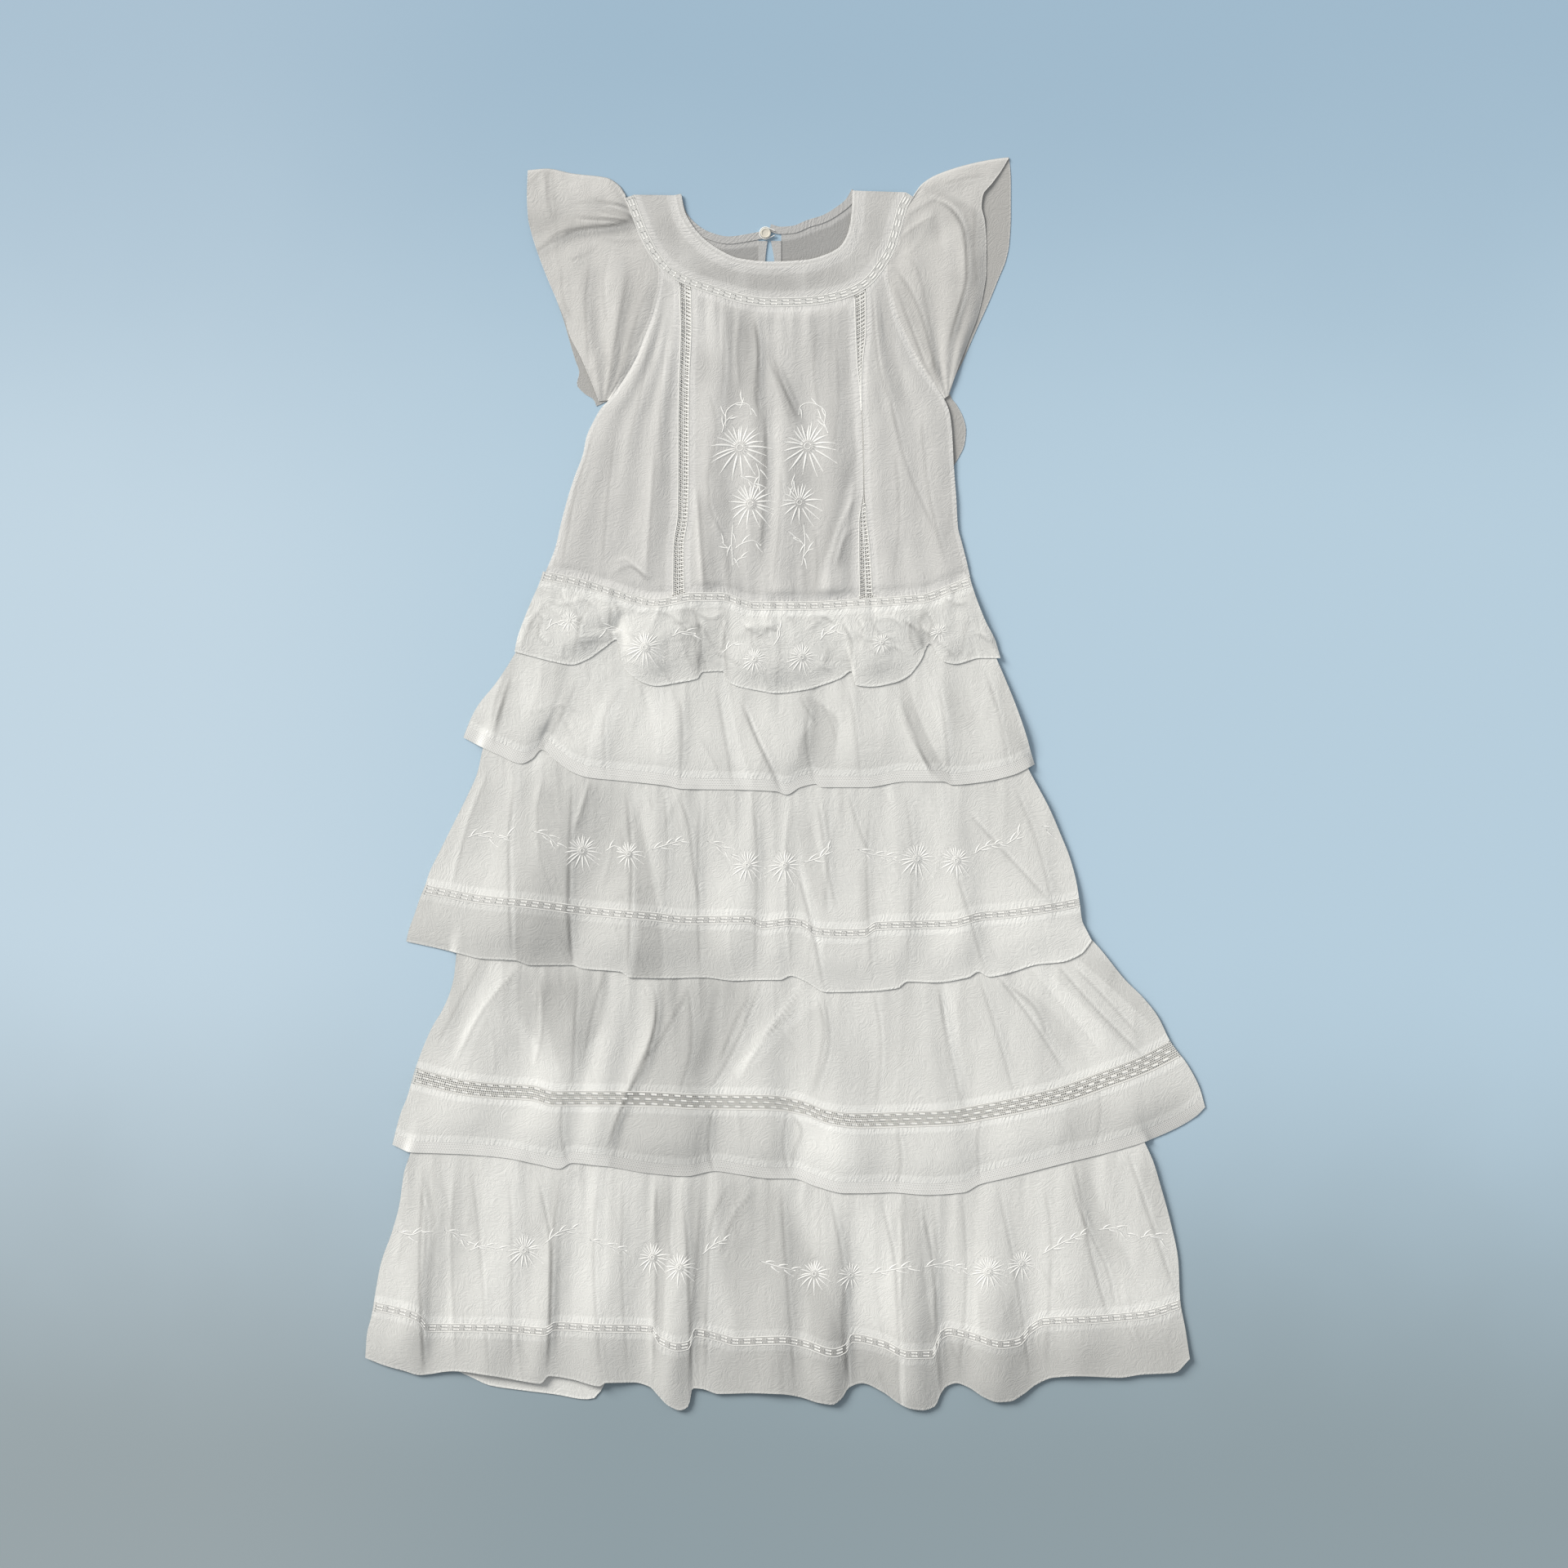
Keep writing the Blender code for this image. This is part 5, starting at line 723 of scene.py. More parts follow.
# Sheer single cloth and doubled folds, and painted shade along folds and towards the hem: change of tone
# (below 0 is greyer), softness of the left and right edges in pixels, then the columns and rows of both
# edges' points, which run downwards
BANDS = {
    "yoke": [
        (-0.07, 14, 10, (858, 315, 850, 345), (902, 322, 900, 356)),
        (-0.08, 12, 16, (912, 322, 916, 360), (965, 322, 975, 360)),
        (-0.06, 8, 14, (985, 322, 990, 358), (1030, 312, 1040, 348)),
        (-0.06, 14, 8, (800, 262, 806, 300), (822, 262, 838, 312)),
        (-0.05, 10, 12, (1062, 262, 1060, 310), (1085, 262, 1090, 300)),
        (0.05, 10, 10, (835, 300, 828, 330), (850, 308, 842, 340)),
    ],
    "tier1": [
        (-0.14, 3, 3, (836, 742, 832, 770, 850, 830), (858, 742, 860, 790, 868, 830)),
        (-0.12, 5, 5, (1128, 745, 1112, 770, 1118, 795), (1148, 750, 1150, 775, 1142, 800)),
        (-0.12, 3, 8, (858, 745, 860, 780, 856, 822), (895, 745, 890, 780, 890, 824)),
        (-0.1, 4, 4, (650, 745, 640, 795), (668, 745, 655, 795)),
    ],
    "tier2": [
        (-0.16, 3, 4, (978, 850, 996, 880, 980, 905, 975, 945), (990, 850, 1026, 884, 1024, 912, 1022, 940)),
        (-0.16, 3, 3, (1101, 840, 1108, 880, 1130, 930, 1150, 956), (1112, 838, 1126, 880, 1150, 930, 1168,
         956)), (-0.12, 6, 4, (1220, 815, 1226, 870, 1240, 935), (1232, 815, 1246, 880, 1258, 935)),
        (-0.24, 3, 4, (615, 830, 603, 870, 600, 900), (626, 830, 618, 862, 612, 890)),
        (0.1, 4, 3, (742, 845, 722, 905, 716, 945), (768, 845, 748, 905, 742, 950)),
        (0.1, 3, 3, (880, 828, 890, 900, 906, 960), (890, 828, 903, 900, 922, 960)),
        (0.09, 8, 3, (790, 845, 800, 900, 800, 945), (824, 845, 830, 900, 832, 945)),
        (0.08, 8, 3, (1130, 830, 1140, 870, 1160, 930), (1150, 830, 1163, 880, 1172, 930)),
        (-0.08, 3, 6, (1160, 840, 1165, 880, 1172, 900), (1185, 840, 1192, 870, 1196, 890)),
    ],
    "tier3": [
        (-0.11, 14, 3, (640, 950, 634, 1000, 632, 1075), (722, 945, 704, 1010, 700, 1075)),
        (-0.17, 3, 3, (634, 1070, 632, 1100, 631, 1230), (702, 1070, 698, 1100, 705, 1230)),
        (-0.13, 3, 8, (720, 950, 704, 1020, 700, 1120), (772, 955, 776, 1030, 786, 1120)),
        (-0.22, 8, 8, (775, 1000, 780, 1080, 782, 1130, 768, 1230), (784, 1000, 800, 1080, 808, 1130, 812,
         1230)), (-0.1, 4, 30, (806, 1130, 812, 1230), (880, 1130, 900, 1230)),
        (-0.1, 6, 8, (1052, 1070, 1054, 1140), (1068, 1070, 1072, 1140)),
        (0.08, 4, 4, (905, 965, 902, 1110), (920, 965, 918, 1110)),
        (0.09, 6, 4, (975, 1060, 990, 1110, 1004, 1180), (985, 1060, 1000, 1110, 1012, 1180)),
        (-0.1, 6, 4, (975, 1000, 985, 1060, 995, 1120), (990, 1000, 1006, 1060, 1016, 1120)),
    ],
    "tier4": [
        (-0.17, 16, 10, (636, 1180, 634, 1230, 664, 1290), (745, 1180, 738, 1250, 716, 1290)),
        (-0.1, 6, 3, (668, 1170, 664, 1240), (706, 1170, 704, 1240)),
        (-0.2, 3, 26, (806, 1190, 802, 1250, 774, 1320, 746, 1420, 742, 1450), (880, 1190, 870, 1250, 862,
         1320, 855, 1400, 850, 1450)),
        (-0.14, 8, 14, (880, 1190, 865, 1250, 850, 1310), (926, 1190, 902, 1260, 872, 1330)),
        (-0.12, 10, 14, (862, 1352, 850, 1400, 848, 1450), (950, 1352, 955, 1400, 958, 1450)),
        (0.12, 10, 6, (975, 1215, 935, 1262, 880, 1325), (1006, 1222, 965, 1262, 905, 1325)),
        (0.09, 4, 8, (648, 1250, 655, 1330), (668, 1250, 690, 1330)),
        (0.1, 8, 8, (598, 1180, 575, 1240, 545, 1305), (622, 1180, 597, 1240, 570, 1305)),
        (0.1, 3, 8, (1154, 1200, 1162, 1330), (1164, 1200, 1185, 1330)),
        (0.1, 3, 6, (1262, 1185, 1300, 1230, 1350, 1290), (1280, 1185, 1325, 1230, 1385, 1290)),
        (-0.12, 4, 10, (1310, 1165, 1350, 1200, 1410, 1255), (1345, 1165, 1385, 1205, 1430, 1255)),
        (-0.08, 3, 10, (1228, 1200, 1268, 1240, 1310, 1300), (1240, 1200, 1290, 1240, 1335, 1300)),
        (-0.12, 12, 10, (1310, 1340, 1290, 1420), (1470, 1300, 1476, 1420)),
        (0.08, 8, 10, (966, 1356, 985, 1385, 965, 1450), (1050, 1375, 1050, 1450)),
    ],
    "tier5": [
        (-0.16, 20, 30, (880, 1440, 880, 1520, 900, 1640), (950, 1440, 990, 1530, 1035, 1640)),
        (-0.12, 14, 3, (985, 1530, 995, 1665), (1028, 1530, 1037, 1665)),
        # Darker along the bottom of the fifth tier: the light's painted fall-off towards the hem
        (-0.1, 30, 30, (440, 1640, 440, 1760), (880, 1640, 880, 1760)),
        (-0.2, 30, 4, (880, 1640, 880, 1760), (1038, 1640, 1042, 1760)),
        (-0.22, 3, 3, (1040, 1640, 1044, 1760), (1098, 1640, 1106, 1760)),
        (-0.12, 3, 3, (1106, 1655, 1110, 1760), (1146, 1655, 1150, 1760)),
        (-0.2, 3, 20, (1148, 1640, 1152, 1760), (1350, 1640, 1350, 1760)),
        (-0.18, 20, 6, (1350, 1630, 1350, 1760), (1460, 1630, 1460, 1760)),
        (-0.15, 3, 4, (803, 1445, 800, 1540, 796, 1640), (820, 1445, 816, 1540, 812, 1640)),
        (-0.13, 3, 4, (843, 1440, 840, 1540, 844, 1640), (868, 1440, 862, 1540, 866, 1640)),
        (-0.15, 4, 3, (1104, 1460, 1104, 1560, 1102, 1655), (1124, 1460, 1132, 1560, 1146, 1655)),
        (-0.12, 4, 6, (1196, 1580, 1200, 1640), (1240, 1580, 1252, 1640)),
        (-0.12, 3, 5, (516, 1440, 526, 1500, 516, 1620), (524, 1440, 534, 1500, 526, 1620)),
        (-0.12, 4, 6, (672, 1440, 672, 1640), (690, 1440, 684, 1640)),
        (0.08, 6, 6, (590, 1430, 588, 1620), (640, 1430, 645, 1620)),
        (0.08, 8, 8, (700, 1440, 700, 1610), (745, 1440, 745, 1610)),
        (0.08, 5, 8, (1040, 1480, 1044, 1600), (1090, 1480, 1094, 1600)),
        (-0.12, 3, 10, (1312, 1425, 1326, 1480, 1362, 1560), (1330, 1425, 1350, 1480, 1390, 1560)),
        (-0.1, 8, 8, (1390, 1420, 1420, 1500), (1420, 1420, 1436, 1500)),
    ],
    "bodice": [
        (-0.15, 4, 3, (886, 378, 892, 440, 888, 505), (927, 378, 931, 440, 930, 505)),
        (-0.14, 4, 4, (938, 435, 955, 485, 968, 525), (952, 435, 972, 480, 988, 520)),
        (-0.12, 8, 3, (926, 500, 920, 560, 915, 600), (940, 500, 940, 560, 938, 600)),
        (-0.13, 8, 3, (958, 555, 975, 640, 985, 735), (1050, 555, 1030, 620, 998, 735)),
        (0.08, 3, 3, (1050, 560, 1034, 620, 1002, 700), (1052, 590, 1048, 620, 1018, 700)),
        (-0.1, 5, 8, (866, 540, 868, 600, 880, 640), (880, 540, 890, 600, 900, 640)),
        (-0.1, 4, 14, (850, 430, 850, 470), (872, 430, 872, 470)),
        (0.08, 5, 8, (820, 360, 803, 440, 800, 480), (830, 360, 822, 440, 815, 480)),
        (0.08, 4, 10, (940, 520, 941, 640), (958, 520, 958, 640)),
        (-0.08, 6, 6, (990, 385, 1000, 480, 1020, 560), (1040, 385, 1040, 480, 1050, 560)),
        (0.09, 4, 8, (1022, 480, 1024, 560), (1050, 480, 1054, 560)),
        (-0.12, 3, 10, (1073, 350, 1080, 430, 1096, 500), (1086, 350, 1098, 430, 1112, 500)),
        (-0.1, 4, 4, (1012, 640, 1004, 690), (1034, 640, 1020, 690)),
        (0.09, 8, 5, (852, 380, 856, 430), (884, 380, 888, 430)),
        (-0.08, 4, 10, (854, 600, 858, 735), (868, 600, 880, 735)),
    ],
    "sleeve_left": [
        # Painted shade along the deep fold of the left sleeve
        (-0.12, 14, 14, (640, 262, 640, 300), (780, 248, 776, 290)),
        (0.08, 10, 10, (660, 215, 660, 240), (740, 215, 750, 240)),
        (-0.1, 3, 10, (664, 200, 672, 262), (676, 200, 684, 262)),
        (-0.1, 8, 4, (765, 330, 742, 490), (792, 330, 762, 490)),
        (0.08, 6, 6, (740, 310, 730, 420), (765, 310, 752, 420)),
    ],
    "sleeve_right": [
        (-0.14, 4, 10, (1130, 232, 1180, 262, 1186, 340, 1165, 420), (1150, 232, 1198, 262, 1200, 340, 1180,
         420)), (0.08, 10, 4, (1150, 270, 1160, 330), (1180, 270, 1184, 330)),
        (-0.1, 4, 10, (1092, 330, 1130, 430, 1150, 480), (1104, 330, 1140, 430, 1156, 480)),
        (-0.08, 6, 6, (1140, 250, 1140, 300), (1150, 250, 1152, 300)),
    ],
}


# How strongly bands show, and the most rows over which their ends fade
BAND_STRENGTH = 1.05
BAND_FADE = 60.0


def pairs(numbers):
    """Points from a run of columns and rows."""
    return list(zip(numbers[::2], numbers[1::2]))


def band(lay, tone, soft_left, soft_right, left, right):
    """Change the tone of a lay between two edges that run down it."""
    rows = np.array([left[0][1], right[0][1], left[-1][1], right[-1][1]], dtype=float)
    top, bottom = rows[:2].max(), rows[2:].min()
    inside = ease((lay.column - edge(left, lay.row)) / soft_left + 0.5)
    inside = inside * ease((edge(right, lay.row) - lay.column) / soft_right + 0.5)
    fade = min(BAND_FADE, 0.8 * (bottom - top))
    inside = inside * ease((lay.row - top) / fade + 0.5)
    lay.tone += BAND_STRENGTH * tone * inside * ease((bottom - lay.row) / fade + 0.5)


def press(lay, name):
    """Creases and changes of tone listed for one lay."""
    for height, width, lean, *points in CREASES.get(name, []):
        crease(lay, height, width, lean, pairs(points))
    for tone, soft_left, soft_right, left, right in BANDS[name]:
        band(lay, tone, soft_left, soft_right, pairs(left), pairs(right))


def small_creases(lay, count, seed, height=0.5, length=70.0, lean=0.35):
    """Short creases scattered over a lay, most of them running down it."""
    draw = np.random.default_rng(seed)
    rows, columns = lay.column.shape
    for _ in range(count):
        place = (draw.integers(2, rows - 2), draw.integers(2, columns - 2))
        middle = np.array([lay.column[place], lay.row[place]])
        turn = draw.normal(0.0, lean)
        ahead = np.array([math.sin(turn), math.cos(turn)])
        square = np.array([ahead[1], -ahead[0]])
        half = 0.5 * length * draw.uniform(0.4, 1.2)
        bend = draw.uniform(-0.15, 0.15) * half
        points = [tuple(middle - half * ahead), tuple(middle + bend * square), tuple(middle + half * ahead)]
        crease(lay, height * draw.uniform(0.5, 1.0) * draw.choice([1.0, -0.6]), draw.uniform(1.8, 3.0),
               float(draw.choice([-1, 0, 1])), points)


# Where each edge of a grid lies
ALONG = slice(None)
EDGES = {"top": (0, ALONG), "bottom": (-1, ALONG), "left": (ALONG, 0), "right": (ALONG, -1)}


def meet(lay, side, others, cells=6, near=9.0):
    """Bring one edge of a lay to the height of the cloth that it is sewn to."""
    index = EDGES[side]
    column, row = lay.column[index], lay.row[index]
    targets = [[grid[EDGES[other_side]] for grid in (other.column, other.row, other.height)]
               for other, other_side in others]
    x, y, z = [np.concatenate(part) for part in zip(*targets)]
    distance = np.hypot(column[:, None] - x[None], row[:, None] - y[None])
    best = distance.argmin(axis=1)
    step = np.where(distance.min(axis=1) < near, z[best] - lay.height[index], 0.0)
    for k in range(cells):
        weight = float(ease(1.0 - k / cells))
        if side in ("top", "bottom"):
            lay.height[k if side == "top" else -1 - k] += weight * step
        else:
            lay.height[:, k if side == "left" else -1 - k] += weight * step


class Graph:
    """Shorthand for adding nodes and links to one node tree."""

    def __init__(self, tree):
        self.tree = tree

    def add(self, kind, inputs=None, **settings):
        made = self.tree.nodes.new(kind)
        for name, value in settings.items():
            setattr(made, name, value)
        for name, value in (inputs or {}).items():
            self.feed(made.inputs[name], value)
        return made

    def feed(self, socket, value):
        if isinstance(value, bpy.types.NodeSocket):
            self.tree.links.new(value, socket)
        else:
            socket.default_value = value

    def maths(self, operation, *values):
        made = self.add("ShaderNodeMath", operation=operation)
        for k, value in enumerate(values):
            self.feed(made.inputs[k], value)
        return made.outputs[0]

    def noise(self, vector, scale, detail=2.0):
        inputs = {"Vector": vector, "Scale": scale, "Detail": detail}
        return self.add("ShaderNodeTexNoise", inputs).outputs["Fac"]

    def stretched(self, vector, scale):
        return self.add("ShaderNodeMapping", {"Vector": vector, "Scale": scale}).outputs[0]

    def parts(self, vector):
        return self.add("ShaderNodeSeparateXYZ", {"Vector": vector}).outputs

    def ramp(self, value, low, high, start=0.0, end=1.0, kind="LINEAR"):
        """A value mapped from one range to another and held beyond its ends."""
        ranges = {"Value": value, "From Min": low, "From Max": high, "To Min": start, "To Max": end}
        return self.add("ShaderNodeMapRange", ranges, interpolation_type=kind).outputs[0]

    def bump(self, height, strength, distance, below=None):
        """Relief of a material, on top of a coarser one if that is given."""
        inputs = {"Height": height, "Strength": strength, "Distance": distance}
        if below is not None:
            inputs["Normal"] = below
        return self.add("ShaderNodeBump", inputs).outputs[0]

    def object_place(self):
        return self.add("ShaderNodeTexCoord").outputs["Object"]

    def seam_place(self):
        return self.add("ShaderNodeUVMap", uv_map="seam").outputs[0]

    def group(self, tree, inputs):
        """One shared effect, with its own values."""
        return self.add("ShaderNodeGroup", inputs, node_tree=tree).outputs


# Kinds of socket, and a whole turn
VECTOR = "NodeSocketVector"
FLOAT = "NodeSocketFloat"
TURN = 2 * math.pi


def start_group(name, inputs, outputs):
    """Empty shader node group with named sockets: its graph, its inputs and its output node."""
    tree = bpy.data.node_groups.new(name, "ShaderNodeTree")
    for socket, kind in inputs:
        tree.interface.new_socket(name=socket, in_out="INPUT", socket_type=kind)
    for socket in outputs:
        tree.interface.new_socket(name=socket, in_out="OUTPUT", socket_type=FLOAT)
    graph = Graph(tree)
    return graph, graph.add("NodeGroupInput").outputs, graph.add("NodeGroupOutput").inputs


def make_weave_group():
    """Plain weave: raised threads both ways, slubs, and slow changes of tone across the cloth."""
    graph, given, result = start_group("plain_weave", [("Vector", VECTOR), ("Threads", FLOAT)],
                                       ["Height", "Slub", "Drift"])
    at = given["Vector"]
    wobble = graph.noise(at, 60.0, 3.0)
    waves = []
    for part in graph.parts(at)[:2]:
        turns = graph.maths("MULTIPLY", part, given["Threads"])
        turns = graph.maths("ADD", turns, graph.maths("MULTIPLY", wobble, 4.0))
        waves.append(graph.maths("SINE", graph.maths("MULTIPLY", turns, TURN)))
    crossed = graph.maths("MULTIPLY", *waves)
    slub = graph.maths("ADD", *(graph.noise(graph.stretched(at, stretch), 1.0)
                                for stretch in ((900.0, 26.0, 26.0), (26.0, 900.0, 26.0))))
    graph.feed(result["Height"], graph.maths("ADD", graph.maths("MULTIPLY", crossed, 0.5), slub))
    graph.feed(result["Slub"], graph.maths("MULTIPLY", slub, 0.5))
    graph.feed(result["Drift"], graph.noise(at, 5.0, 3.0))
    return graph.tree


# Layers of small creases: stretch each way, scale and weight
WRINKLE_LAYERS = (((1.0, 0.22, 1.0), 42.0, 0.6), ((1.0, 0.45, 1.0), 85.0, 0.4), ((0.7, 1.0, 1.0), 30.0, 0.35))
WRINKLE_SHARPNESS = 7.0


def make_wrinkle_group():
    """Small creases left in the cloth, most of them running down it."""
    graph, given, result = start_group("pressed_wrinkles", [("Vector", VECTOR)], ["Height", "Line"])
    wobble = graph.add("ShaderNodeTexNoise", {"Vector": given["Vector"], "Scale": 14.0, "Detail": 2.0})
    both = {0: given["Vector"], 1: wobble.outputs["Color"]}
    bent = graph.add("ShaderNodeVectorMath", both, operation="ADD")
    total = None
    for stretch, scale, weight in WRINKLE_LAYERS:
        value = graph.noise(graph.stretched(bent.outputs[0], tuple(scale * part for part in stretch)), 1.0)
        away = graph.maths("ABSOLUTE", graph.maths("SUBTRACT", value, 0.5))
        ridge = graph.maths("SUBTRACT", 1.0, graph.maths("MULTIPLY", away, WRINKLE_SHARPNESS))
        ridge = graph.maths("MULTIPLY", graph.maths("MAXIMUM", ridge, 0.0), weight)
        total = ridge if total is None else graph.maths("ADD", total, ridge)
    graph.feed(result["Height"], total)
    # Share of a painted highlight along the creases' ridges
    graph.feed(result["Line"], graph.maths("MULTIPLY", total, 0.5))
    return graph.tree


# How far the edge of a seam allowance strays, in metres
RAGGED = 0.0022


def make_seam_group():
    """Whiter doubled cloth beside a seam, with the small puckers that its stitches pull."""
    graph, given, result = start_group(
        "seam_allowance", [("Seam", VECTOR), ("Width", FLOAT), ("Pitch", FLOAT)], ["Doubled", "Pucker"])
    seam = given["Seam"]
    parts = graph.parts(seam)
    ragged = graph.maths("MULTIPLY", graph.noise(graph.stretched(seam, (90.0, 0.0, 0.0)), 1.0), RAGGED)
    distance = graph.maths("SUBTRACT", graph.maths("ADD", parts["Y"], ragged), 0.5 * RAGGED)
    share = graph.maths("DIVIDE", distance, given["Width"])
    doubled = graph.ramp(share, 0.75, 1.15, 1.0, 0.0)
    uneven = graph.maths("MULTIPLY", graph.noise(graph.stretched(seam, (120.0, 60.0, 0.0)), 1.0), 3.0)
    turns = graph.maths("ADD", graph.maths("DIVIDE", parts["X"], given["Pitch"]), uneven)
    patchy = graph.ramp(graph.noise(graph.stretched(seam, (35.0, 0.0, 0.0)), 1.0), 0.38, 0.62)
    wave = graph.maths("MULTIPLY", graph.maths("SINE", graph.maths("MULTIPLY", turns, TURN)), patchy)
    fade = graph.maths("EXPONENT", graph.maths("MULTIPLY", share, -1.1))
    graph.feed(result["Doubled"], doubled)
    graph.feed(result["Pucker"], graph.maths("ADD", graph.maths("MULTIPLY", wave, fade),
                                             graph.maths("MULTIPLY", doubled, 0.8)))
    return graph.tree


def make_net_group():
    """Openwork net: round holes in rows, with threads between them."""
    graph, given, result = start_group(
        "lace_net", [("Strip", VECTOR), ("Pitch", FLOAT), ("Hole", FLOAT)], ["Thread", "Height"])
    squares = []
    for part in graph.parts(given["Strip"])[:2]:
        cell = graph.maths("SUBTRACT", graph.maths("FRACT", graph.maths("DIVIDE", part, given["Pitch"])), 0.5)
        squares.append(graph.maths("MULTIPLY", cell, cell))
    away = graph.maths("SQRT", graph.maths("ADD", *squares))
    inner = graph.maths("SUBTRACT", given["Hole"], 0.06)
    graph.feed(result["Thread"], graph.ramp(away, inner, given["Hole"]))
    graph.feed(result["Height"], graph.maths("MULTIPLY", away, 1.4))
    return graph.tree


def make_satin_group():
    """Satin stitches: fine threads side by side along a raised form."""
    graph, given, result = start_group("satin_threads", [("Thread", VECTOR), ("Count", FLOAT)],
                                       ["Height", "Tone"])
    parts = graph.parts(given["Thread"])
    slant = graph.maths("ADD", parts["X"], graph.maths("MULTIPLY", parts["Y"], 0.3))
    wave = graph.maths("SINE", graph.maths("MULTIPLY", slant, given["Count"]))
    graph.feed(result["Height"], graph.maths("ABSOLUTE", wave))
    graph.feed(result["Tone"], graph.maths("ADD", graph.maths("MULTIPLY", wave, 0.5), 0.5))
    return graph.tree


WEAVE = make_weave_group()
WRINKLE = make_wrinkle_group()
SEAM = make_seam_group()
NET = make_net_group()
SATIN = make_satin_group()


def shade(colour, factor):
    """A colour made lighter or darker, as a four-part value."""
    return tuple(part * factor for part in colour) + (1.0,)


def start_material(name, values):
    """New material: its graph and its Principled shader with some plain values."""
    made = bpy.data.materials.new(name)
    made.use_nodes = True
    shader = made.node_tree.nodes["Principled BSDF"].inputs
    for socket, value in values.items():
        shader[socket].default_value = value
    return made, Graph(made.node_tree), shader


def blend_colours(graph, factor, first, second, blend="MIX"):
    mix = graph.add("ShaderNodeMix", data_type="RGBA", blend_type=blend)
    graph.feed(mix.inputs[0], factor)
    graph.feed(mix.inputs[6], first)
    graph.feed(mix.inputs[7], second)
    return mix.outputs[2]


def toned(graph, colour):
    """The colour made lighter or darker by painted shade and highlights of folds and creases, and by how many
    layers of sheer cloth lie over each other.
    """
    tone = graph.add("ShaderNodeAttribute", attribute_name="tone").outputs["Fac"]
    return blend_colours(graph, 1.0, colour, graph.maths("ADD", tone, 1.0), "MULTIPLY")


def cotton(name, colour, doubled_colour, allowance=0.007, wrinkled=0.34):
    """Cotton voile: weave, slubs, slow drift of tone, whiter doubled cloth at its seams and a painted
    highlight along its small creases.
    """
    values = {"Roughness": 0.88, "Sheen Weight": 0.12, "Sheen Roughness": 0.5, "Specular IOR Level": 0.25}
    made, graph, shader = start_material(name, values)
    at = graph.object_place()
    weave = graph.group(WEAVE, {"Vector": at, "Threads": 1150.0})
    seam = graph.group(SEAM, {"Seam": graph.seam_place(), "Width": allowance, "Pitch": 0.0046})
    wrinkle = graph.group(WRINKLE, {"Vector": at})
    drift = graph.ramp(weave["Drift"], 0.3, 0.7)
    slub = graph.ramp(weave["Slub"], 0.42, 0.62)
    base = blend_colours(graph, drift, shade(colour, 0.95), shade(colour, 1.03))
    # The last blend paints the small creases' ridges lighter: a painted highlight
    for amount, share, other in ((slub, 0.35, shade(colour, 0.93)),
                                 (seam["Doubled"], 0.6, shade(doubled_colour, 1.0)),
                                 (wrinkle["Line"], 0.5 * wrinkled, shade(colour, 1.12))):
        base = blend_colours(graph, graph.maths("MULTIPLY", amount, share), base, other)
    graph.feed(shader["Base Color"], toned(graph, base))
    relief = None
    for height, strength, distance in ((wrinkle["Height"], wrinkled, 0.0006),
                                       (weave["Height"], 0.25, 0.00012), (seam["Pucker"], 0.5, 0.0003)):
        relief = graph.bump(height, strength, distance, relief)
    graph.feed(shader["Normal"], relief)
    return made


def lace_cotton(name, colour, pitch, hole):
    """Cotton insertion lace: an openwork net whose holes are see-through."""
    made, graph, shader = start_material(name, {"Roughness": 0.85, "Specular IOR Level": 0.25})
    net = graph.group(NET, {"Strip": graph.seam_place(), "Pitch": pitch, "Hole": hole})
    weave = graph.group(WEAVE, {"Vector": graph.object_place(), "Threads": 1500.0})
    base = blend_colours(graph, weave["Drift"], shade(colour, 0.94), shade(colour, 1.04))
    graph.feed(shader["Base Color"], toned(graph, base))
    graph.feed(shader["Alpha"], net["Thread"])
    graph.feed(shader["Normal"], graph.bump(net["Height"], 0.7, 0.0003))
    return made


def thread_cotton(name, colour):
    """Embroidery cotton with a slight gloss along its stitches."""
    made, graph, shader = start_material(name, {"Roughness": 0.55, "Sheen Weight": 0.1})
    satin = graph.group(SATIN, {"Thread": graph.seam_place(), "Count": 9000.0})
    base = blend_colours(graph, satin["Tone"], shade(colour, 0.95), shade(colour, 1.02))
    graph.feed(shader["Base Color"], base)
    graph.feed(shader["Normal"], graph.bump(satin["Height"], 0.4, 0.0001))
    return made


def pearl(name, colour):
    """Shell button: clouded, glossy and a little uneven."""
    made, graph, shader = start_material(name, {"Roughness": 0.22, "Coat Weight": 0.4})
    cloud = graph.noise(graph.object_place(), 420.0, 4.0)
    graph.feed(shader["Base Color"], blend_colours(graph, cloud, shade(colour, 0.8), shade(colour, 1.12)))
    graph.feed(shader["Normal"], graph.bump(cloud, 0.15, 0.0002))
    return made


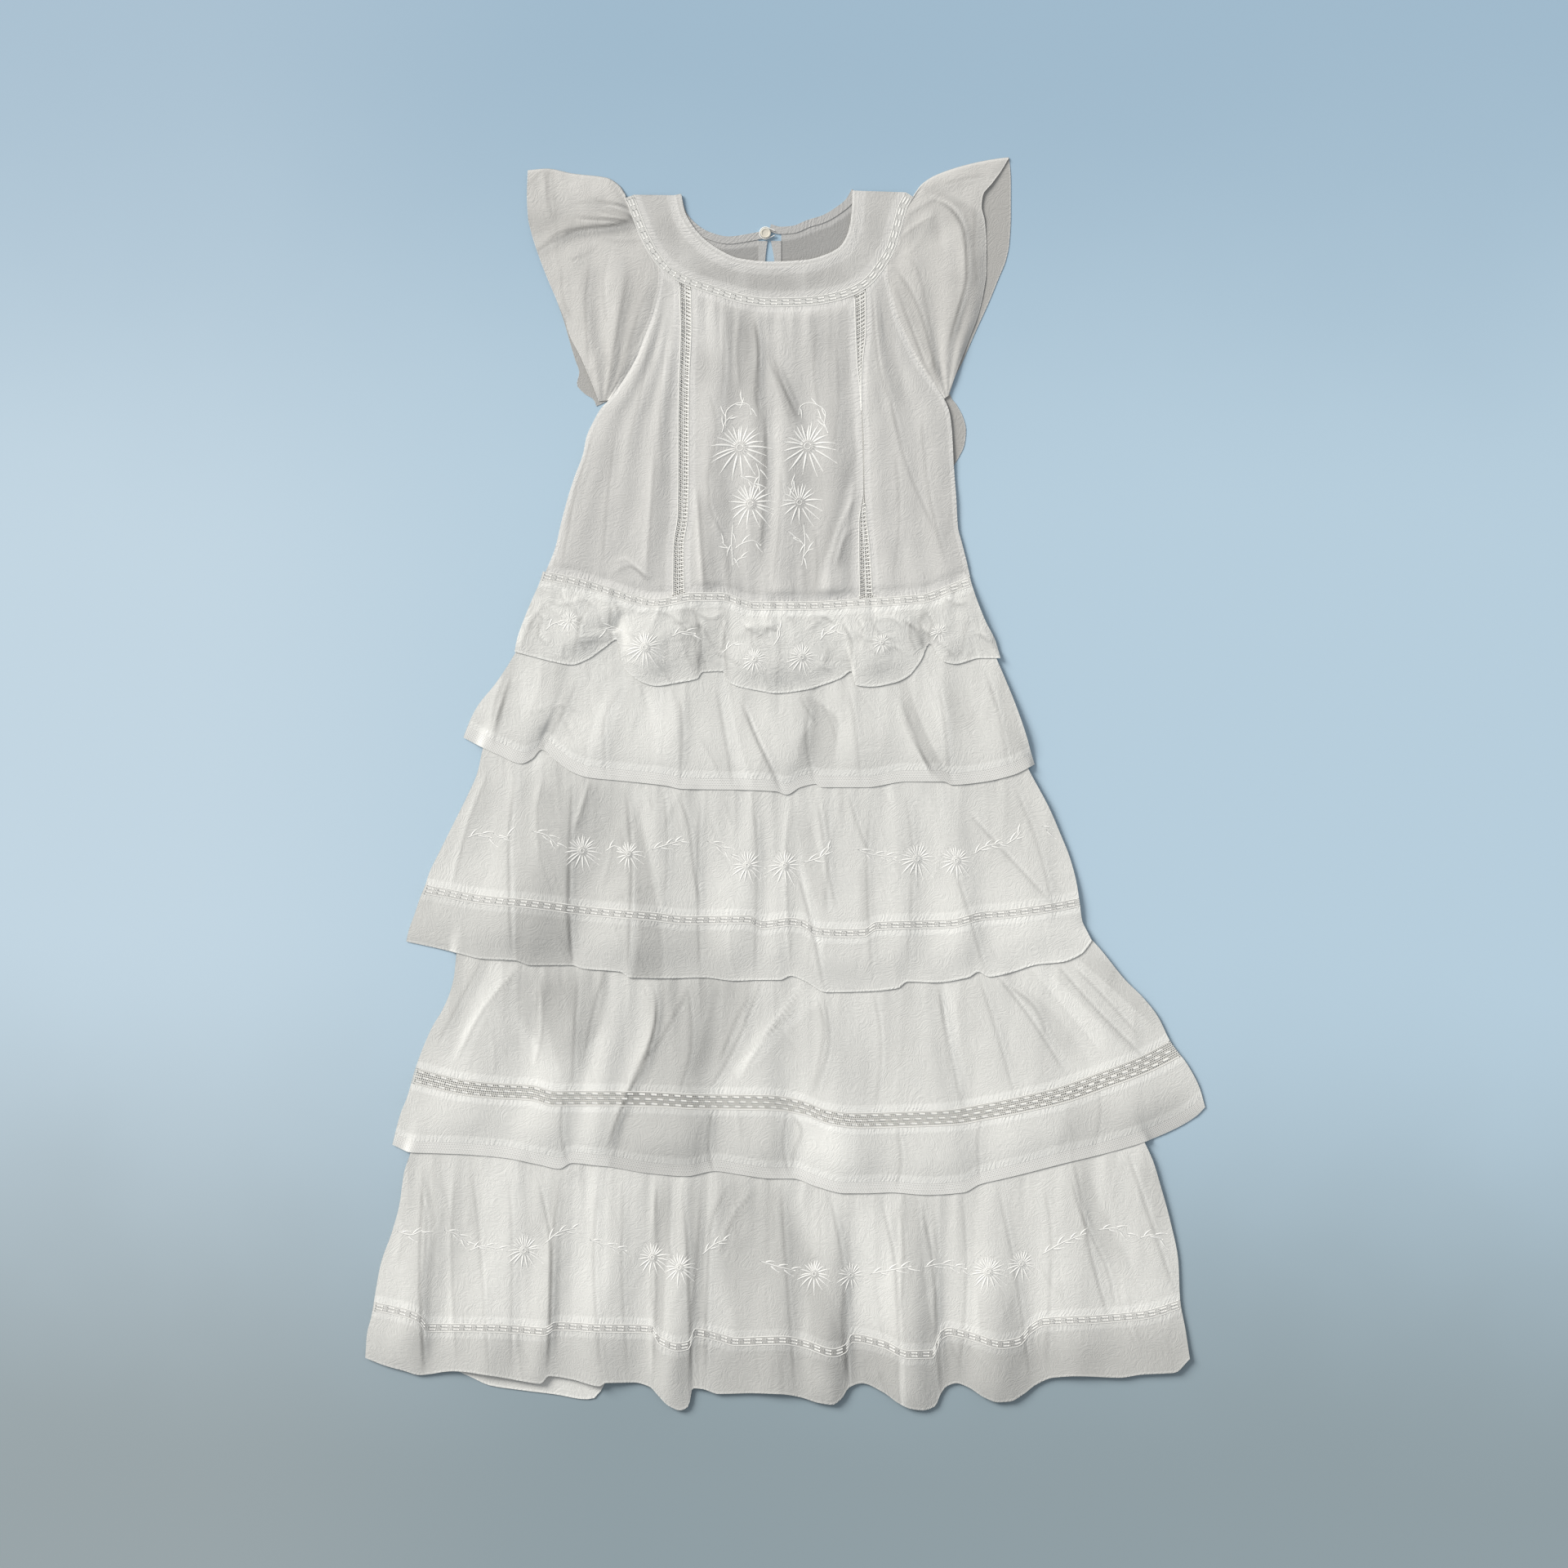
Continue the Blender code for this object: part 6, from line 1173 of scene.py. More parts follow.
# Colours of the skirt's cloth, single and doubled, then every material
VOILE = (0.695, 0.693, 0.66)
DOUBLED = (0.80, 0.80, 0.765)
MATERIALS = {
    "skirt": cotton("skirt_voile", VOILE, DOUBLED),
    "ruffle": cotton("ruffle_voile", VOILE, DOUBLED, 0.007, 0.45),
    "bodice": cotton("bodice_voile", (0.615, 0.608, 0.582), (0.725, 0.717, 0.69)),
    "sleeve": cotton("sleeve_voile", (0.592, 0.582, 0.553), (0.72, 0.71, 0.68), 0.003, 0.34),
    # The inside of the back, seen through the neck, is the same voile painted darker as shade
    "inside": cotton("shaded_inside_voile", (0.36, 0.357, 0.345), (0.56, 0.555, 0.54)),
    "upright": lace_cotton("upright_lace", (0.70, 0.69, 0.65), 0.0022, 0.37),
    "cord": thread_cotton("lace_cord", (0.76, 0.755, 0.72)),
    "narrow": lace_cotton("narrow_lace", (0.75, 0.745, 0.71), 0.0017, 0.22),
    "wide": lace_cotton("wide_lace", (0.75, 0.74, 0.695), 0.0021, 0.33),
    "edge": lace_cotton("edge_lace", (0.79, 0.785, 0.75), 0.0017, 0.18),
    "thread": thread_cotton("embroidery_cotton", (0.85, 0.845, 0.81)),
    "pearl": pearl("shell_button", (0.72, 0.68, 0.58)),
}


def add_piece(name, points, faces, material, seam, tone=None):
    """Smooth mesh object with its material, a seam map and, if given, a tone for each vertex."""
    mesh = bpy.data.meshes.new(name)
    mesh.from_pydata([tuple(point) for point in points], [], faces)
    mesh.shade_smooth()
    edges, corners = (np.empty(len(mesh.loops), dtype=np.int64) for _ in range(2))
    mesh.loops.foreach_get("edge_index", edges)
    mesh.edges.foreach_set("use_edge_sharp", np.bincount(edges, minlength=len(mesh.edges)) == 1)
    mesh.loops.foreach_get("vertex_index", corners)
    layer = mesh.uv_layers.new(name="seam")
    layer.uv.foreach_set("vector", np.asarray(seam, dtype=np.float32)[corners].ravel())
    if tone is not None:
        values = mesh.attributes.new("tone", "FLOAT", "POINT").data
        values.foreach_set("value", tone.ravel().astype(np.float32))
    mesh.materials.append(material)
    piece = bpy.data.objects.new(name, mesh)
    bpy.context.scene.collection.objects.link(piece)
    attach(piece, "root")
    return piece


def grid_faces(rows, columns):
    first = (np.arange(rows - 1)[:, None] * columns + np.arange(columns - 1)).ravel()
    return np.column_stack([first, first + columns, first + columns + 1, first + 1]).tolist()


def seam_map(points, seams):
    """For each point of a grid, the place along its nearest seam and the distance from it, in metres."""
    down = np.linalg.norm(np.diff(points, axis=0), axis=-1)
    over = np.linalg.norm(np.diff(points, axis=1), axis=-1)
    below = np.concatenate([np.zeros_like(points[:1, :, 0]), np.cumsum(down, axis=0)])
    right = np.concatenate([np.zeros_like(points[:, :1, 0]), np.cumsum(over, axis=1)], axis=1)
    away = {"top": (right, below), "bottom": (right, below[-1:] - below),
            "left": (below, right), "right": (below, right[:, -1:] - right)}
    place, distance = right.copy(), np.full(right.shape, 1.0)
    for side in seams:
        side, narrower = side if isinstance(side, tuple) else (side, 1.0)
        closer = narrower * away[side][1] < distance
        place = np.where(closer, away[side][0], place)
        distance = np.where(closer, narrower * away[side][1], distance)
    return np.stack([place, distance], axis=-1)


SHEETS = []


def make_sheet(name, points, slot, material, seams, rests_on=(), held="laid", thickness=THICKNESS, tone=None):
    """One cut piece of cloth as a thin sheet through a grid of points; it stands for its CAD node."""
    piece = add_piece(name + "_sheet", points.reshape(-1, 3), grid_faces(*points.shape[:2]),
                      MATERIALS[material], seam_map(points, seams).reshape(-1, 2), tone)
    thicken = piece.modifiers.new("thickness", "SOLIDIFY")
    thicken.thickness = thickness * 0.001
    thicken.offset = 0.0
    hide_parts(name)
    first = np.cross(points[1:, :-1] - points[:-1, :-1], points[:-1, 1:] - points[:-1, :-1])
    second = np.cross(points[1:, :-1] - points[1:, 1:], points[:-1, 1:] - points[1:, 1:])
    area = 0.5 * (np.linalg.norm(first, axis=-1).sum() + np.linalg.norm(second, axis=-1).sum())
    size = [float(np.linalg.norm(np.diff(points, axis=axis), axis=-1).sum(axis=axis).max())
            for axis in (1, 0)]
    SHEETS.append({"name": name, "piece": piece, "area": float(area), "size": size,
                   "rests_on": list(rests_on), "held": held, "with": []})


def go_with(name, *pieces):
    """Embroidery or lace threads go with the sheet that they are sewn on."""
    entry = next(entry for entry in SHEETS if entry["name"] == name)
    entry["with"] += [piece for piece in pieces if piece]


class Surface:
    """Finished cloth, read straight down, on which embroidery and lace threads lie."""

    def __init__(self, lay):
        points = lay.points()
        points[..., 2] += 0.0005 * THICKNESS
        verts = [tuple(point) for point in points.reshape(-1, 3)]
        self.tree = BVHTree.FromPolygons(verts, grid_faces(*points.shape[:2]))

    def height(self, column, row):
        """Height in metres, or None beside the cloth."""
        hit = self.tree.ray_cast(Vector((*in_metres(column, row), READ_FROM)), DOWN)[0]
        return None if hit is None else hit.z


# Section of a stitch: places across it, from side to side, and the height there as shares of its own
SECTION = ((-1.0, 0.0), (-0.55, 0.75), (0.0, 1.0), (0.55, 0.75), (1.0, 0.0))
STITCH_LIFT = 0.00002


class Stitches:
    """Raised satin stitches collected into one piece of embroidery."""

    def __init__(self, surface):
        self.surface = surface
        self.points, self.faces, self.seam = [], [], []

    def bar(self, line, width, height, blunt=0.12):
        """One raised bar along a line of (column, row) points, tapered to both ends."""
        line = np.asarray(line, dtype=float)
        count, size = len(line), len(SECTION)
        heights = [self.surface.height(*point) for point in line]
        if any(value is None for value in heights):
            return
        ahead = np.gradient(line, axis=0)
        ahead /= np.maximum(np.hypot(*ahead.T)[:, None], 1e-6)
        length = run_length(line.T) * PIXEL
        start = len(self.points)
        for k in range(count):
            t = k / (count - 1)
            swell = blunt + (1.0 - blunt) * math.sin(math.pi * min(1.0, t * 1.15) ** 0.8) ** 0.7
            half = 0.5 * width * max(swell, blunt)
            x, y = in_metres(*line[k])
            side = (ahead[k, 1] * PIXEL, ahead[k, 0] * PIXEL)
            rise = 0.001 * height * swell
            for turn, lift in SECTION:
                self.points.append((x + side[0] * half * turn, y + side[1] * half * turn,
                                    heights[k] + STITCH_LIFT + rise * lift))
                self.seam.append((length[k], 0.5 * width * PIXEL * (turn + 1.0)))
        for a in range(start, start + size * (count - 1), size):
            self.faces += [[a + j, a + j + 1, a + j + size + 1, a + j + size] for j in range(size - 1)]
            self.faces.append([a, a + size, a + 2 * size - 1, a + size - 1])
        self.faces.append([start + j for j in range(size)])
        last = start + size * (count - 1)
        self.faces.append([last + j for j in reversed(range(size))])

    def finish(self, name, material):
        """The collected stitches as one piece, or None if there are none."""
        if not self.points:
            return None
        piece = add_piece(name, self.points, self.faces, MATERIALS[material], self.seam)
        return piece


def sew_flower(stitches, draw, column, row, reach, petals):
    """Spiky daisy: long uneven petals round a small ring."""
    turn = draw.uniform(0, 2 * math.pi)
    for k in range(petals):
        angle = turn + 2 * math.pi * (k + draw.uniform(-0.18, 0.18)) / petals
        angle -= 0.3 * math.cos(angle)
        ahead = np.array([math.cos(angle), math.sin(angle)])
        square = np.array([-ahead[1], ahead[0]])
        length = reach * draw.uniform(0.85, 1.1) * (1.0 + 0.13 * ahead[1])
        first = 0.17 * reach
        droop = np.array([0.0, 0.16 * length * (1.0 - abs(ahead[1]))])
        bend = draw.uniform(-0.08, 0.08) * length
        line = [np.array([column, row]) + ahead * (first + (length - first) * t)
                + (square * bend + droop) * t * t for t in np.linspace(0.0, 1.0, 7)]
        stitches.bar(line, 1.0 + 0.052 * reach * draw.uniform(0.85, 1.15), 0.36)
    ring = [(column + 0.11 * reach * math.cos(a), row + 0.11 * reach * math.sin(a))
            for a in np.linspace(0.2, 1.9 * math.pi, 9)]
    stitches.bar(ring, 1.2, 0.3, blunt=0.8)


def sew_sprig(stitches, draw, points, leaves):
    """Fine stem with leaves on alternate sides."""
    stem = trace(points, 4 * len(points) + 3).T
    stitches.bar(stem, 1.4, 0.28, blunt=0.7)
    for k in range(leaves):
        place = int(round((k + 0.6) / leaves * (len(stem) - 2)))
        ahead = stem[place + 1] - stem[place]
        ahead = ahead / np.hypot(*ahead)
        side = 1.0 if k % 2 else -1.0
        square = np.array([-ahead[1], ahead[0]]) * side
        length = draw.uniform(12.0, 18.0)
        line = [stem[place] + length * (ahead * t * 0.92 + square * (0.68 * t - 0.28 * t * t))
                for t in np.linspace(0.0, 1.0, 6)]
        stitches.bar(line, draw.uniform(1.9, 2.4), 0.32)


def sew(name, surface, seed):
    """All the embroidery of one front lay."""
    stitches = Stitches(surface)
    draw = np.random.default_rng(seed)
    for flower in FLOWERS[name]:
        sew_flower(stitches, draw, *flower)
    for leaves, *points in SPRIGS[name]:
        sew_sprig(stitches, draw, pairs(points), leaves)
    return stitches.finish(name + "_embroidery", "thread")


# Raised threads of the laces that run across: pitch of their blocks, then for the narrow and the wide
# lace the place and shift of each lane of blocks, and the length and width of a block, in pixels
BLOCK_PITCH = 14.5
NARROW_BLOCKS = (((0.33, 0.0), (0.67, 0.0)), (9.0, 2.6))
WIDE_BLOCKS = (((0.22, 0.0), (0.5, 0.5), (0.78, 0.0)), (8.0, 3.0))
# Pitch of the bars of the upright laces, and the least width of a lace that is open
BAR_PITCH = 4.7
OPEN_LACE = 6.0


def strip_of(borders):
    """Both borders of a lace strip, the length along its middle and its width at each point."""
    first, second = (np.asarray(border) for border in borders)
    return first, second, run_length(0.5 * (first + second)), np.hypot(*(second - first))


def lace_threads(name, surface, borders, lanes, block):
    """Raised threads of an insertion lace: cords along the strip and lanes of short blocks."""
    first, second, length, wide = strip_of(borders)
    stitches = Stitches(surface)
    for share in (0.05, 0.95):
        stitches.bar((first * (1 - share) + second * share).T[1:-1], 1.4, 0.3, blunt=0.85)
    for share, shift in lanes:
        lane = first * (1 - share) + second * share
        for k in range(int(length[-1] / BLOCK_PITCH)):
            centre = (k + 0.5 + shift) * BLOCK_PITCH
            if centre + 0.5 * block[0] > length[-1] or np.interp(centre, length, wide) < OPEN_LACE:
                continue
            at = centre + np.linspace(-0.5, 0.5, 5) * block[0]
            line = np.column_stack([np.interp(at, length, part) for part in lane])
            stitches.bar(line, block[1], 0.36, blunt=0.75)
    return stitches.finish(name + "_threads", "cord")


def cross_threads(name, surface, borders):
    """Raised threads of the upright laces: three cords with bars between them leave two rows of holes."""
    first, second, length, wide = strip_of(borders)
    stitches = Stitches(surface)
    for part in np.split(np.arange(wide.size), 1 + np.flatnonzero(np.diff(wide >= OPEN_LACE))):
        if wide[part].min() >= OPEN_LACE:
            for share in (0.06, 0.5, 0.94):
                stitches.bar((first * (1 - share) + second * share).T[part][1:-1], 1.5, 0.3, blunt=0.85)
    for k in range(int(length[-1] / BAR_PITCH)):
        at = (k + 0.5) * BAR_PITCH
        if np.interp(at, length, wide) >= OPEN_LACE:
            ends = [np.array([np.interp(at, length, part) for part in line]) for line in (first, second)]
            stitches.bar([ends[0] * (1 - t) + ends[1] * t for t in (0.1, 0.5, 0.9)], 1.7, 0.3, blunt=0.8)
    return stitches.finish(name + "_threads", "cord")


# Half a narrow lace and the neck binding in pixels, and the points traced round the neck
HALF_LACE = 0.5 * NARROW_LACE / PIXEL
BINDING = NECK_BINDING / PIXEL
FINE_TRACE = 151
# How many times narrower than a seam allowance the doubled cloth is at rolled hems, the neck and the sides,
# and how much greyer the back of a sleeve is
HEM_NARROWER = 3.4
SLEEVE_HEM_NARROWER = 3.0
NECK_NARROWER = 2.5
SIDE_NARROWER = 1.6
BACK_SLEEVE_TONE = -0.27


def between(first, second, cell):
    """Grid that blends one traced line into another."""
    return stack_lines([first, second], cell)[:2]


def clipped(points, end, outward):
    """Line through the points outside an end, which closes it on the left and opens it on the right."""
    kept = [tuple(point) for point in points if outward * (point[0] - end[0]) > PLACKET_CLEARANCE]
    return trace(kept + [end] if outward < 0 else [end] + kept, FINE_TRACE // 2 + 1)


def lace_line(points, half, side):
    """Row of one border of a lace strip that runs across, as a function of the share across."""
    return lambda share: across(points, share) + side * half


def lace_edge(points, widths, side):
    """Side edge of a vertical lace strip, as points that run downwards."""
    return [(edge(points, row) + side * 0.5 * float(along(widths, row)), row) for _, row in points]


def bodice_line(line, first, last):
    """Row of a traced line between two columns, as a function of the share across."""
    column, row = line
    return lambda share: np.interp(first + (last - first) * np.asarray(share), column, row)


def tier_lines(tier, back):
    """Borders of the tier's pieces from its top to its hem, each a function of the share across."""
    hem_points = BACK_HEM_5 if back and tier == 5 else TIER_HEMS[tier]
    lift = BACK_HEM_LIFT if back and tier < 5 else 0.0

    def hem(share):
        return across(hem_points, share) - lift

    lines = {"hem": hem}
    if tier == 1:
        lines["waist"] = lace_line(WAIST_LACE, HALF_LACE, -1)
        lines["top"] = lace_line(WAIST_LACE, HALF_LACE, 1)
    else:
        lines["top"] = lambda share: across(TIER_TOPS[tier], share)
    if tier in TIER_LACES:
        half = 0.5 * (WIDE_LACE if tier == 4 else NARROW_LACE) / PIXEL
        lines["lace_top"] = lace_line(TIER_LACES[tier], half, -1)
        lines["lace_bottom"] = lace_line(TIER_LACES[tier], half, 1)
    if tier in (2, 4):
        lines["edge_top"] = lambda share: hem(share) - EDGE_LACE / PIXEL
    return lines


def tier_lay(tier, back, cell):
    """Lay of one whole tier, with the grid rows between which each of its pieces lies."""
    lines = tier_lines(tier, back)
    left, right = TIER_SIDES[tier]
    pieces = TIER_PIECES[tier]
    if tier == 1:
        left, right = WAIST_LACE_SIDES[0][:1] + left, WAIST_LACE_SIDES[1][:1] + right
        pieces = [("waist_lace", "waist", "top")] + pieces
    width = TIER_HEMS[tier][-1][0] - TIER_HEMS[tier][0][0]
    shares = spread(0.0, 1.0, cells_in(width, cell if back else ACROSS_CELL))
    columns, rows, parts, first = [], [], [], 0
    for name, upper, lower in pieces:
        count = cells_in(np.median(lines[lower](shares) - lines[upper](shares)), cell)
        column, row = region(lines[upper], lines[lower], left, right, shares, spread(0.0, 1.0, count))
        keep = slice(1 if columns else 0, None)
        columns.append(column[keep])
        rows.append(row[keep])
        seams = ["top"] if upper != "top" or tier == 1 else []
        seams.append(("bottom", HEM_NARROWER) if lower == "hem" else "bottom")
        parts.append((name + ("_back" if back else "_front"), first, first + count, seams))
        first += count
    lay = Lay(np.concatenate(columns), np.concatenate(rows), [part[0] for part in parts])
    return lay, parts


def cloth_of(name):
    """Slot and material of one skirt piece."""
    if "edge" in name:
        return "cotton_lace", "edge"
    if "lace" in name:
        return "cotton_lace", "wide" if "tier4_lace" in name else "narrow"
    return "cotton_voile", "ruffle" if "tier1_front" in name else "skirt"


# How much greyer the laces are than cloth
LACE_TONE = 0.07


def cut_tier(lay, parts, below):
    """The pieces of one tier's lay."""
    points = lay.points()
    for name, first, last, seams in parts:
        tone = lay.tone[first:last + 1] - (LACE_TONE if "lace" in name else 0.0)
        make_sheet(name, points[first:last + 1], *cloth_of(name), seams, rests_on=below, held="gathered",
                   tone=tone)


def make_back_tiers():
    """Plain back tiers above the one that lies on the floor."""
    for tier in (2, 3, 4, 5):
        lay, parts = tier_lay(tier, True, BACK_CELL)
        lay.rest()
        lay.stamp()
        cut_tier(lay, parts, ["tier%d_back" % (tier - 1)])


# Small creases on each tier, and the share of the air under a hem that is pressed out within some rows
SMALL_CREASES = {1: 30, 2: 90, 3: 120, 4: 130, 5: 170}
HEM_PRESS = 0.9
HEM_ROWS = 26.0
# Rows above the hem over it at which a tier's creases fade out
HIDDEN_ROWS = 20.0
# Painted shade and light on the bands below the laces, at the left and at the right: darker where folds
# shade the third tier and towards the hem on the fifth, lighter on the right of the third
BAND_SHADING = {3: (-0.14, 0.08), 5: (-0.08, -0.11)}


def make_front_tier(tier):
    """One front tier: the solids' folds, uneven gathers, dents and the listed creases."""
    lay, parts = tier_lay(tier, False, ACROSS_CELL if tier == 1 else FRONT_CELL)
    lay.settle_form()
    if tier > 1:
        above = along(TIER_HEMS[tier - 1], lay.column)
    else:
        above = lay.row[:1] + 2 * HALF_LACE
    share = (lay.column - lay.column.min()) / (lay.column.max() - lay.column.min())
    depth = np.clip((lay.row - above) / (lay.row[-1:] - above), 0.0, 1.0)
    shown = ease((lay.row - above + HIDDEN_ROWS) / HIDDEN_ROWS)
    count, height, reach = TIER_GATHERS[tier]
    before = lay.height.copy()
    gathers(lay, share, depth, count, 10 + tier, 0.4 * height, reach)
    gathers(lay, share, depth, 3 * count, 70 + tier, 0.3 * height, 0.4 * reach)
    crumple(lay, 0.6 * TIER_CRUMPLE[tier], 26.0, 20 + tier)
    # Painted shade across the band below the lace, blended from left to right
    if tier in BAND_SHADING:
        left_shading, right_shading = BAND_SHADING[tier]
        first = [part[1] for part in parts if "band" in part[0]][0]
        lay.tone[first:] += left_shading * (1.0 - share[first:]) + right_shading * share[first:]
    if tier == 1:
        small_creases(lay, 130, 66, 1.1, 34.0, 1.0)
    small_creases(lay, SMALL_CREASES[tier], 60 + tier)
    press(lay, "tier%d" % tier)
    lay.height = before + (lay.height - before) * shown
    if tier < 5:
        lay.press_down(HEM_PRESS * np.exp(-((lay.row[-1:] - lay.row) / HEM_ROWS) ** 2))
    lay.rest()
    lay.stamp()
    cut_tier(lay, parts, ["tier%d_back" % tier] + (["tier%d_front" % (tier + 1)] if tier < 5 else []))
    surface = Surface(lay)
    for name, first, last, _ in parts:
        if "lace" in name:
            blocks = WIDE_BLOCKS if name == "tier4_lace_front" else NARROW_BLOCKS
            go_with(name, lace_threads(name, surface, lay.lines(first, last), *blocks))
    if "tier%d" % tier in FLOWERS:
        go_with("tier%d_front" % tier, sew("tier%d" % tier, surface, 40 + tier))
    return lay


# Points traced along the yoke lace for the seams below it, and the step between those of a sleeve's seam
ARC_TRACE = 400
SEAM_STEP = 12


class Bodice:
    """Lines that the bodice pieces share."""

    def __init__(self):
        self.neck = trace(NECK_FRONT, FINE_TRACE)
        self.neck_in = beside(self.neck, BINDING)
        centre = trace(YOKE_LACE, FINE_TRACE)
        self.lace_in = beside(centre, -HALF_LACE)
        self.lace_out = beside(centre, HALF_LACE)
        self.arc = beside(trace(YOKE_LACE, ARC_TRACE), HALF_LACE)
        self.panel_arc = self.arc[:, self.arc[1] > PANEL_ARC_ROW]
        waist = np.array(WAIST_LACE, dtype=float).T
        self.waist_top = np.array([waist[0], waist[1] - HALF_LACE])

    def panel(self, corners, left, right, shares, depths):
        """Grid of a panel between the yoke lace and the waist lace."""
        top = bodice_line(self.panel_arc, *corners[:2])
        bottom = bodice_line(self.waist_top, *corners[2:])
        return region(top, bottom, left, right, shares, depths)

    def sleeve_seam(self, on_right, raglan, underarm_row):
        """Inner edge of a sleeve: down the yoke lace, then down the raglan seam to the underarm."""
        column, row = self.arc
        side = column > MIDDLE_COLUMN if on_right else column < MIDDLE_COLUMN
        arc = sorted((r, c) for c, r in zip(column[side], row[side]) if r < SLEEVE_ARC_ROW)
        below = [(c, r) for c, r in raglan if RAGLAN_ROW < r < underarm_row]
        corner_row = float(np.interp(BODICE_TOPS[-1 if on_right else 0], *self.panel_arc))
        corner = [(edge(raglan, corner_row), corner_row)]
        return [(c, r) for r, c in arc[::SEAM_STEP] if r < corner_row - 3.0] + corner + below


def flat_lay(grid, height=THICKNESS):
    """Lay on the floor."""
    return Lay(*grid, (), np.full(grid[0].shape, float(height)))


# Bound edges are thicker and lie higher than single cloth, in millimetres
BOUND = {"height": 0.9, "thickness": 0.8}


def make_floor_layer(lines, sleeves):
    """Everything that lies on the floor: the back yoke, back bodice, first back tier and sleeve backs."""
    half_count = FINE_TRACE // 2 + 1
    sides = {"left": (NECK_BACK_LEFT, SLIT_LEFT_EDGE, -1, slice(0, half_count)),
             "right": (NECK_BACK_RIGHT, SLIT_RIGHT_EDGE, 1, slice(half_count - 1, None))}
    lays = []

    def floor_sheet(name, grid, material, seams, slot="cotton_voile", height=THICKNESS, thickness=THICKNESS):
        lay = flat_lay(grid, height)
        lays.append(lay)
        points = lay.points()
        points[..., 2] += 0.0005 * (THICKNESS - thickness)
        make_sheet(name, points, slot, material, seams, thickness=thickness)

    # The back neck binding, back yoke and plackets take the inside voile, painted darker as shade
    for side, (neck_points, slit, outward, part) in sides.items():
        neck = trace(neck_points, half_count)
        floor_sheet("neck_binding_back_" + side, between(neck, beside(neck, BINDING), FINE_CELL), "inside",
                    ["top", "bottom"], **BOUND)
        end = PLACKET_OUTER[side]
        inner = beside(clipped(neck_points, (end, PLACKET_NECK_ROWS[side]), outward), BINDING)
        outer = clipped(lines.lace_in[:, part].T, (end, SLIT_END), outward)
        inner[0, -1 if side == "left" else 0] = end
        floor_sheet("yoke_back_" + side, between(inner, outer, FRONT_CELL), "inside", ["top", "bottom"])
        rows = spread(*PLACKET_ROWS, 24)
        slit_edge = np.array([edge(slit, rows), rows])
        outer_edge = np.array([np.full_like(rows, PLACKET_OUTER[side]), rows])
        floor_sheet("placket_" + side, between(slit_edge, outer_edge, FINE_CELL), "inside",
                    ["top", "bottom"], **BOUND)
    floor_sheet("yoke_lace_back", between(lines.lace_in, lines.lace_out, FRONT_CELL), "narrow",
                ["top", "bottom"], slot="cotton_lace")
    shares, depths = spread(0.0, 1.0, 60), spread(0.0, 1.0, 48)
    grid = lines.panel(BACK_BODICE_CORNERS, LEFT_SIDE, BACK_RIGHT_SIDE, shares, depths)
    floor_sheet("back_bodice", grid, "bodice", ["top", "left", "right"])
    lay, parts = tier_lay(1, True, BACK_CELL)
    lay.height[:] = THICKNESS
    lays.append(lay)
    cut_tier(lay, parts, ())
    for sleeve in sleeves:
        lays.append(flat_lay(sleeve.back))
    for lay in lays:
        lay.stamp()


class Sleeve:
    """Flutter sleeve cut in one: a back half on the floor, folded at the shoulder into a front half."""

    def __init__(self, name, fold, front_edges, back_edges):
        self.name = name
        self.fold = fold
        self.shares = spread(0.0, 1.0, 48)
        self.front = self.grid(front_edges, 104)
        self.back = self.grid(back_edges, 60)

    def grid(self, edges, count):
        """Grid of plan points between the shoulder fold and the underarm."""
        left, right = edges
        bottom = [left[-1], right[-1]]
        return region(lambda share: across(self.fold, share), lambda share: across(bottom, share),
                      left, right, self.shares, spread(SLEEVE_INSET, 1.0, count))

    def lay_front(self):
        """The front half on its solid, with its creases."""
        lay = Lay(*self.front, [self.name])
        lay.settle_form(3)
        crumple(lay, 0.2, 22.0, 31 if self.name == "sleeve_left" else 32)
        small_creases(lay, 16, 33, 0.4, 70.0)
        press(lay, self.name)
        lay.rest()
        self.lay = lay

    def make(self):
        """Both halves as one sheet."""
        back = flat_lay(self.back).points()
        front = self.lay.points()[::-1]
        middle = 0.5 * (front[-1] + back[0])
        middle[:, 1] = in_metres(0.0, across(self.fold, self.shares))[1]
        points = np.concatenate([front, middle[None], back])
        back_tone = np.full((len(back) + 1, len(self.shares)), BACK_SLEEVE_TONE)
        tone = np.concatenate([self.lay.tone[::-1], back_tone])
        seam, hem = ("right", "left") if self.name == "sleeve_left" else ("left", "right")
        seams = [seam, (hem, SLEEVE_HEM_NARROWER)]
        make_sheet(self.name, points, "sleeve_voile", "sleeve", seams, rests_on=["back_bodice"],
                   held="folded", tone=tone)


def make_sleeves(lines):
    """Both sleeves, not yet laid on anything."""
    left_seam = lines.sleeve_seam(False, LEFT_SIDE, UNDERARM_ROWS["left"])
    right_seam = lines.sleeve_seam(True, RIGHT_SIDE, UNDERARM_ROWS["right"])
    back_seam = lines.sleeve_seam(True, BACK_RIGHT_SIDE, UNDERARM_ROWS["back_right"])
    return [Sleeve("sleeve_left", SLEEVE_LEFT_FOLD, (SLEEVE_LEFT_HEM, left_seam),
                   (SLEEVE_LEFT_BACK_HEM, left_seam)),
            Sleeve("sleeve_right", SLEEVE_RIGHT_FOLD, (right_seam, SLEEVE_RIGHT_HEM),
                   (back_seam, SLEEVE_RIGHT_BACK_HEM))]


# Front panels from left to right, with the columns of their seams at the yoke lace and at the waist
FRONT_PANELS = ["side_front_left", "lace_front_left", "centre_front", "lace_front_right", "side_front_right"]
BODICE_TOPS = (809, 831, 847, 1045, 1061, 1085)
BODICE_BOTTOMS = (668, 823, 839, 1051.5, 1070.5, 1187)
BODICE_ROWS = 140


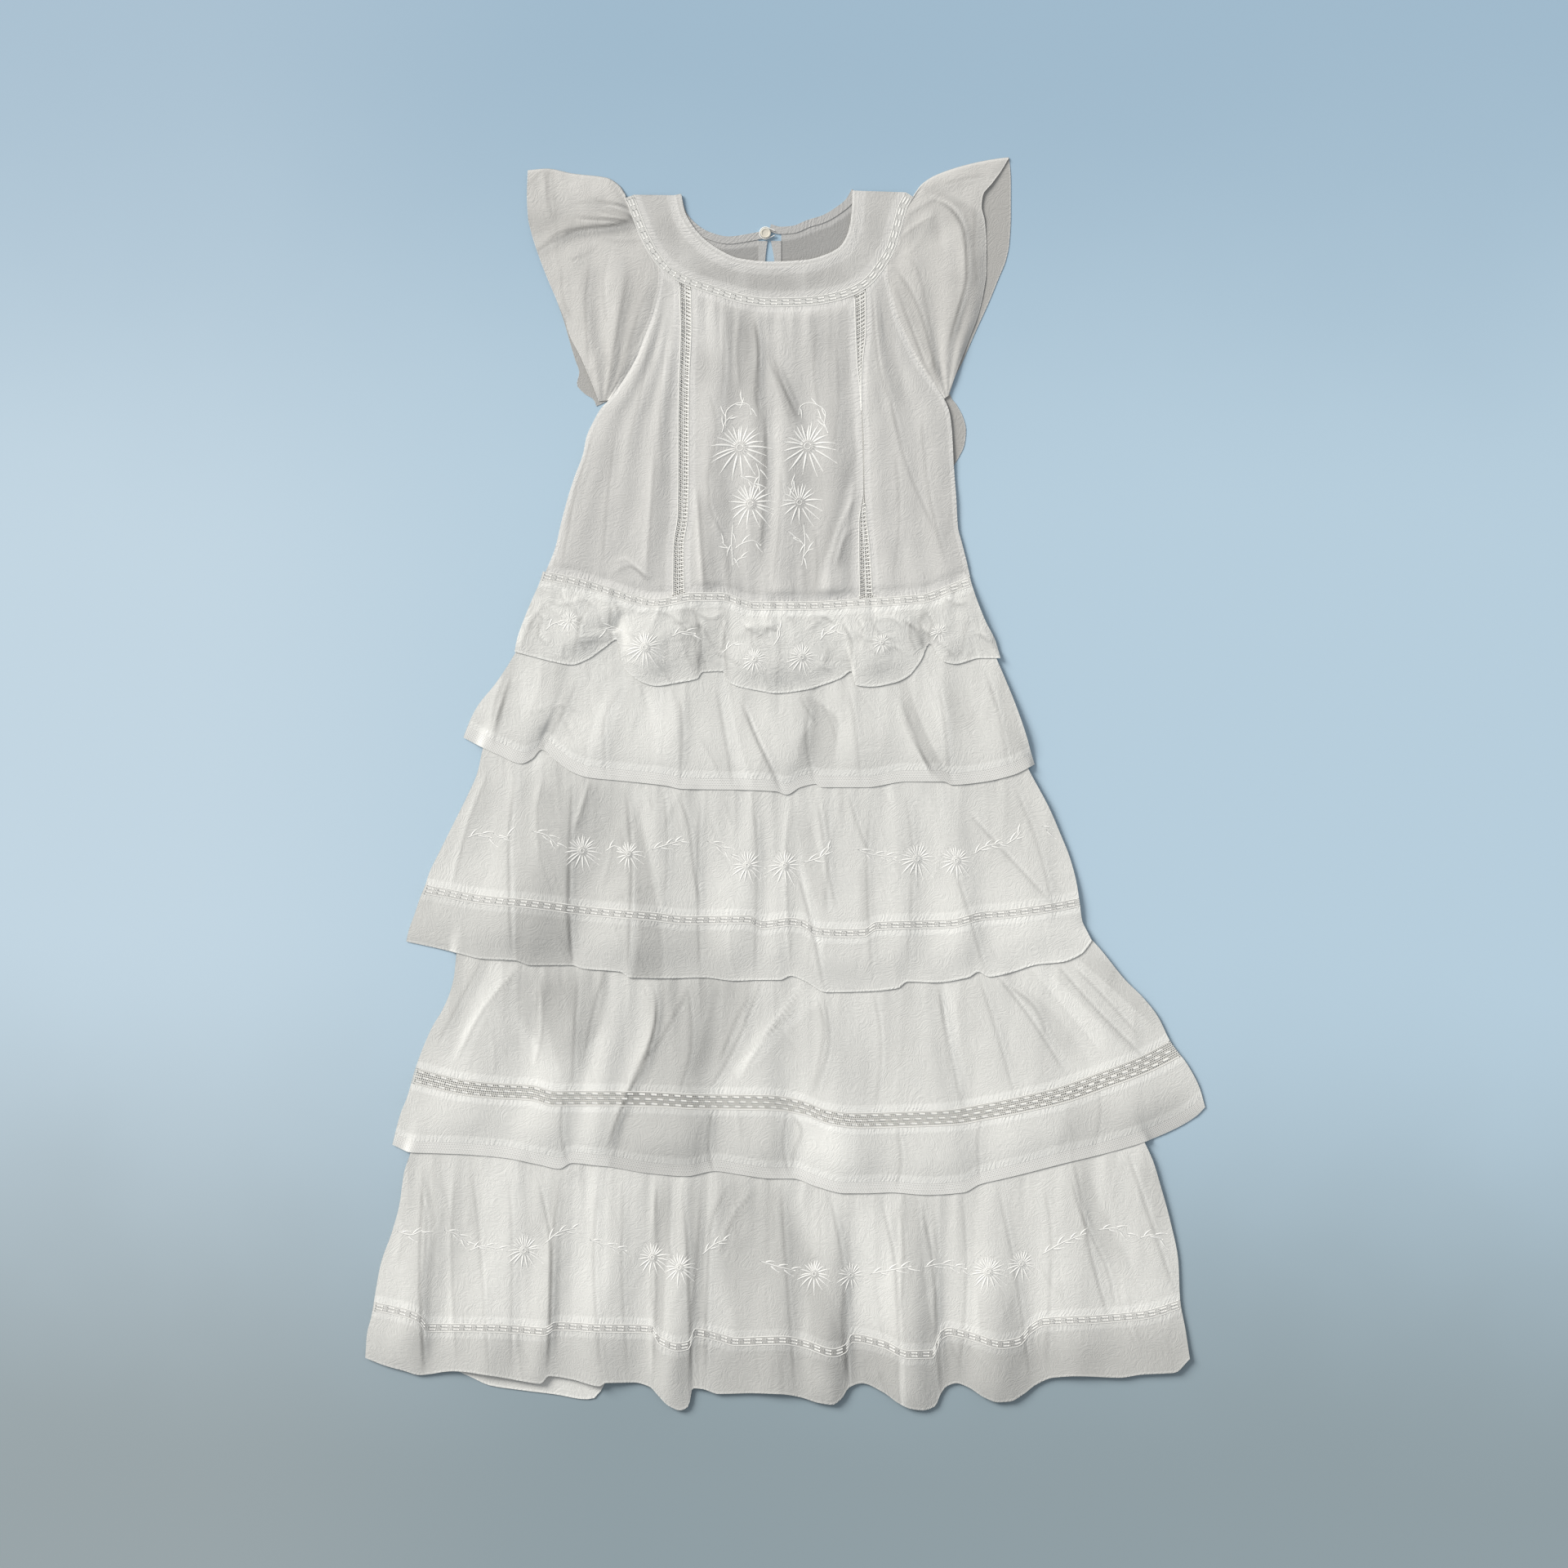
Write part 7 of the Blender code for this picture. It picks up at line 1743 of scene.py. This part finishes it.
def panel_seams(name):
    """Seamed sides of one front panel; the raglan and side seams are turned in more narrowly."""
    if "lace" in name:
        return ["left", "right"]
    return [(side, SIDE_NARROWER) if name == "side_front_" + side else side for side in ("left", "right")] + [
        "top", "bottom"]


def bodice_lay(lines):
    """Lay of the front bodice with the grid columns between which each panel lies."""
    laces = ((LACE_LEFT, LACE_LEFT_WIDTH), (LACE_RIGHT, LACE_RIGHT_WIDTH))
    seams = [LEFT_SIDE] + [lace_edge(*lace, side) for lace in laces for side in (-1, 1)] + [RIGHT_SIDE]
    depths = spread(0.0, 1.0, BODICE_ROWS)
    columns, rows, parts, first = [], [], [], 0
    for k, name in enumerate(FRONT_PANELS):
        corners = (*BODICE_TOPS[k:k + 2], *BODICE_BOTTOMS[k:k + 2])
        count = cells_in(BODICE_BOTTOMS[k + 1] - BODICE_BOTTOMS[k], FINE_CELL)
        column, row = lines.panel(corners, seams[k], seams[k + 1], spread(0.0, 1.0, count), depths)
        keep = slice(1 if columns else 0, None)
        columns.append(column[:, keep])
        rows.append(row[:, keep])
        parts.append((name, first, first + count))
        first += count
    return Lay(np.concatenate(columns, axis=1), np.concatenate(rows, axis=1), FRONT_PANELS), parts


# Gathers of the centre front below the yoke and above the waist: seed, height and reach
GATHER_COUNT = 95
TOP_GATHERS = (52, 1.0, 0.24)
WAIST_GATHERS = (53, 0.9, 0.13)
# How far the neck binding bulges in millimetres, how much greyer the yoke and its lace are, the share of
# their tone that the upright laces keep, and the grid columns beside them between which they lie level
BINDING_HEIGHT = 0.6
YOKE_TONE = 0.025
YOKE_LACE_TONE = 1.4 * LACE_TONE
UPRIGHT_TONE_SHARE = 0.3
LEVEL_CELLS = 2


def lay_yoke(lines):
    """Neck binding, yoke and yoke lace as one lay, with the grid rows of their seams."""
    column, row, marks = stack_lines([lines.neck, lines.neck_in, lines.lace_in, lines.lace_out], FINE_CELL)
    yoke = Lay(column, row, ["neck_binding_front", "yoke_front", "yoke_lace_front"])
    yoke.settle_form(3)
    crumple(yoke, 0.12, 24.0, 51)
    small_creases(yoke, 26, 57, 0.3, 30.0, 0.9)
    middle = np.sin(np.pi * spread(0.0, 1.0, marks[2] - marks[1]))[:, None]
    around = np.linspace(0.0, 1.0, column.shape[1])[None]
    yoke.tone[marks[1]:marks[2] + 1] -= YOKE_TONE + middle * (0.08 + 0.06 * np.sin(np.pi * around) ** 4)
    press(yoke, "yoke")
    rounded = np.sin(np.pi * np.clip(np.arange(len(column)) / marks[1], 0.0, 1.0))[:, None]
    yoke.height += BINDING_HEIGHT * rounded
    yoke.rest()
    return yoke, marks


def lay_panels(lines, tier_below):
    """Front panels and upright laces as one lay, with the grid columns of their seams."""
    lay, parts = bodice_lay(lines)
    lay.row[-1] = np.interp(lay.column[-1], tier_below.column[0], tier_below.row[0])
    lay.settle_form()
    share = (lay.column - lay.column.min()) / (lay.column.max() - lay.column.min())
    depth = np.broadcast_to(spread(0.0, 1.0, BODICE_ROWS)[:, None], share.shape)
    places = np.arange(share.shape[1])
    _, first, last = parts[FRONT_PANELS.index("centre_front")]
    inside = ease((places - first) / 6.0) * ease((last - places) / 6.0)
    gathers(lay, share, depth, GATHER_COUNT, *TOP_GATHERS, inside)
    gathers(lay, share, 1.0 - depth, GATHER_COUNT, *WAIST_GATHERS, inside)
    crumple(lay, 0.15, 28.0, 54)
    small_creases(lay, 60, 56, 0.4, 90.0, 0.15)
    press(lay, "bodice")
    lay.rest()
    for name, first, last in parts:
        if "lace" in name:
            over = spread(0.0, 1.0, last - first + 2 * LEVEL_CELLS)
            before, after = first - LEVEL_CELLS, last + LEVEL_CELLS
            lay.height[:, before:after + 1] = (lay.height[:, before, None] * (1.0 - over)
                                               + lay.height[:, after, None] * over)
            lay.tone[:, first:last + 1] *= UPRIGHT_TONE_SHARE
    return lay, parts


def make_front_bodice(lines, sleeves, tier_below):
    """Yoke, panels, laces and sleeves of the front, which lie side by side."""
    yoke, marks = lay_yoke(lines)
    lay, parts = lay_panels(lines, tier_below)
    meet(lay, "bottom", [(tier_below, "top")])
    meet(lay, "top", [(yoke, "bottom")])
    for sleeve, inner in zip(sleeves, ("right", "left")):
        sleeve.lay_front()
        meet(sleeve.lay, inner, [(yoke, "bottom"), (lay, "left" if inner == "right" else "right")])
    points = yoke.points()
    make_sheet("neck_binding_front", points[:marks[1] + 1], "cotton_voile", "bodice",
               [("top", NECK_NARROWER), ("bottom", NECK_NARROWER)], rests_on=["yoke_front"])
    strip = slice(marks[1], marks[2] + 1)
    make_sheet("yoke_front", points[strip], "cotton_voile", "bodice", ["top", "bottom"],
               rests_on=["yoke_back_left", "yoke_back_right"], tone=yoke.tone[strip])
    make_sheet("yoke_lace_front", points[marks[2]:], "cotton_lace", "narrow", ["top", "bottom"],
               rests_on=["yoke_lace_back"], tone=yoke.tone[marks[2]:] - YOKE_LACE_TONE)
    borders = yoke.lines(*marks[2:])
    go_with("yoke_lace_front", lace_threads("yoke_lace_front", Surface(yoke), borders, *NARROW_BLOCKS))
    points = lay.points()
    surface = Surface(lay)
    for name, first, last in parts:
        slot, material, held = (("cotton_lace", "upright", "laid") if "lace" in name
                                else ("cotton_voile", "bodice", "gathered"))
        make_sheet(name, points[:, first:last + 1], slot, material, panel_seams(name),
                   rests_on=["back_bodice"], held=held, tone=lay.tone[:, first:last + 1])
        if "lace" in name:
            go_with(name, cross_threads(name, surface, lay.lines((ALONG, first), (ALONG, last))))
    go_with("centre_front", sew("bodice", surface, 55))
    for sleeve in sleeves:
        sleeve.make()


def dress_button():
    """The button and its loop keep their solids, with a finer finish."""
    for name, material in (("button", "pearl"), ("button_loop", "thread")):
        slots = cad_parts[name].data.materials
        for k in range(len(slots)):
            slots[k] = MATERIALS[material]


# Soft sun from the upper left, sky light, and the camera's height above the cloth
LIGHT_STRENGTH = 4.3
LIGHT_SOFTNESS = 26.0
LIGHT_FROM = (-1.0, 0.75, 0.60)
LIGHT_COLOUR = (1.0, 0.975, 0.94)
SKY_COLOUR = (0.94, 0.965, 1.0, 1.0)
SKY_STRENGTH = 0.47
CLOTH_TOP = 0.004


def make_camera():
    """Camera straight above the dress, as in the photograph."""
    camera = bpy.data.objects.new("camera", bpy.data.cameras.new("camera"))
    camera.data.lens = LENS
    camera.data.sensor_width = SENSOR
    middle = 0.5 * FRAME_SIZE
    camera.location = (*in_metres(middle, middle), FRAME_SIZE * PIXEL * LENS / SENSOR + CLOTH_TOP)
    bpy.context.scene.collection.objects.link(camera)
    bpy.context.scene.camera = camera


# Floor: half its size and its depth below the cloth in metres, its paint where it is palest, then the
# light's painted fall-off: painted shade towards the hem and towards the neck and, as a factor, painted
# light on the left
FLOOR_HALF = 6.0
FLOOR_DEPTH = 0.0002
FLOOR_PALE = (0.455, 0.595, 0.70, 1.0)
FLOOR_SHADE_HEM = (0.265, 0.33, 0.36, 1.0)
FLOOR_SHADE_NECK = (0.34, 0.475, 0.59, 1.0)
FLOOR_LIGHT_LEFT = (1.15, 1.09, 1.06, 1.0)


def make_stage():
    """Pale floor with the light's fall-off painted on it, darker towards the hem and the neck and lighter on
    the left, and soft studio light.
    """
    mesh = bpy.data.meshes.new("floor")
    corners = ((-1, -1), (1, -1), (1, 1), (-1, 1))
    mesh.from_pydata([(FLOOR_HALF * x, FLOOR_HALF * y, -FLOOR_DEPTH) for x, y in corners], [], [[0, 1, 2, 3]])
    floor_colour_and_light, graph, shader = start_material("floor_paint_and_painted_light", {"Roughness": 0.9, "Specular IOR Level": 0.2})
    at = graph.object_place()
    over, down = graph.parts(at)[:2]
    cloud = graph.maths("SUBTRACT", graph.noise(at, 1.6, 4.0), 0.5)
    down = graph.maths("ADD", down, graph.maths("MULTIPLY", cloud, 0.25))
    colour = FLOOR_PALE
    # Painted light: shade towards the hem and the neck, and brighter on the left
    for place, first, last, painted_light_there, blend in ((down, -0.15, -0.75, FLOOR_SHADE_HEM, "MIX"),
                                                   (down, 0.25, 0.80, FLOOR_SHADE_NECK, "MIX"),
                                                   (over, -0.15, -0.65, FLOOR_LIGHT_LEFT, "MULTIPLY")):
        share = graph.ramp(place, first, last, kind="SMOOTHSTEP")
        colour = blend_colours(graph, share, colour, painted_light_there, blend)
    graph.feed(shader["Base Color"], colour)
    mesh.materials.append(floor_colour_and_light)
    floor = bpy.data.objects.new("floor", mesh)
    light = bpy.data.lights.new("key", "SUN")
    light.energy = LIGHT_STRENGTH
    light.angle = math.radians(LIGHT_SOFTNESS)
    light.color = LIGHT_COLOUR
    sun = bpy.data.objects.new("key", light)
    sun.rotation_euler = Vector(LIGHT_FROM).to_track_quat("Z", "Y").to_euler()
    for made in (floor, sun):
        bpy.context.scene.collection.objects.link(made)
    world = bpy.data.worlds.new("studio")
    world.use_nodes = True
    sky = world.node_tree.nodes["Background"].inputs
    sky["Color"].default_value = SKY_COLOUR
    sky["Strength"].default_value = SKY_STRENGTH
    bpy.context.scene.world = world
    bpy.context.scene.view_settings.view_transform = "Standard"


def main():
    make_camera()
    make_stage()
    lines = Bodice()
    sleeves = make_sleeves(lines)
    make_floor_layer(lines, sleeves)
    make_back_tiers()
    for tier in (5, 4, 3, 2, 1):
        lay = make_front_tier(tier)
    make_front_bodice(lines, sleeves, lay)
    dress_button()


main()
bpy.context.view_layer.update()
